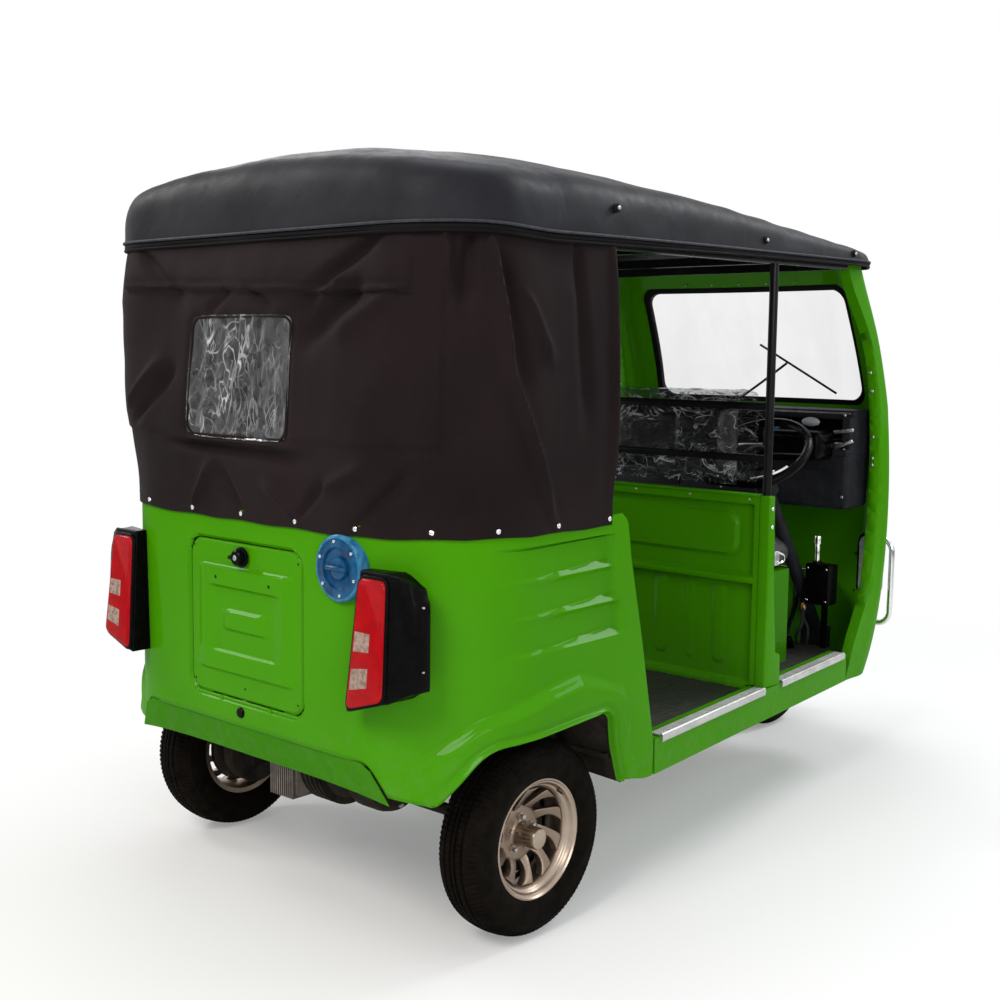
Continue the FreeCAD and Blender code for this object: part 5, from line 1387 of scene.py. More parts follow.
    def build(self) -> None:
        """Make the cap, its piping, valance and side screws."""
        line = self.outline()
        inward = self.inwards(line)
        cap, area = self.cap(line, inward)
        cord = self.piping(line)
        self.valance(line, inward, cap)
        self.screws(line, inward)


@dataclass
class Curtain:
    """Canvas curtain round the tail with a top flap, a film window, drag folds and snaps."""

    low: float = 0.962
    high: float = 1.640
    front: float = 0.735
    wall: float = 0.0022
    fold_gain: float = 2.3
    window_half: float = 0.184
    window_middle: float = 0.020
    window_low: float = 1.158
    window_high: float = 1.438
    window_corner: float = 0.030
    columns: int = 300
    rows: int = 92

    # Start run and height, end run and height, half breadth and height of each drag fold, in metres.
    FOLDS = ((-0.429, 1.600, -0.190, 1.450, 0.022, -0.011), (-0.389, 1.500, -0.205, 1.390, 0.030, -0.015),
             (-0.350, 1.530, -0.230, 1.470, 0.015, 0.008), (-0.470, 1.480, -0.330, 1.400, 0.020, 0.007),
             (0.240, 1.132, -0.200, 1.118, 0.016, -0.009), (0.230, 1.150, -0.190, 1.142, 0.010, 0.006),
             (0.420, 1.190, 0.275, 1.315, 0.018, -0.009), (0.460, 1.220, 0.330, 1.330, 0.015, 0.007),
             (-0.684, 1.600, -0.736, 1.315, 0.013, 0.010), (-0.736, 1.315, -0.871, 1.010, 0.011, 0.009),
             (-0.715, 1.560, -0.775, 1.300, 0.018, -0.008), (-0.778, 1.480, -0.855, 1.350, 0.014, 0.006),
             (-0.590, 1.620, -0.600, 1.500, 0.010, 0.009), (-0.640, 1.620, -0.630, 1.460, 0.014, -0.008),
             (-0.400, 0.985, -0.520, 1.100, 0.014, -0.007), (-0.200, 0.985, -0.290, 1.070, 0.012, -0.006),
             (-0.200, 0.985, -0.090, 1.060, 0.012, 0.006), (0.000, 0.985, 0.085, 1.080, 0.014, -0.006),
             (0.183, 0.985, 0.120, 1.090, 0.012, 0.006), (-0.300, 1.060, -0.420, 1.110, 0.018, 0.006),
             (-0.950, 1.620, -0.985, 1.200, 0.020, -0.006), (-1.080, 1.610, -1.090, 1.050, 0.014, 0.005),
             (0.684, 1.600, 0.790, 1.150, 0.016, 0.010), (0.720, 1.560, 0.850, 1.050, 0.018, -0.009),
             (0.590, 1.620, 0.610, 1.300, 0.014, -0.008), (0.960, 1.620, 0.930, 1.100, 0.020, 0.008),
             (0.430, 1.600, 0.250, 1.480, 0.022, -0.009), (0.520, 1.010, 0.600, 1.180, 0.018, -0.010),
             (-0.020, 1.500, -0.100, 1.455, 0.012, -0.005), (0.060, 1.500, 0.140, 1.452, 0.012, -0.005))
    SNAPS = (0.381, 0.183, 0.001, -0.201, -0.392, -0.570, -0.717, -0.892, -1.080, 0.570, 0.717, 0.892, 1.080)

    def __post_init__(self) -> None:
        """Set the plans at the hem and at the roof."""
        self.hem = TailPlan(0.6555, 1.3155, 0.3355)
        self.head = TailPlan(0.648, 1.277, 0.215)
        self.length = self.hem.run_at(self.front)

    def outside(self, run: float, z: float) -> float:
        """Signed distance outside the window's outline."""
        return beyond(run - self.window_middle, z, self.window_half, self.window_low, self.window_high,
                      self.window_corner)

    def relief(self, run: float, z: float) -> float:
        """How far the cloth stands out of its plain form."""
        left = eased(run, 0.30, 0.55) * (1 - eased(run, 0.75, 1.05))
        right = eased(-run, 0.35, 0.55) * (1 - eased(-run, 0.60, 0.85))
        swell = along(((0.96, 0.0), (1.05, 0.20), (1.14, 0.62), (1.20, 0.92), (1.30, 1.0), (1.48, 0.95),
                       (1.54, 0.62), (1.64, 0.0)), z)
        out = swell * (0.010 + 0.015 * left + 0.004 * right)
        for x0, z0, x1, z1, wide, high in self.FOLDS:
            start, way = Vector((x0, z0)), Vector((x1 - x0, z1 - z0))
            t = (Vector((run, z)) - start).dot(way) / way.length_squared
            if -0.25 < t < 1.25:
                d = (Vector((run, z)) - start - way * t).length / (wide * (0.65 + 0.6 * clamped(t)))
                if d < 3:
                    ends = eased(t, -0.22, 0.2) * (1 - eased(t, 0.75, 1.22))
                    out += self.fold_gain * high * ends * math.exp(-d * d)
        # The flap over the tail: a doubled layer with a hem, its lower edge and its ends standing off.
        hem_line = 1.497 + 0.010 * math.sin(run * 4.0)
        flap = eased(z, hem_line, hem_line + 0.004) * (1 - eased(abs(run + 0.02), 0.500, 0.506))
        flap *= 1 - 0.85 * eased(z, 1.535, 1.605)
        stitch = math.exp(-((z - hem_line - 0.020) / 0.0035) ** 2)
        out += flap * (0.0130 - 0.0040 * stitch) + 0.004 * flap * wrinkle(Vector((run, z, 0)), 0.09, 1.0)
        # The doubled panel round the window shows as a faint raised rectangle.
        panel = (1 - eased(abs(run + 0.02), 0.563, 0.568)) * eased(z, 1.158, 1.162)
        out += 0.0050 * panel
        edge = self.outside(run, z)
        out -= 0.0045 * (1 - eased(edge, 0.004, 0.022))
        big = wrinkle(Vector((run, z * 0.55, 0)), 0.19, 4.4) * 0.008 + wrinkle(
            Vector((run, z * 0.8, 0)), 0.075, 9.1) * 0.0028
        calm = eased(z, self.low, self.low + 0.06) * (1 - 0.8 * eased(z, 1.56, 1.63))
        return out + big * calm

    def bottom(self, run: float) -> float:
        """Height of the hem, which scallops a little between the snaps."""
        near = min(abs(run - s) for s in self.SNAPS)
        return self.low + 0.0015 * math.cos(near * 30) - 0.001 + 0.006 * eased(run, 0.2, 0.6)

    def spot(self, run: float, share: float) -> Vector:
        """Point of the cloth at a run along the hem and a share of its height."""
        low = self.bottom(run)
        z = low + (self.high - low) * share
        hem, hem_out = self.hem.spot(run)
        scale = self.head.run_at(self.front) / self.length
        head, head_out = self.head.spot(run * scale)
        lean = eased(z, 1.0, self.high) * 0.6 + 0.4 * max(0.0, (z - 1.0) / (self.high - 1.0))
        place, out = hem.lerp(head, lean), hem_out.lerp(head_out, lean)
        place = place + out * self.relief(run, z)
        return Vector((place.x, place.y, z))

    def on_cloth(self, run: float, z: float) -> Vector:
        """Point of the cloth at a run along the hem and a height."""
        low = self.bottom(run)
        return self.spot(run, (z - low) / (self.high - low))

    def height_at(self, uv: Vector) -> float:
        """Height of the point of the cloth that has some cloth coordinates."""
        low = self.bottom(uv.x)
        return low + (self.high - low) * uv.y / (self.high - self.low)

    def build(self) -> None:
        """Make the cloth, the window film, its welt and the snaps."""
        shape = Shape("tail_curtain")
        mesh = shape.mesh
        runs = spaced(-self.length, self.length, self.columns + 1)
        shape.net(self.columns, self.rows,
                  lambda a, b: self.spot(runs[round(a * self.columns)], b),
                  lambda a, b: ((a * 2 - 1) * self.length, b * (self.high - self.low)))
        layer = mesh.loops.layers.uv.verify()
        shares = {}
        for face in mesh.faces:
            for loop in face.loops:
                shares[loop.vert] = loop[layer].uv.copy()
        for vert, uv in shares.items():
            z = self.height_at(uv)
            off = self.outside(uv.x, z)
            if abs(off) < 0.0033:
                vert.co = self.snapped(uv.x, z, off)
        gone = []
        for face in mesh.faces:
            middle = sum((shares[v] for v in face.verts), Vector((0, 0))) / len(face.verts)
            if self.outside(middle.x, self.height_at(middle)) < -0.0008:
                gone.append(face)
        bmesh.ops.delete(mesh, geom=gone, context="FACES")
        for vert in mesh.verts:
            uv = shares[vert]
            z = self.height_at(uv)
            off = self.outside(uv.x, z)
            if vert.is_boundary and abs(off) < 0.012:
                vert.co = self.snapped(uv.x, z, off)
        bmesh.ops.dissolve_degenerate(mesh, dist=0.0002, edges=mesh.edges)
        area = shape.area()
        log.info("curtain area %.3f", area)
        shape.thickened(self.wall)
        cloth = shape.done(Finish.CANVAS, ["rear_curtain"], 70)
        film = self.film()
        welt = self.welt()
        snaps = self.snaps()

    def snapped(self, run: float, z: float, off: float) -> Vector:
        """Point of the cloth moved onto the window's outline."""
        move = steepest(self.outside, run, z) * off
        return self.on_cloth(run - move.x, z - move.y)

    def film(self) -> bpy.types.Object:
        """Make the crumpled window film."""
        shape = Shape("window_film_sheet")
        half, rise = self.window_half + 0.006, (self.window_high - self.window_low) / 2 + 0.006
        middle = (self.window_high + self.window_low) / 2

        def spot(a: float, b: float) -> Vector:
            """Place of a net point from its two shares."""
            u, v = a * 2 - 1, b * 2 - 1
            pull = 1 - 0.055 * (abs(u) ** 6) * (abs(v) ** 6)
            run, z = self.window_middle + u * half * pull, middle + v * rise * pull
            base = self.on_cloth(run, z)
            place = Vector((run, z * 0.7, 0))
            crumple = abs(wrinkle(place, 0.055, 6.0)) * 0.010 + abs(wrinkle(place, 0.022, 2.0)) * 0.004
            crumple += 0.006 * math.exp(-((run - self.window_middle + 0.005) / 0.006) ** 2)
            calm = (1 - u ** 8) * (1 - v ** 8)
            return base + Vector((0, 0.002 - (0.008 - crumple) * calm, 0))

        shape.net(96, 76, spot)
        return shape.done(Finish.WINDOW_FILM, ["rear_window"], 180)

    def welt(self) -> bpy.types.Object:
        """Make the stitched cloth border round the window."""
        shape = Shape("window_welt")
        corners = [(-self.window_half, self.window_low), (self.window_half, self.window_low),
                   (self.window_half, self.window_high), (-self.window_half, self.window_high)]
        line = []
        for x, z in rounded(corners, self.window_corner, 8):
            run = x + self.window_middle
            place = self.on_cloth(run, z)
            line.append((place.x, place.y + 0.0015, z))
        shape.pipe(line, 0.0032, 8, True, samples=2)
        return shape.done(Finish.CANVAS)

    def snaps(self) -> bpy.types.Object:
        """Make the press studs along the hem."""
        shape = Shape("curtain_snaps")
        for run in self.SNAPS:
            place, out = self.on_cloth(run, self.bottom(run) + 0.015), self.hem.spot(run)[1]
            shape.turned([(0, 0.0042), (0.0034, 0.0040), (0.0056, 0.0026), (0.0064, 0.0006),
                          (0.0064, -0.002)], place, out, 20)
        return shape.done(Finish.CHROME)


# ---------------------------------------------------------------- wheels and running gear
@dataclass
class Wheel:
    """Tyre with grooved shoulders on a cast rim with hooked spokes, hub cap and nuts."""

    name: str
    body: str
    centre: Point
    outward: int
    tyre_node: str
    rim_node: str
    grooves: int = 110
    columns: int = 440
    spokes: int = 10
    sweep: float = 0.30
    hub_radius: float = 0.066
    hub_out: float = -0.014

    # Place across the tyre and radius, from the outer bead over the tread to the inner bead.
    PROFILE = ((0.050, 0.139), (0.0575, 0.146), (0.0645, 0.160), (0.0675, 0.176), (0.0670, 0.190),
               (0.0655, 0.1975), (0.0663, 0.1990), (0.0660, 0.2015), (0.0640, 0.2035), (0.0615, 0.2105),
               (0.0575, 0.2170), (0.0500, 0.2235), (0.0440, 0.2285), (0.0370, 0.2310), (0.0290, 0.2325),
               (0.0275, 0.2275), (0.0235, 0.2275), (0.0220, 0.2335), (0.0100, 0.2345), (0.0085, 0.2290),
               (0.0045, 0.2290), (0.0030, 0.2350))

    def build(self) -> None:
        """Make the tyre and the rim."""
        self.tyre()
        self.rim()

    def tyre(self) -> None:
        """Make the tyre as a closed net round the axle."""
        half = list(self.PROFILE)
        ring = half + [(-x, r) for x, r in half[::-1]] + [(-0.044, 0.136), (0.044, 0.136)]
        ring.append(ring[0])
        rows = len(ring) - 1
        shape = Shape(f"tyre_{self.name}")
        cx, cy, cz = self.centre

        def spot(a: float, b: float) -> Vector:
            """Place of a net point from its two shares."""
            column, row = round(a * self.columns), round(b * rows)
            x, r = ring[row]
            phase = (column * self.grooves / self.columns) % 1.0
            if 0.0365 < abs(x) < 0.0605 and r > 0.205 and phase < 0.30:
                r -= 0.0024
                x *= 0.978
            if 0.009 < abs(x) < 0.03 and r > 0.2300 and (phase + 0.3) % 1.0 < 0.18:
                r -= 0.0025
            turn = math.tau * column / self.columns
            return Vector((cx + x, cy + r * math.cos(turn), cz + r * math.sin(turn)))

        shape.net(self.columns, rows, spot)
        bmesh.ops.remove_doubles(shape.mesh, verts=shape.mesh.verts, dist=1e-6)
        shape.done(Finish.TYRE, [self.tyre_node], 32, body=self.body)

    def at(self, radius: float, turn: float, out: float) -> Vector:
        """Point at a radius, an angle round the axle and a distance outwards."""
        cx, cy, cz = self.centre
        return Vector((cx + self.outward * out, cy + radius * math.cos(turn), cz + radius * math.sin(turn)))

    def spoke(self, shape: Shape, turn: float) -> None:
        """Add one broad hooked spoke that climbs from the deep hub to the rim's lip."""
        first, second = [], []
        for t in spaced(0, 1, 9):
            r = self.hub_radius - 0.006 + (0.116 - self.hub_radius + 0.006) * t
            lean = turn + self.sweep * t ** 1.8
            wide = (0.0142 - 0.0040 * math.sin(math.pi * min(1.0, t * 1.10)) + 0.006 * t ** 5) / r
            out = self.hub_out + 0.008 + (0.024 - self.hub_out) * t ** 0.8
            first.append(self.at(r, lean - wide, out))
            second.append(self.at(r, lean + wide, out))
        verts = [shape.mesh.verts.new(p) for p in first + second]
        count = len(first)
        faces = [shape.mesh.faces.new((verts[k], verts[k + 1], verts[count + k + 1], verts[count + k]))
                 for k in range(count - 1)]
        every = verts + shape.pushed(faces, (-self.outward * 0.020, 0, 0))
        bmesh.ops.recalc_face_normals(shape.mesh, faces=list({f for v in every for f in v.link_faces}))
        shape.bevelled(every, 0.0030, 3, 50)

    def rim(self) -> None:
        """Make the rim with its lip, barrel, spokes, cap and nuts."""
        shape = Shape(f"rim_{self.name}")
        axis = (self.outward, 0, 0)
        hub = self.hub_out
        shape.turned([(0.128, -0.050), (0.1415, -0.052), (0.1425, -0.048), (0.134, -0.040), (0.126, -0.030),
                      (0.118, -0.010), (0.1145, 0.010), (0.1150, 0.024)], self.centre, axis, 72)
        shape.turned([(0.1340, 0.0420), (0.1405, 0.0450), (0.1435, 0.0490), (0.1440, 0.0535),
                      (0.1425, 0.0565), (0.1395, 0.0572), (0.1372, 0.0545), (0.1350, 0.0525),
                      (0.1325, 0.0520), (0.1305, 0.0490), (0.1290, 0.0440), (0.1255, 0.0400),
                      (0.1235, 0.0395), (0.1215, 0.0370), (0.1180, 0.0310), (0.1150, 0.0240),
                      (0.1160, 0.0180), (0.124, 0.0160), (0.1340, 0.0420)], self.centre, axis,
                     84, 1)
        shape.turned([(0.0, hub - 0.012), (self.hub_radius, hub - 0.012),
                      (self.hub_radius + 0.004, hub - 0.006), (self.hub_radius + 0.003, hub + 0.006),
                      (self.hub_radius - 0.002, hub + 0.011), (self.hub_radius - 0.008, hub + 0.012),
                      (0.034, hub + 0.008), (0.029, hub + 0.010), (0.0265, hub + 0.014)], self.centre, axis,
                      48)
        shape.turned([(0.0270, hub + 0.004), (0.0265, hub + 0.020), (0.0255, 0.0530), (0.0235, 0.0580),
                      (0.0190, 0.0597), (0.0, 0.0600)], self.centre, axis, 40, 1)
        for i in range(self.spokes):
            self.spoke(shape, math.tau * i / self.spokes + 0.1)
        for i in range(5):
            turn = math.tau * i / 5 + 0.35
            shape.rod(self.at(0.0410, turn, hub), self.at(0.0410, turn, hub + 0.024), 0.0070, 0.0064, 6,
                      0.0008, 2)
            shape.rod(self.at(0.0410, turn, hub), self.at(0.0410, turn, hub + 0.0125), 0.0095, 0.0090, 20,
                      0.0008, 1)
        shape.rod(self.at(0.127, 2.3, 0.036), self.at(0.121, 2.3, 0.058), 0.0026, 0.0022, 10, 0.0005, 3)
        shape.turned([(0.0, -0.040), (0.098, -0.042), (0.104, -0.036), (0.104, -0.024), (0.096, -0.020),
                      (0.0, -0.0198)], self.centre, axis, 48, 3)
        shape.done((Finish.ALLOY, Finish.MACHINED, Finish.STEEL, Finish.CHASSIS),
                   [self.rim_node], 40, body=self.body)


@dataclass
class RunningGear:
    """Finned drive unit and its mounts, dampers with springs, brake lines and harness."""

    motor_y: float = 0.985
    motor_z: float = 0.315
    damper_x: float = 0.412
    damper_y: float = 0.935

    def drive_unit(self) -> None:
        """Make the finned motor and gear case that stand for the plain block."""
        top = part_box("engine_block")[1].z
        shape = Shape("drive_unit")
        centre = (0.045, self.motor_y, self.motor_z)
        profile = [(0, -0.105), (0.072, -0.105), (0.090, -0.094), (0.098, -0.078)]
        for i in range(5):
            x = -0.070 + i * 0.0175
            profile += [(0.098, x), (0.117, x + 0.002), (0.117, x + 0.0075), (0.098, x + 0.0095)]
        shape.turned(profile + [(0.098, 0.020), (0, 0.020)], centre, (1, 0, 0), 44, 1)
        for i in range(11):
            x = 0.052 + i * 0.0085
            shape.block((x, 0.860, 0.222), (x + 0.0036, 1.122, 0.372), 0.0010, 1, tag=0)
        shape.block((0.048, 0.866, 0.228), (0.146, 1.112, 0.366), 0.006, 2, tag=0)
        # Gear case beside the motor, with a bolted cover.
        shape.turned([(0, -0.060), (0.085, -0.060), (0.105, -0.048), (0.110, -0.030), (0.110, 0.030),
                      (0.104, 0.046), (0.060, 0.062), (0, 0.064)], (-0.092, 0.935, 0.300), (1, 0, 0), 40, 1)
        for i in range(8):
            turn = math.tau * i / 8
            spot = Vector((-0.145, 0.935 + 0.090 * math.cos(turn), 0.300 + 0.090 * math.sin(turn)))
            shape.rod(spot, spot + Vector((-0.012, 0, 0)), 0.0065, 0.006, 6, 0.0008, 2)
        shape.block((-0.130, 0.840, 0.395), (0.130, 1.060, 0.425), 0.006, tag=1)
        for x in (-0.105, 0.105):
            shape.block((x - 0.012, 0.900, 0.410), (x + 0.012, 0.990, top), 0.004, tag=1)
        shape.block((-0.060, 0.805, 0.235), (0.075, 0.880, 0.400), 0.018, 3, tag=1)
        shape.rod((0.02, 1.060, 0.360), (0.02, 1.112, 0.360), 0.034, 0.030, 24, 0.004, 1)
        shape.pipe([(0.02, 1.10, 0.37), (0.08, 1.115, 0.42), (0.12, 1.05, 0.47), (0.10, 0.95, 0.50)], 0.008,
                   10, tag=3)
        shape.pipe([(-0.03, 1.05, 0.36), (-0.09, 1.11, 0.40), (-0.12, 1.02, 0.46), (-0.05, 0.94, 0.505)],
                   0.006, 10, tag=3)
        shape.done((Finish.ENGINE, Finish.CHASSIS, Finish.STEEL, Finish.WIRE),
                   ["engine_block"], 35)

    def dampers(self) -> None:
        """Make the rear dampers and their coil springs."""
        low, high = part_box("shock_absorbers")
        shape = Shape("spring_dampers")
        for side in (-1, 1):
            x, y = side * self.damper_x, self.damper_y
            shape.rod((x, y, low.z + 0.010), (x, y, low.z + 0.170), 0.021, sides=24, bevel=0.003)
            shape.rod((x, y, low.z + 0.160), (x, y, high.z), 0.009, sides=16, tag=1)
            shape.rod((x, y, low.z + 0.050), (x, y, low.z + 0.057), 0.041, sides=28, bevel=0.002)
            shape.rod((x, y, high.z - 0.024), (x, y, high.z - 0.014), 0.041, sides=28, bevel=0.002)
            turns, first, last = 8, low.z + 0.062, high.z - 0.030
            points = [(x + 0.034 * math.cos(i * math.tau / 12), y + 0.034 * math.sin(i * math.tau / 12),
                       first + (last - first) * i / (turns * 12)) for i in range(turns * 12 + 1)]
            shape.pipe(points, 0.0052, 8, samples=1, tag=2)
            shape.rod((x - 0.024, y, low.z + 0.012), (x + 0.024, y, low.z + 0.012), 0.014, sides=20,
                      bevel=0.002)
        shape.done((Finish.CHASSIS, Finish.CHROME, Finish.BLACK_PAINT), ["shock_absorbers"],
                   40)

    def lines(self) -> None:
        """Make the brake lines and the harness clipped under the floor."""
        shape = Shape("under_lines")
        for side in (-1, 1):
            shape.pipe([(side * 0.32, 0.60, 0.262), (side * 0.36, 0.72, 0.25), (side * 0.44, 0.84, 0.30),
                        (side * 0.470, 0.90, 0.29)], 0.0045, 8)
        shape.pipe([(-0.262, 0.62, 0.250), (-0.260, 0.2, 0.250), (-0.262, -0.3, 0.250),
                    (-0.258, -0.62, 0.252)],
                   0.006, 8)
        shape.done(Finish.WIRE)


@dataclass
class FrontEnd:
    """Fork springs, headlamps and the guard loops before them."""

    def fork(self) -> None:
        """Make the fork's springs and axle nuts."""
        shape = Shape("fork_springs")
        rake = math.radians(20)
        way = Vector((0, math.sin(rake), math.cos(rake)))
        for side in (-1, 1):
            foot = Vector((side * 0.086, -1.075, 0.235)) + way * 0.075
            turns, span = 7, 0.19
            aside = Vector((1, 0, 0))
            across = way.cross(aside)
            points = []
            for i in range(turns * 12 + 1):
                t = i * math.tau / 12
                points.append(foot + way * (span * i / (turns * 12)) + aside * 0.017 * math.cos(t)
                              + across * 0.017 * math.sin(t))
            shape.pipe([tuple(p) for p in points], 0.0032, 8, samples=1)
            shape.rod((side * 0.066, -1.075, 0.235), (side * 0.108, -1.075, 0.235), 0.013, sides=6,
                      bevel=0.002, tag=1)
        shape.done((Finish.BLACK_PAINT, Finish.STEEL), body="front_fork")

    def headlamp(self, side: int) -> None:
        """Make one headlamp: bowl, ribbed lens and the chrome guard loop."""
        name = "left" if side > 0 else "right"
        lamp = Shape(f"headlamp_{name}")
        x = side * 0.436
        y_back, y_face = -1.000, -1.058
        outline = rounded([(-0.036, 0.545), (0.036, 0.545), (0.036, 0.755), (-0.036, 0.755)], 0.030, 6)
        lamp.plate([(x + dx, y_back, z) for dx, z in outline], (0, y_face - y_back, 0), 0.010, 4)
        lamp.plate([(x + dx * 1.12, y_back - 0.002, 0.65 + (z - 0.65) * 1.06) for dx, z in outline],
                   (0, -0.026, 0), 0.004, 2, 1)
        lamp.done((Finish.HEAD_LENS, Finish.BLACK_PLASTIC), ["headlamps"] if side > 0 else [],
                  50)
        guard = Shape(f"guard_loop_{name}")
        low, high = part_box("headlamp_guards")
        y = low.y - 0.014
        corners = [(-0.046, low.z - 0.066), (0.046, low.z - 0.066), (0.046, high.z - 0.058),
                   (-0.046, high.z - 0.058)]
        line = rounded(corners, 0.045, 8)
        guard.pipe([(x + dx, y, z) for dx, z in line], 0.0105, 12, True, samples=2)
        for z in (low.z + 0.05, high.z - 0.11):
            guard.pipe([(x - side * 0.045, y, z), (x - side * 0.047, y + 0.03, z),
                        (x - side * 0.046, y + 0.085, z)],
                       0.006, 10, samples=3)
        guard.done(Finish.CHROME, ["headlamp_guards"] if side > 0 else [], 60)

    def build(self) -> None:
        """Make everything at the front."""
        self.fork()
        for side in (-1, 1):
            self.headlamp(side)


# ---------------------------------------------------------------- doorway, cabin and seats
@dataclass
class Doorway:
    """Sill strips, floor mats, partition pressing, rear posts, their bolts and catches."""

    sill_top: float = 0.400
    rear_half: float = 0.650
    front_half: float = 0.520
    rear_y: float = 0.530
    front_y: float = -0.715

    def side_x(self, y: float) -> float:
        """Half width of the sill's outer face."""
        return self.rear_half - (self.rear_y - y) * (self.rear_half - self.front_half) / (self.rear_y
                                                                                         - self.front_y)

    def strips(self) -> None:
        """Make the ribbed aluminium treads with their outer lips."""
        shape = Shape("sill_strips")
        for first, last in ((0.500, -0.100), (-0.215, -0.690)):
            a, b = self.side_x(first), self.side_x(last)
            # Across the tread, from the lip's foot over its edge and five ribs to the inner edge.
            profile = [(0.0030, -0.014), (0.0048, -0.012), (0.0060, 0.000), (0.0050, 0.0060),
                       (0.0010, 0.0085), (-0.0030, 0.0080)]
            for i in range(4):
                at = -0.0045 - i * 0.0068
                profile += [(at, 0.0066), (at - 0.0012, 0.0040), (at - 0.0034, 0.0040), (at - 0.0046, 0.0066)]
            profile += [(-0.0325, 0.0060), (-0.0330, 0.0)]
            rows = [(first, a), (last, b)]
            verts = []
            for y, x in rows:
                verts.append([shape.mesh.verts.new((x + dx, y, self.sill_top + dz)) for dx, dz in profile])
            for i in range(len(profile)):
                j = (i + 1) % len(profile)
                shape.mesh.faces.new((verts[0][i], verts[0][j], verts[1][j], verts[1][i]))
            shape.mesh.faces.new(verts[0])
            shape.mesh.faces.new(verts[1][::-1])
            for t in (0.06, 0.5, 0.94):
                y = first + (last - first) * t
                shape.ball((self.side_x(y) - 0.0165, y, self.sill_top + 0.0050), 0.0040, (1, 1, 0.5), 1, 2)
        shape.mirror()
        shape.done((Finish.ALUMINIUM, Finish.STEEL), smooth=25)

    def mat(self, name: str, low: Flat, high: Flat, height: float) -> None:
        """Lay one floor mat with curled edges and scuffs.

        Args:
            name: the piece's name.
            low: least x and y.
            high: greatest x and y.
            height: height of the floor under it.
        """
        shape = Shape(name)

        def spot(a: float, b: float) -> Vector:
            """Place of a net point from its two shares."""
            y = low[1] + (high[1] - low[1]) * b
            half = min(high[0], self.side_x(y) - 0.031)
            x = (a * 2 - 1) * half
            lift = (0.0035 * abs(wrinkle(Vector((x, y, 0)), 0.12, 3))
                    + 0.002 * wrinkle(Vector((x, y, 0)), 0.04, 8))
            rib = 0.0012 * (math.sin(x * math.tau / 0.026) > 0.35)
            return Vector((x, y, height + 0.0055 + lift + rib))

        shape.net(170, 56, spot)
        area = shape.area()
        shape.thickened(0.012)
        laid = shape.done(Finish.MAT, smooth=40)

    def partition(self) -> None:
        """Make the pressed partition between driver and passengers."""
        low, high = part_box("partition")
        shape = Shape("partition_pressing")
        half, top, floor = high.x + 0.015, high.z, low.z
        face = high.y

        def spot(a: float, b: float) -> Vector:
            """Place of a net point from its two shares."""
            x, z = (a * 2 - 1) * half, floor + (top - floor) * b
            y = 0.0
            y -= 0.019 * (1 - eased(beyond(x, z, 0.526, 0.400, 0.938, 0.012), -0.008, 0.000))
            y += 0.012 * (1 - eased(beyond(x, z, 0.463, 0.776, 0.908, 0.045), -0.010, 0.002))
            ledge = eased(z, 0.700, 0.706) * (1 - eased(z, 0.716, 0.724))
            y += 0.022 * ledge * (1 - eased(abs(x), 0.518, 0.526))
            y -= 0.004 * (1 - eased(z, 0.696, 0.702)) * (1 - eased(abs(x), 0.516, 0.526))
            for cx, wide, high in ((0.400, 0.024, 0.0050), (0.297, 0.015, 0.0025), (0.190, 0.024, 0.0050)):
                away = beyond(abs(x) - cx, z, wide, 0.447, 0.688, wide)
                y += high * (1 - eased(away, -0.009, 0.002))
            if z < 0.404:
                x = max(-0.512, min(0.512, x))
            return Vector((x, face + y - 0.001, z))

        shape.net(210, 150, spot)
        shape.thickened(0.0025)
        shape.block((-half, face - 0.028, top - 0.004), (half, face + 0.007, top + 0.002), 0.0025, 2)
        shape.block((-half, face - 0.027, floor), (half, face - 0.0245, top - 0.003), 0.0)
        for x in (-0.505, -0.3, -0.1, 0.1, 0.3, 0.505):
            shape.ball((x, face + 0.001, top - 0.014), 0.0042, (1, 0.5, 1), 1, 2)
        shape.done((Finish.GREEN, Finish.STEEL), ["partition"], 40)

    def fittings(self) -> None:
        """Make the rear posts with their bolts and door catches."""
        low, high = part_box("b_pillars")
        outer, inner = high.x, high.x - 0.034
        post = Shape("b_pillar_posts")
        side = [(-0.111, low.z), (-0.111, high.z), (-0.140, high.z), (-0.150, 0.700), (-0.170, 0.500),
                (-0.196, low.z + 0.09), (-0.200, low.z)]
        post.plate([(inner, y, z) for y, z in side], (outer - inner, 0, 0), 0.004, 3)
        post.mirror()
        post.done(Finish.GREEN, ["b_pillars"], 40)
        shape = Shape("pillar_fittings")
        for z in (0.925, 0.872):
            shape.ball((outer + 0.0005, -0.126, z), 0.0062, (0.55, 1, 1), 0, 2)
        shape.block((outer - 0.012, -0.168, 0.758), (outer + 0.003, -0.144, 0.800), 0.002, tag=1)
        shape.pipe([(outer + 0.002, -0.160, 0.764), (outer + 0.014, -0.170, 0.768),
                    (outer + 0.016, -0.172, 0.780), (outer + 0.014, -0.170, 0.792),
                    (outer + 0.002, -0.160, 0.796)], 0.0032, 10, samples=4)
        shape.mirror()
        shape.done((Finish.CHROME, Finish.STEEL), smooth=50)

    def build(self) -> None:
        """Make everything round the doorway."""
        self.strips()
        self.mat("floor_mat_rear", (-0.62, -0.112), (0.62, 0.690), 0.383)
        self.mat("floor_mat_front", (-0.52, -0.800), (0.52, -0.150), 0.383)
        self.partition()
        self.fittings()


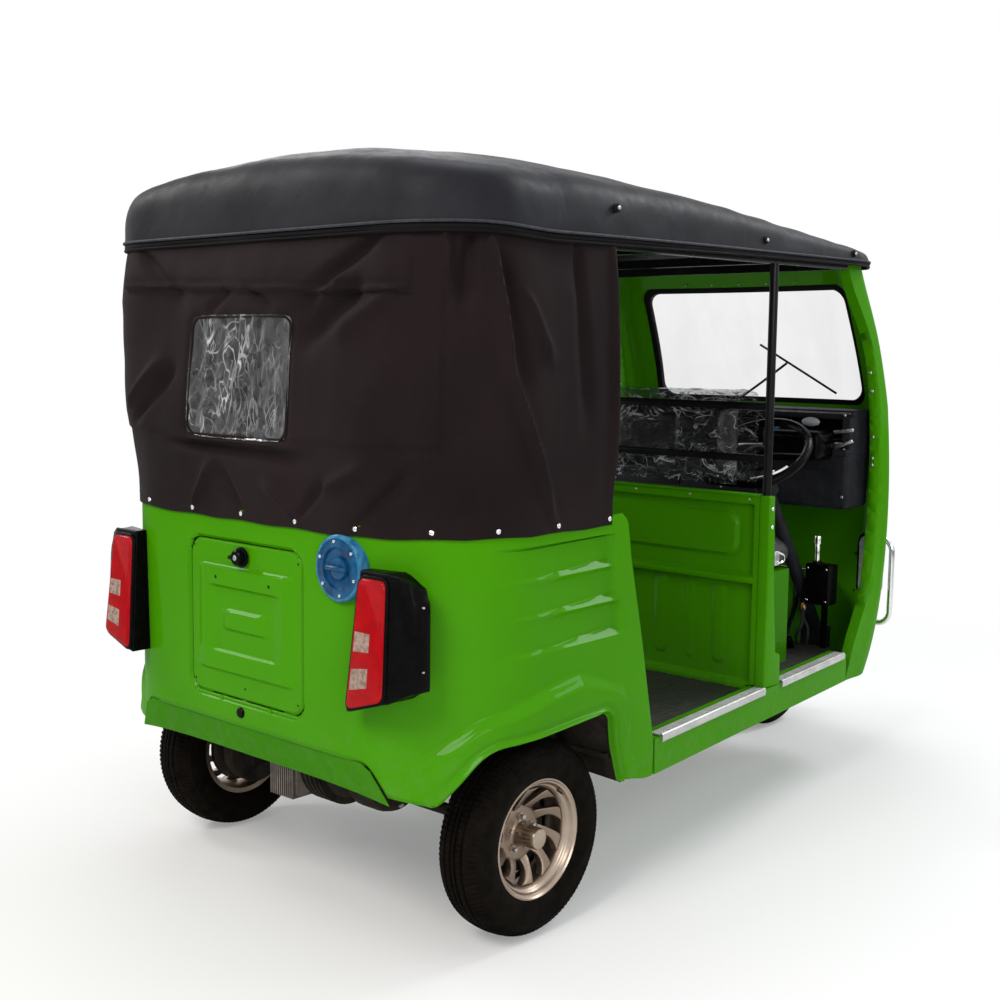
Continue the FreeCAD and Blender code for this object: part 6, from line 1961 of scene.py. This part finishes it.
@dataclass
class Cushion:
    """Stuffed seat part: swollen by simulation, then seamed and channelled."""

    name: str
    node: str
    low: Point
    high: Point
    round_edge: float
    channels: tuple[float, ...] = ()
    channel_depth: float = 0.010
    swell: float = 0.022
    shrink: float = 0.012
    front_axis: str = "z"
    proud: float = 0.016
    voxel: float = 0.0095
    frames: int = 20

    def start(self) -> bpy.types.Object:
        """Make the slightly smaller starting form."""
        s = self.shrink
        shape = Shape(self.name + "_form")
        shape.block(tuple(v + s for v in self.low), tuple(v - s for v in self.high), self.round_edge, 5)
        data = bpy.data.meshes.new(shape.name)
        shape.mesh.to_mesh(data)
        shape.mesh.free()
        form = bpy.data.objects.new(shape.name, data)
        bpy.context.scene.collection.objects.link(form)
        remesh = form.modifiers.new("even", "REMESH")
        remesh.mode, remesh.voxel_size = "VOXEL", self.voxel
        return self.applied(form)

    def applied(self, form: bpy.types.Object) -> bpy.types.Object:
        """Replace an object's mesh by what its modifiers make of it."""
        graph = bpy.context.evaluated_depsgraph_get()
        graph.update()
        data = bpy.data.meshes.new_from_object(form.evaluated_get(graph))
        form.modifiers.clear()
        form.data = data
        return form

    def swollen(self, form: bpy.types.Object) -> None:
        """Blow the form up as cloth under pressure and cap how far it moves."""
        before = [v.co.copy() for v in form.data.vertices]
        cloth = form.modifiers.new("stuffing", "CLOTH")
        settings = cloth.settings
        settings.quality = 4
        settings.use_pressure = True
        settings.uniform_pressure_force = 4.0
        settings.tension_stiffness = 12
        settings.compression_stiffness = 12
        settings.bending_stiffness = 0.6
        settings.effector_weights.gravity = 0.0
        cloth.collision_settings.use_collision = False
        scene = bpy.context.scene
        for step in range(1, self.frames + 1):
            scene.frame_set(step)
        graph = bpy.context.evaluated_depsgraph_get()
        after = [v.co.copy() for v in form.evaluated_get(graph).data.vertices]
        form.modifiers.clear()
        scene.frame_set(1)
        for vert, a, b in zip(form.data.vertices, before, after):
            move = b - a
            if move.length > self.swell:
                move *= self.swell / move.length
            vert.co = a + move

    def build(self) -> None:
        """Make the cushion."""
        form = self.start()
        self.swollen(form)
        shape = Shape(self.name)
        shape.mesh.from_mesh(form.data)
        bpy.data.objects.remove(form)
        middle = (Vector(self.low) + Vector(self.high)) / 2
        size = Vector(self.high) - Vector(self.low)
        across = 2 if self.front_axis == "z" else 1
        for vert in shape.mesh.verts:
            co = vert.co
            away = co - middle
            share = Vector((away.x / size.x * 2, away.y / size.y * 2, away.z / size.z * 2))
            # Sewn channels across the front of the pad.
            for x in self.channels:
                groove = math.exp(-((co.x - x) / 0.007) ** 2)
                co[across] -= math.copysign(groove * self.channel_depth * eased(abs(share[across]), 0.4, 0.8),
                                            away[across])
            # The border's seam runs round a little under the face.
            seam = math.exp(-((abs(share[across]) - 0.62) / 0.045) ** 2)
            rim = max(eased(abs(share.x), 0.93, 0.99), eased(abs(share[3 - across]), 0.86, 0.97))
            co.x -= math.copysign(0.0035 * seam * rim * eased(abs(share.x), 0.8, 1), away.x)
            small = wrinkle(co, 0.045, 2.2) * 0.0016 + wrinkle(co, 0.13, 5.5) * 0.003
            co += vert.normal * small
        proud = self.proud
        for vert in shape.mesh.verts:
            for i, least in enumerate((proud, proud, 0.0)):
                vert.co[i] = min(self.high[i] + proud, max(self.low[i] - least, vert.co[i]))
        piece = shape.done(Finish.SEAT, [self.node], 180)
        smooth = piece.modifiers.new("smooth", "SUBSURF")
        smooth.levels = smooth.render_levels = 1


@dataclass
class SeatWrap:
    """Clear wrapping film left on the driver's seat back, taut over the face and bunched at its ends."""

    low: Point = (-0.448, -0.243, 0.985)
    high: Point = (0.448, -0.135, 1.256)

    def build(self) -> None:
        """Make the film round the back's rear face and top."""
        shape = Shape("seat_wrap")
        x0, y0, z0 = self.low
        x1, y1, z1 = self.high

        def spot(a: float, b: float) -> Vector:
            """Place of a net point from its two shares."""
            x = x0 + (x1 - x0) * a
            # Round the section: up the rear face, over the top and down the front.
            loop = ((0.0, (y1, z0)), (0.40, (y1, z1 - 0.03)), (0.46, (y1 - 0.012, z1 - 0.008)),
                    (0.52, ((y0 + y1) / 2, z1)), (0.58, (y0 + 0.012, z1 - 0.008)), (0.64, (y0, z1 - 0.03)),
                    (1.0, (y0, z0)))
            y = along([(t, p[0]) for t, p in loop], b)
            z = along([(t, p[1]) for t, p in loop], b)
            end = eased(abs(a - 0.5) * 2, 0.86, 1.0)
            crease = abs(wrinkle(Vector((x * 0.6, z, y)), 0.045, 3)) * 0.006
            crease += abs(wrinkle(Vector((x, z * 0.35, 0)), 0.03, 5)) * 0.010 * end
            out = 1 if y > (y0 + y1) / 2 else -1
            return Vector((x, y + out * (0.001 + crease), z + (0.004 + crease if 0.42 < b < 0.62 else 0)))

        shape.net(150, 60, spot)
        area = shape.area()
        wrap = shape.done(Finish.WRAP_FILM, smooth=180)


@dataclass
class Cabin:
    """Cab shell, dashboard, steering wheel, column stalks, pedals, wiring, bolts and wiper."""

    dash_half: float = 0.476
    dash_back: float = -0.752
    knee_low: float = 0.862
    pocket_x: float = 0.30
    wheel_radius: float = 0.172

    # Height and rear edge of the front pillars.
    PILLAR_REAR = ((0.31, -0.715), (0.52, -0.775), (0.80, -0.806), (1.20, -0.800), (1.60, -0.672),
                   (1.654, -0.645))

    def dashboard(self) -> None:
        """Make the dashboard: lower panel, open tray, hood, lids and vents."""
        shape = Shape("dash_panel")
        half, face = self.dash_half, self.dash_back
        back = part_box("dashboard")[0].y + 0.005
        shape.block((-half, back + 0.11, self.knee_low), (half, face, 1.052), 0.018, 4)
        shape.block((-half + 0.03, face - 0.006, 0.985), (half - 0.03, face + 0.003, 0.990), 0.001, 1)
        shape.block((-half, back, 1.040), (half, face + 0.008, 1.060), 0.005, 2)
        shape.block((-half, back, 1.155), (half, face - 0.030, 1.186), 0.010, 3)
        shape.rod((-half + 0.01, face - 0.031, 1.176), (half - 0.01, face - 0.031, 1.176), 0.0035, sides=10,
                  tag=1)
        shape.block((-half, back, 1.050), (half, back + 0.060, 1.165), 0.004, 2)
        for x in (-half, -0.150, 0.150, half - 0.030):
            shape.block((x, back + 0.02, 1.050), (x + 0.030, face - 0.012, 1.165), 0.006, 2)
        x = self.pocket_x
        shape.block((x - 0.125, face - 0.004, 0.900), (x + 0.125, face + 0.005, 1.035), 0.004)
        shape.block((x - 0.030, face + 0.003, 1.010), (x + 0.030, face + 0.011, 1.024), 0.003)
        shape.block((-0.135, face - 0.006, 1.066), (0.135, face + 0.004, 1.150), 0.006, 2)
        for i in range(6):
            shape.block((-0.110, face + 0.002, 1.076 + i * 0.012), (0.110, face + 0.008, 1.081 + i * 0.012),
                        0.0015, 1)
        for x, z in ((-0.462, 0.905), (-0.462, 1.172), (0.462, 0.905), (0.462, 1.172), (0.0, 0.905),
                     (-0.462, 1.06)):
            shape.ball((x, face + 0.0005, z), 0.005, (1, 0.5, 1), 1, 2)
        shape.done((Finish.DASH_PLASTIC, Finish.STEEL), ["dashboard"], 40)
        clutter = Shape("tray_things")
        clutter.block((-0.400, -0.860, 1.064), (-0.300, -0.790, 1.085), 0.006, 3, (0, 4, 18), 0)
        clutter.pipe([(-0.44, -0.80, 1.068), (-0.36, -0.775, 1.075), (-0.28, -0.80, 1.068),
                      (-0.20, -0.83, 1.070)],
                     0.0045, 8, tag=1)
        clutter.pipe([(-0.42, -0.83, 1.070), (-0.35, -0.80, 1.100), (-0.27, -0.81, 1.085),
                      (-0.24, -0.78, 1.068)],
                     0.0035, 8, tag=2)
        for x, y, z, turn in ((-0.452, -0.772, 1.075, 24), (-0.40, -0.768, 1.088, -14),
                              (-0.455, -0.765, 1.120, 8)):
            clutter.block((x - 0.034, y - 0.004, z - 0.006), (x + 0.034, y + 0.010, z + 0.006), 0.003, 2,
                          (0, turn, 6), 1)
        clutter.ball((-0.330, -0.768, 1.145), 0.026, (1.3, 0.5, 0.6), 0, 3)
        clutter.block((-0.470, -0.850, 1.062), (-0.060, -0.770, 1.072), 0.004, 2, (0, 3, 8), 1)
        clutter.block((-0.200, -0.800, 1.100), (-0.130, -0.772, 1.128), 0.008, 3, (0, 20, 0), 3)
        clutter.done((Finish.HEAD_LENS, Finish.STEEL, Finish.WIRE, Finish.BLUE_RIM))

    def steering(self) -> None:
        """Make the flat-bottomed steering wheel on its own body."""
        joint = next(j for j in frame["joints"] if j["child"] == "steering_wheel")
        axis = Vector(joint["axis"]).normalized()
        if axis.z < 0:
            axis = -axis
        centre = Vector((-0.320, -0.440, 1.050))
        side = Vector((1, 0, 0))
        up = axis.cross(side).normalized()
        if up.y > 0:
            up = -up
        shape = Shape("steering_rim")
        r = self.wheel_radius

        def on_plane(x: float, y: float, out: float = 0.0) -> Point:
            """Point in the wheel's plane."""
            return tuple(centre + side * x + up * y + axis * out)

        flat = -0.80 * r
        ring = []
        for i in range(40):
            t = math.tau * i / 40
            x, y = r * math.cos(t), r * math.sin(t)
            if y < flat:
                y = flat + (y - flat) * 0.12
            ring.append(on_plane(x, y))
        shape.pipe(ring, 0.0135, 14, True, samples=3)
        for sign in (-1, 1):
            shape.pipe([on_plane(sign * 0.045, 0.004, -0.006), on_plane(sign * 0.10, 0.012, -0.008),
                        on_plane(sign * (r - 0.006), 0.004, 0)], 0.0115, 12, samples=4)
            shape.pipe([on_plane(sign * 0.150, -0.060, 0.012), on_plane(sign * 0.132, -0.112, 0.014),
                        on_plane(sign * 0.060, -0.134, 0.014)], 0.0048, 10, tag=1, samples=4)
        shape.pipe([on_plane(0, -0.03, -0.008), on_plane(0, -0.08, -0.009), on_plane(0, flat + 0.004, 0)],
                   0.011, 12, samples=4)
        shape.turned([(0, 0.012), (0.030, 0.011), (0.044, 0.006), (0.050, -0.004), (0.048, -0.020),
                      (0.030, -0.038), (0.0, -0.040)], centre, axis, 36)
        shape.done((Finish.BLACK_PLASTIC, Finish.CHROME), ["steering_wheel"], 45,
                   body="steering_wheel")

    def controls(self) -> None:
        """Make the stalks, instrument pod and key barrel that stay with the vehicle."""
        shape = Shape("column_controls")
        shape.block((-0.428, -0.762, 1.026), (-0.212, -0.648, 1.120), 0.022, 4)
        shape.block((-0.405, -0.652, 1.046), (-0.235, -0.642, 1.104), 0.008, 3)
        shape.pipe([(-0.235, -0.700, 1.112), (-0.200, -0.690, 1.150), (-0.168, -0.680, 1.170)], 0.0055, 10)
        shape.pipe([(-0.425, -0.700, 1.080), (-0.470, -0.700, 1.095), (-0.490, -0.695, 1.098)], 0.0055, 10)
        shape.ball((-0.166, -0.679, 1.171), 0.010, (1, 1, 1), 0, 2)
        shape.rod((-0.300, -0.60, 0.985), (-0.262, -0.585, 0.990), 0.011, 0.010, 20, 0.002, 2)
        shape.done((Finish.BLACK_PLASTIC, Finish.HEAD_LENS, Finish.CHROME), smooth=45)

    def pedals(self) -> None:
        """Make the pedal box with its rod, the two pedals and the loose wiring before them."""
        low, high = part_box("pedal_box")
        shape = Shape("pedal_fittings")
        x, y = (low.x + high.x) / 2 + 0.014, (low.y + high.y) / 2
        top = high.z + 0.078
        shape.block((x - 0.044, y - 0.030, top - 0.135), (x + 0.044, y + 0.032, top), 0.005, 3)
        shape.block((x - 0.010, y - 0.035, low.z), (x + 0.010, y - 0.023, top - 0.10), 0.002, 2)
        shape.block((x - 0.030, y - 0.055, low.z), (x + 0.030, y + 0.010, low.z + 0.006), 0.002, 2)
        shape.rod((x + 0.012, y + 0.01, top - 0.01), (x + 0.012, y + 0.01, top + 0.070), 0.0085, 0.008, 16,
                  0.001, 1)
        shape.rod((x + 0.012, y + 0.01, top + 0.066), (x + 0.012, y + 0.01, top + 0.094), 0.012, 0.011, 16,
                  0.002, 1)
        shape.rod((x + 0.012, y + 0.01, top - 0.005), (x + 0.012, y + 0.01, top + 0.008), 0.018, 0.016, 20,
                  0.002, 0)
        for dx in (-0.034, 0.034):
            for dz in (0.014, 0.121):
                shape.ball((x + dx, y + 0.0325, top - dz), 0.0042, (1, 0.5, 1), 1, 2)
        py, pz = -0.700, 0.370
        for px in (-0.300, -0.200):
            shape.block((px - 0.030, py - 0.012, pz), (px + 0.030, py + 0.010, pz + 0.062), 0.005, 2,
                        (-28, 0, 0))
            shape.pipe([(px, py - 0.004, pz + 0.055), (px, py - 0.055, pz + 0.13),
                        (px, py - 0.085, pz + 0.21)],
                       0.0085, 10)
        shape.pipe([(-0.36, -0.80, 0.62), (-0.33, -0.76, 0.55), (-0.345, -0.74, 0.47), (-0.30, -0.755, 0.41),
                    (-0.31, -0.79, 0.37)], 0.006, 10, tag=2)
        shape.pipe([(-0.34, -0.82, 0.66), (-0.30, -0.775, 0.58), (-0.325, -0.76, 0.50), (-0.37, -0.75, 0.44),
                    (-0.33, -0.77, 0.36)], 0.0045, 8, tag=2)
        shape.pipe([(-0.30, -0.81, 0.63), (-0.285, -0.78, 0.56), (-0.30, -0.765, 0.52)], 0.0035, 8, tag=3)
        shape.ball((-0.335, -0.757, 0.522), 0.012, (0.8, 0.8, 1.6), 4, 2)
        shape.done((Finish.BLACK_PLASTIC, Finish.CHROME, Finish.WIRE, Finish.BLUE_RIM, Finish.BRASS),
                   ["pedal_box"], 45)

    def shell(self) -> None:
        """Trim the cab shell's pillars slimmer than their plain form."""
        node = frame["nodes"]["cab_shell"]
        shape = Shape("cab_shell_panel")
        shape.mesh.from_mesh(node.data)
        bmesh.ops.remove_doubles(shape.mesh, verts=shape.mesh.verts, dist=0.00005)
        for vert in shape.mesh.verts:
            co = vert.co
            edge = along(self.PILLAR_REAR, co.z)
            share = eased(co.z, 0.40, 0.62) * (1 - eased(co.z, 1.38, 1.60)) * eased(abs(co.x), 0.44, 0.47)
            co.y -= 0.054 * share * eased(co.y, edge - 0.170, edge - 0.004)
        shape.done(Finish.GREEN, ["cab_shell"], 30)

    def trims(self) -> None:
        """Make the header rivets, the pillar bolts and the wiper."""
        shape = Shape("cab_fittings")
        for i in range(9):
            t = i / 8
            x = -0.44 + 0.88 * t
            shape.ball((x, -0.812 - 0.012 * (1 - (2 * t - 1) ** 2), 1.607), 0.0042, (1, 0.6, 1), 0, 1)
        for y, z in ((-0.765, 1.310), (-0.782, 1.250), (-0.801, 1.100), (-0.803, 1.030), (-0.803, 1.008)):
            shape.ball((0.512, y - 0.052, z), 0.0058, (1, 0.55, 1), 0, 2)
        shape.mirror()
        shape.done(Finish.STEEL)
        wiper = Shape("wiper")
        wiper.pipe([(0.105, -1.020, 1.205), (0.02, -1.022, 1.260), (-0.09, -1.012, 1.335)], 0.0045, 8)
        wiper.pipe([(-0.30, -0.990, 1.235), (-0.16, -1.008, 1.305), (0.02, -1.012, 1.400)], 0.0040, 8)
        wiper.rod((0.105, -1.005, 1.203), (0.105, -1.030, 1.203), 0.013, 0.011, 20, 0.002)
        wiper.done(Finish.BLACK_PLASTIC)

    def build(self) -> None:
        """Make everything in the cab."""
        self.shell()
        self.dashboard()
        self.steering()
        self.controls()
        self.pedals()
        self.trims()


# ---------------------------------------------------------------- studio and main
@dataclass
class Studio:
    """Camera, pale floor, backdrop world and soft lamps."""

    eye: Point = (-2.5719, 3.2565, 1.3647)
    yaw: float = 42.02
    pitch: float = 6.27
    roll: float = 0.68
    lens: float = 48.67
    floor_size: float = 60.0
    sky: float = 0.38

    def camera(self) -> None:
        """Place the camera."""
        yaw, pitch, roll = (math.radians(v) for v in (self.yaw, self.pitch, self.roll))
        level = Vector((math.sin(yaw), -math.cos(yaw), 0))
        ahead = level * math.cos(pitch) - Vector((0, 0, math.sin(pitch)))
        right = Vector((-math.cos(yaw), -math.sin(yaw), 0))
        up = right.cross(ahead)
        tilted = right * math.cos(roll) + up * math.sin(roll)
        raised = up * math.cos(roll) - right * math.sin(roll)
        data = bpy.data.cameras.new("studio_camera")
        data.lens, data.sensor_width, data.clip_end = self.lens, 36.0, 200.0
        camera = bpy.data.objects.new("studio_camera", data)
        camera.matrix_world = Matrix((tilted, raised, -ahead)).transposed().to_4x4()
        camera.location = self.eye
        bpy.context.scene.collection.objects.link(camera)
        bpy.context.scene.camera = camera

    def floor(self) -> None:
        """Lay the pale floor."""
        data = bpy.data.meshes.new("studio_floor")
        mesh = bmesh.new()
        bmesh.ops.create_grid(mesh, x_segments=1, y_segments=1, size=self.floor_size / 2)
        mesh.to_mesh(data)
        mesh.free()
        floor = bpy.data.objects.new("studio_floor", data)
        bpy.context.scene.collection.objects.link(floor)
        g = Graph("studio_floor_paper")
        g.surface(base=(0.80, 0.80, 0.80), roughness=0.9, specular=0.1)
        apart = g.node("VectorMath", {0: g.object_place}, operation="LENGTH").outputs["Value"]
        seen = g.math("MAXIMUM", g.node("LightPath").outputs["Is Camera Ray"],
                      g.node("LightPath").outputs["Is Transmission Ray"])
        share = g.math("MULTIPLY", g.range(apart, 1.2, 3.6, 0.25, 1), seen)
        glow = g.node("Emission", {"Color": (1.0, 1.0, 1.0), "Strength": 1.0})
        blend = g.node("MixShader", {0: share, 1: g.shader.outputs[0], 2: glow.outputs[0]})
        g.feed(g.output.inputs["Surface"], blend.outputs[0])
        data.materials.append(g.material)

    def lamp(self, name: str, place: Point, size: float, power: float, colour: Colour,
             target: Point = (0, 0, 0.8)) -> None:
        """Hang one soft square lamp that looks at a point."""
        data = bpy.data.lights.new(name, "AREA")
        data.shape, data.size, data.energy, data.color = "SQUARE", size, power, colour
        lamp = bpy.data.objects.new(name, data)
        lamp.location = place
        lamp.rotation_euler = (Vector(place) - Vector(target)).to_track_quat("Z", "Y").to_euler()
        bpy.context.scene.collection.objects.link(lamp)

    def light(self) -> None:
        """Light the vehicle softly, a little more from above and behind."""
        self.lamp("key_lamp", (-1.0, 5.2, 4.4), 2.0, 192, (1.0, 0.95, 0.88))
        self.lamp("side_lamp", (-3.9, -3.5, 3.4), 1.3, 38, (0.92, 0.96, 1.0))
        self.lamp("flank_lamp", (-4.4, 3.0, 2.4), 2.0, 62, (0.96, 0.98, 1.0), (-0.6, 0.9, 0.7))
        self.lamp("far_lamp", (4.8, -2.8, 3.6), 2.6, 60, (1.0, 1.0, 1.0))
        self.lamp("ledge_lamp", (-1.75, -3.9, 4.7), 1.7, 128, (0.96, 0.98, 1.0), (-0.66, 0.9, 0.8))
        self.lamp("crease_lamp", (4.6, 2.5, 4.2), 1.5, 95, (1.0, 0.98, 0.94), (0.0, 1.3, 0.7))
        self.lamp("top_lamp", (0.2, -0.2, 5.4), 2.4, 110, (0.92, 0.96, 1.0))

    def backdrop(self) -> None:
        """Make the world, which looks white and lights the vehicle more weakly."""
        world = bpy.data.worlds.new("studio_world")
        bpy.context.scene.world = world
        world.use_nodes = True
        tree = world.node_tree
        back = tree.nodes["Background"]
        back.inputs["Color"].default_value = (1, 1, 1, 1)
        path = tree.nodes.new("ShaderNodeLightPath")
        sharp = tree.nodes.new("ShaderNodeMath")
        sharp.operation = "MAXIMUM"
        tree.links.new(path.outputs["Is Glossy Ray"], sharp.inputs[0])
        tree.links.new(path.outputs["Is Transmission Ray"], sharp.inputs[1])
        any_seen = tree.nodes.new("ShaderNodeMath")
        any_seen.operation = "MAXIMUM"
        tree.links.new(path.outputs["Is Camera Ray"], any_seen.inputs[0])
        tree.links.new(sharp.outputs[0], any_seen.inputs[1])
        seen = tree.nodes.new("ShaderNodeMapRange")
        seen.inputs["To Min"].default_value = self.sky
        seen.inputs["To Max"].default_value = 1.0
        tree.links.new(any_seen.outputs[0], seen.inputs["Value"])
        tree.links.new(seen.outputs["Result"], back.inputs["Strength"])

    def build(self) -> None:
        """Make the whole studio."""
        self.camera()
        self.floor()
        self.light()
        self.backdrop()
        bpy.context.scene.view_settings.view_transform = "Standard"


def finish_nodes() -> None:
    """Give every carried CAD node its finish."""
    plain = {
        Finish.GREEN: ("cab_shell", "b_pillars", "sills", "lid_hinge", "rear_body", "rear_lid"),
        # Shaded inner and lower parts take the darker copy of the green as painted shade.
        Finish.DARK_GREEN: ("floor_pan", "partition", "front_wheel_house", "driver_seat_base",
                            "front_mudguard", "rear_apron"),
        Finish.CHASSIS: ("seat_box", "chassis_frame", "front_fork", "engine_block", "rear_axle_shafts",
                         "trailing_arms", "shock_absorbers"),
        Finish.BLACK_PAINT: ("partition_posts", "roof_frame", "headlamp_guards"),
        Finish.BLACK_PLASTIC: ("tail_lamp_housings", "pedal_box", "steering_wheel"),
        Finish.DASH_PLASTIC: ("dashboard", "steering_column"),
        Finish.ROOF: ("roof_cover",),
        Finish.SEAL: ("windscreen_gasket", "wheel_houses"),
        Finish.GLASS: ("windscreen",),
        Finish.TYRE: ("front_tyre", "rear_tyre_left", "rear_tyre_right"),
        Finish.ALLOY: ("front_rim", "rear_rim_left", "rear_rim_right"),
        Finish.RED_LENS: ("tail_lamp_lenses",),
        Finish.HEAD_LENS: ("headlamps",),
        Finish.BLUE_FILM: ("fuel_filler",),
        Finish.CANVAS: ("rear_curtain",),
        Finish.WINDOW_FILM: ("rear_window",),
        Finish.SEAT: ("driver_seat_cushion", "driver_seat_back", "passenger_seat_cushion",
                      "passenger_seat_back"),
    }
    for finish, names in plain.items():
        dressed(finish, *names)


CUSHIONS = (
    Cushion("driver_cushion", "driver_seat_cushion", (-0.44, -0.56, 0.690), (0.44, -0.146, 0.790), 0.030,
            (-0.22, 0.0, 0.22)),
    Cushion("driver_back", "driver_seat_back", (-0.44, -0.233, 0.975), (0.44, -0.145, 1.252), 0.032,
            (-0.22, 0.0, 0.22), front_axis="y"),
    Cushion("passenger_cushion", "passenger_seat_cushion", (-0.52, 0.685, 0.600), (0.52, 1.115, 0.735), 0.036,
            (-0.26, 0.0, 0.26)),
    Cushion("passenger_back", "passenger_seat_back", (-0.52, 1.095, 0.735), (0.52, 1.205, 1.190), 0.034,
            (-0.26, 0.0, 0.26), front_axis="y"),
)


def main() -> None:
    """Build the vehicle's pieces in order and report each one."""
    logging.basicConfig(level=logging.INFO, format="%(name)s %(message)s")
    finish_nodes()
    Studio().build()
    plan = TailPlan()
    tub = Tub(plan)
    tub.build()
    tub.trims()
    tub.liners()
    Lid().build()
    Apron().build()
    FuelFiller().build()
    for side in (-1, 1):
        TailLamp(side).build()
    RoofCap().build()
    Curtain().build()
    wheels = (Wheel("rear_left", "rear_left_wheel", (0.550, 0.925, 0.235), 1, "rear_tyre_left",
                    "rear_rim_left"),
              Wheel("rear_right", "rear_right_wheel", (-0.550, 0.925, 0.235), -1, "rear_tyre_right",
                    "rear_rim_right"),
              Wheel("front", "front_wheel", (0.0, -1.075, 0.235), 1, "front_tyre", "front_rim"))
    for wheel in wheels:
        wheel.build()
    gear = RunningGear()
    gear.drive_unit()
    gear.dampers()
    gear.lines()
    FrontEnd().build()
    Doorway().build()
    for cushion in CUSHIONS:
        cushion.build()
    SeatWrap().build()
    Cabin().build()


if __name__ == "__main__":
    main()
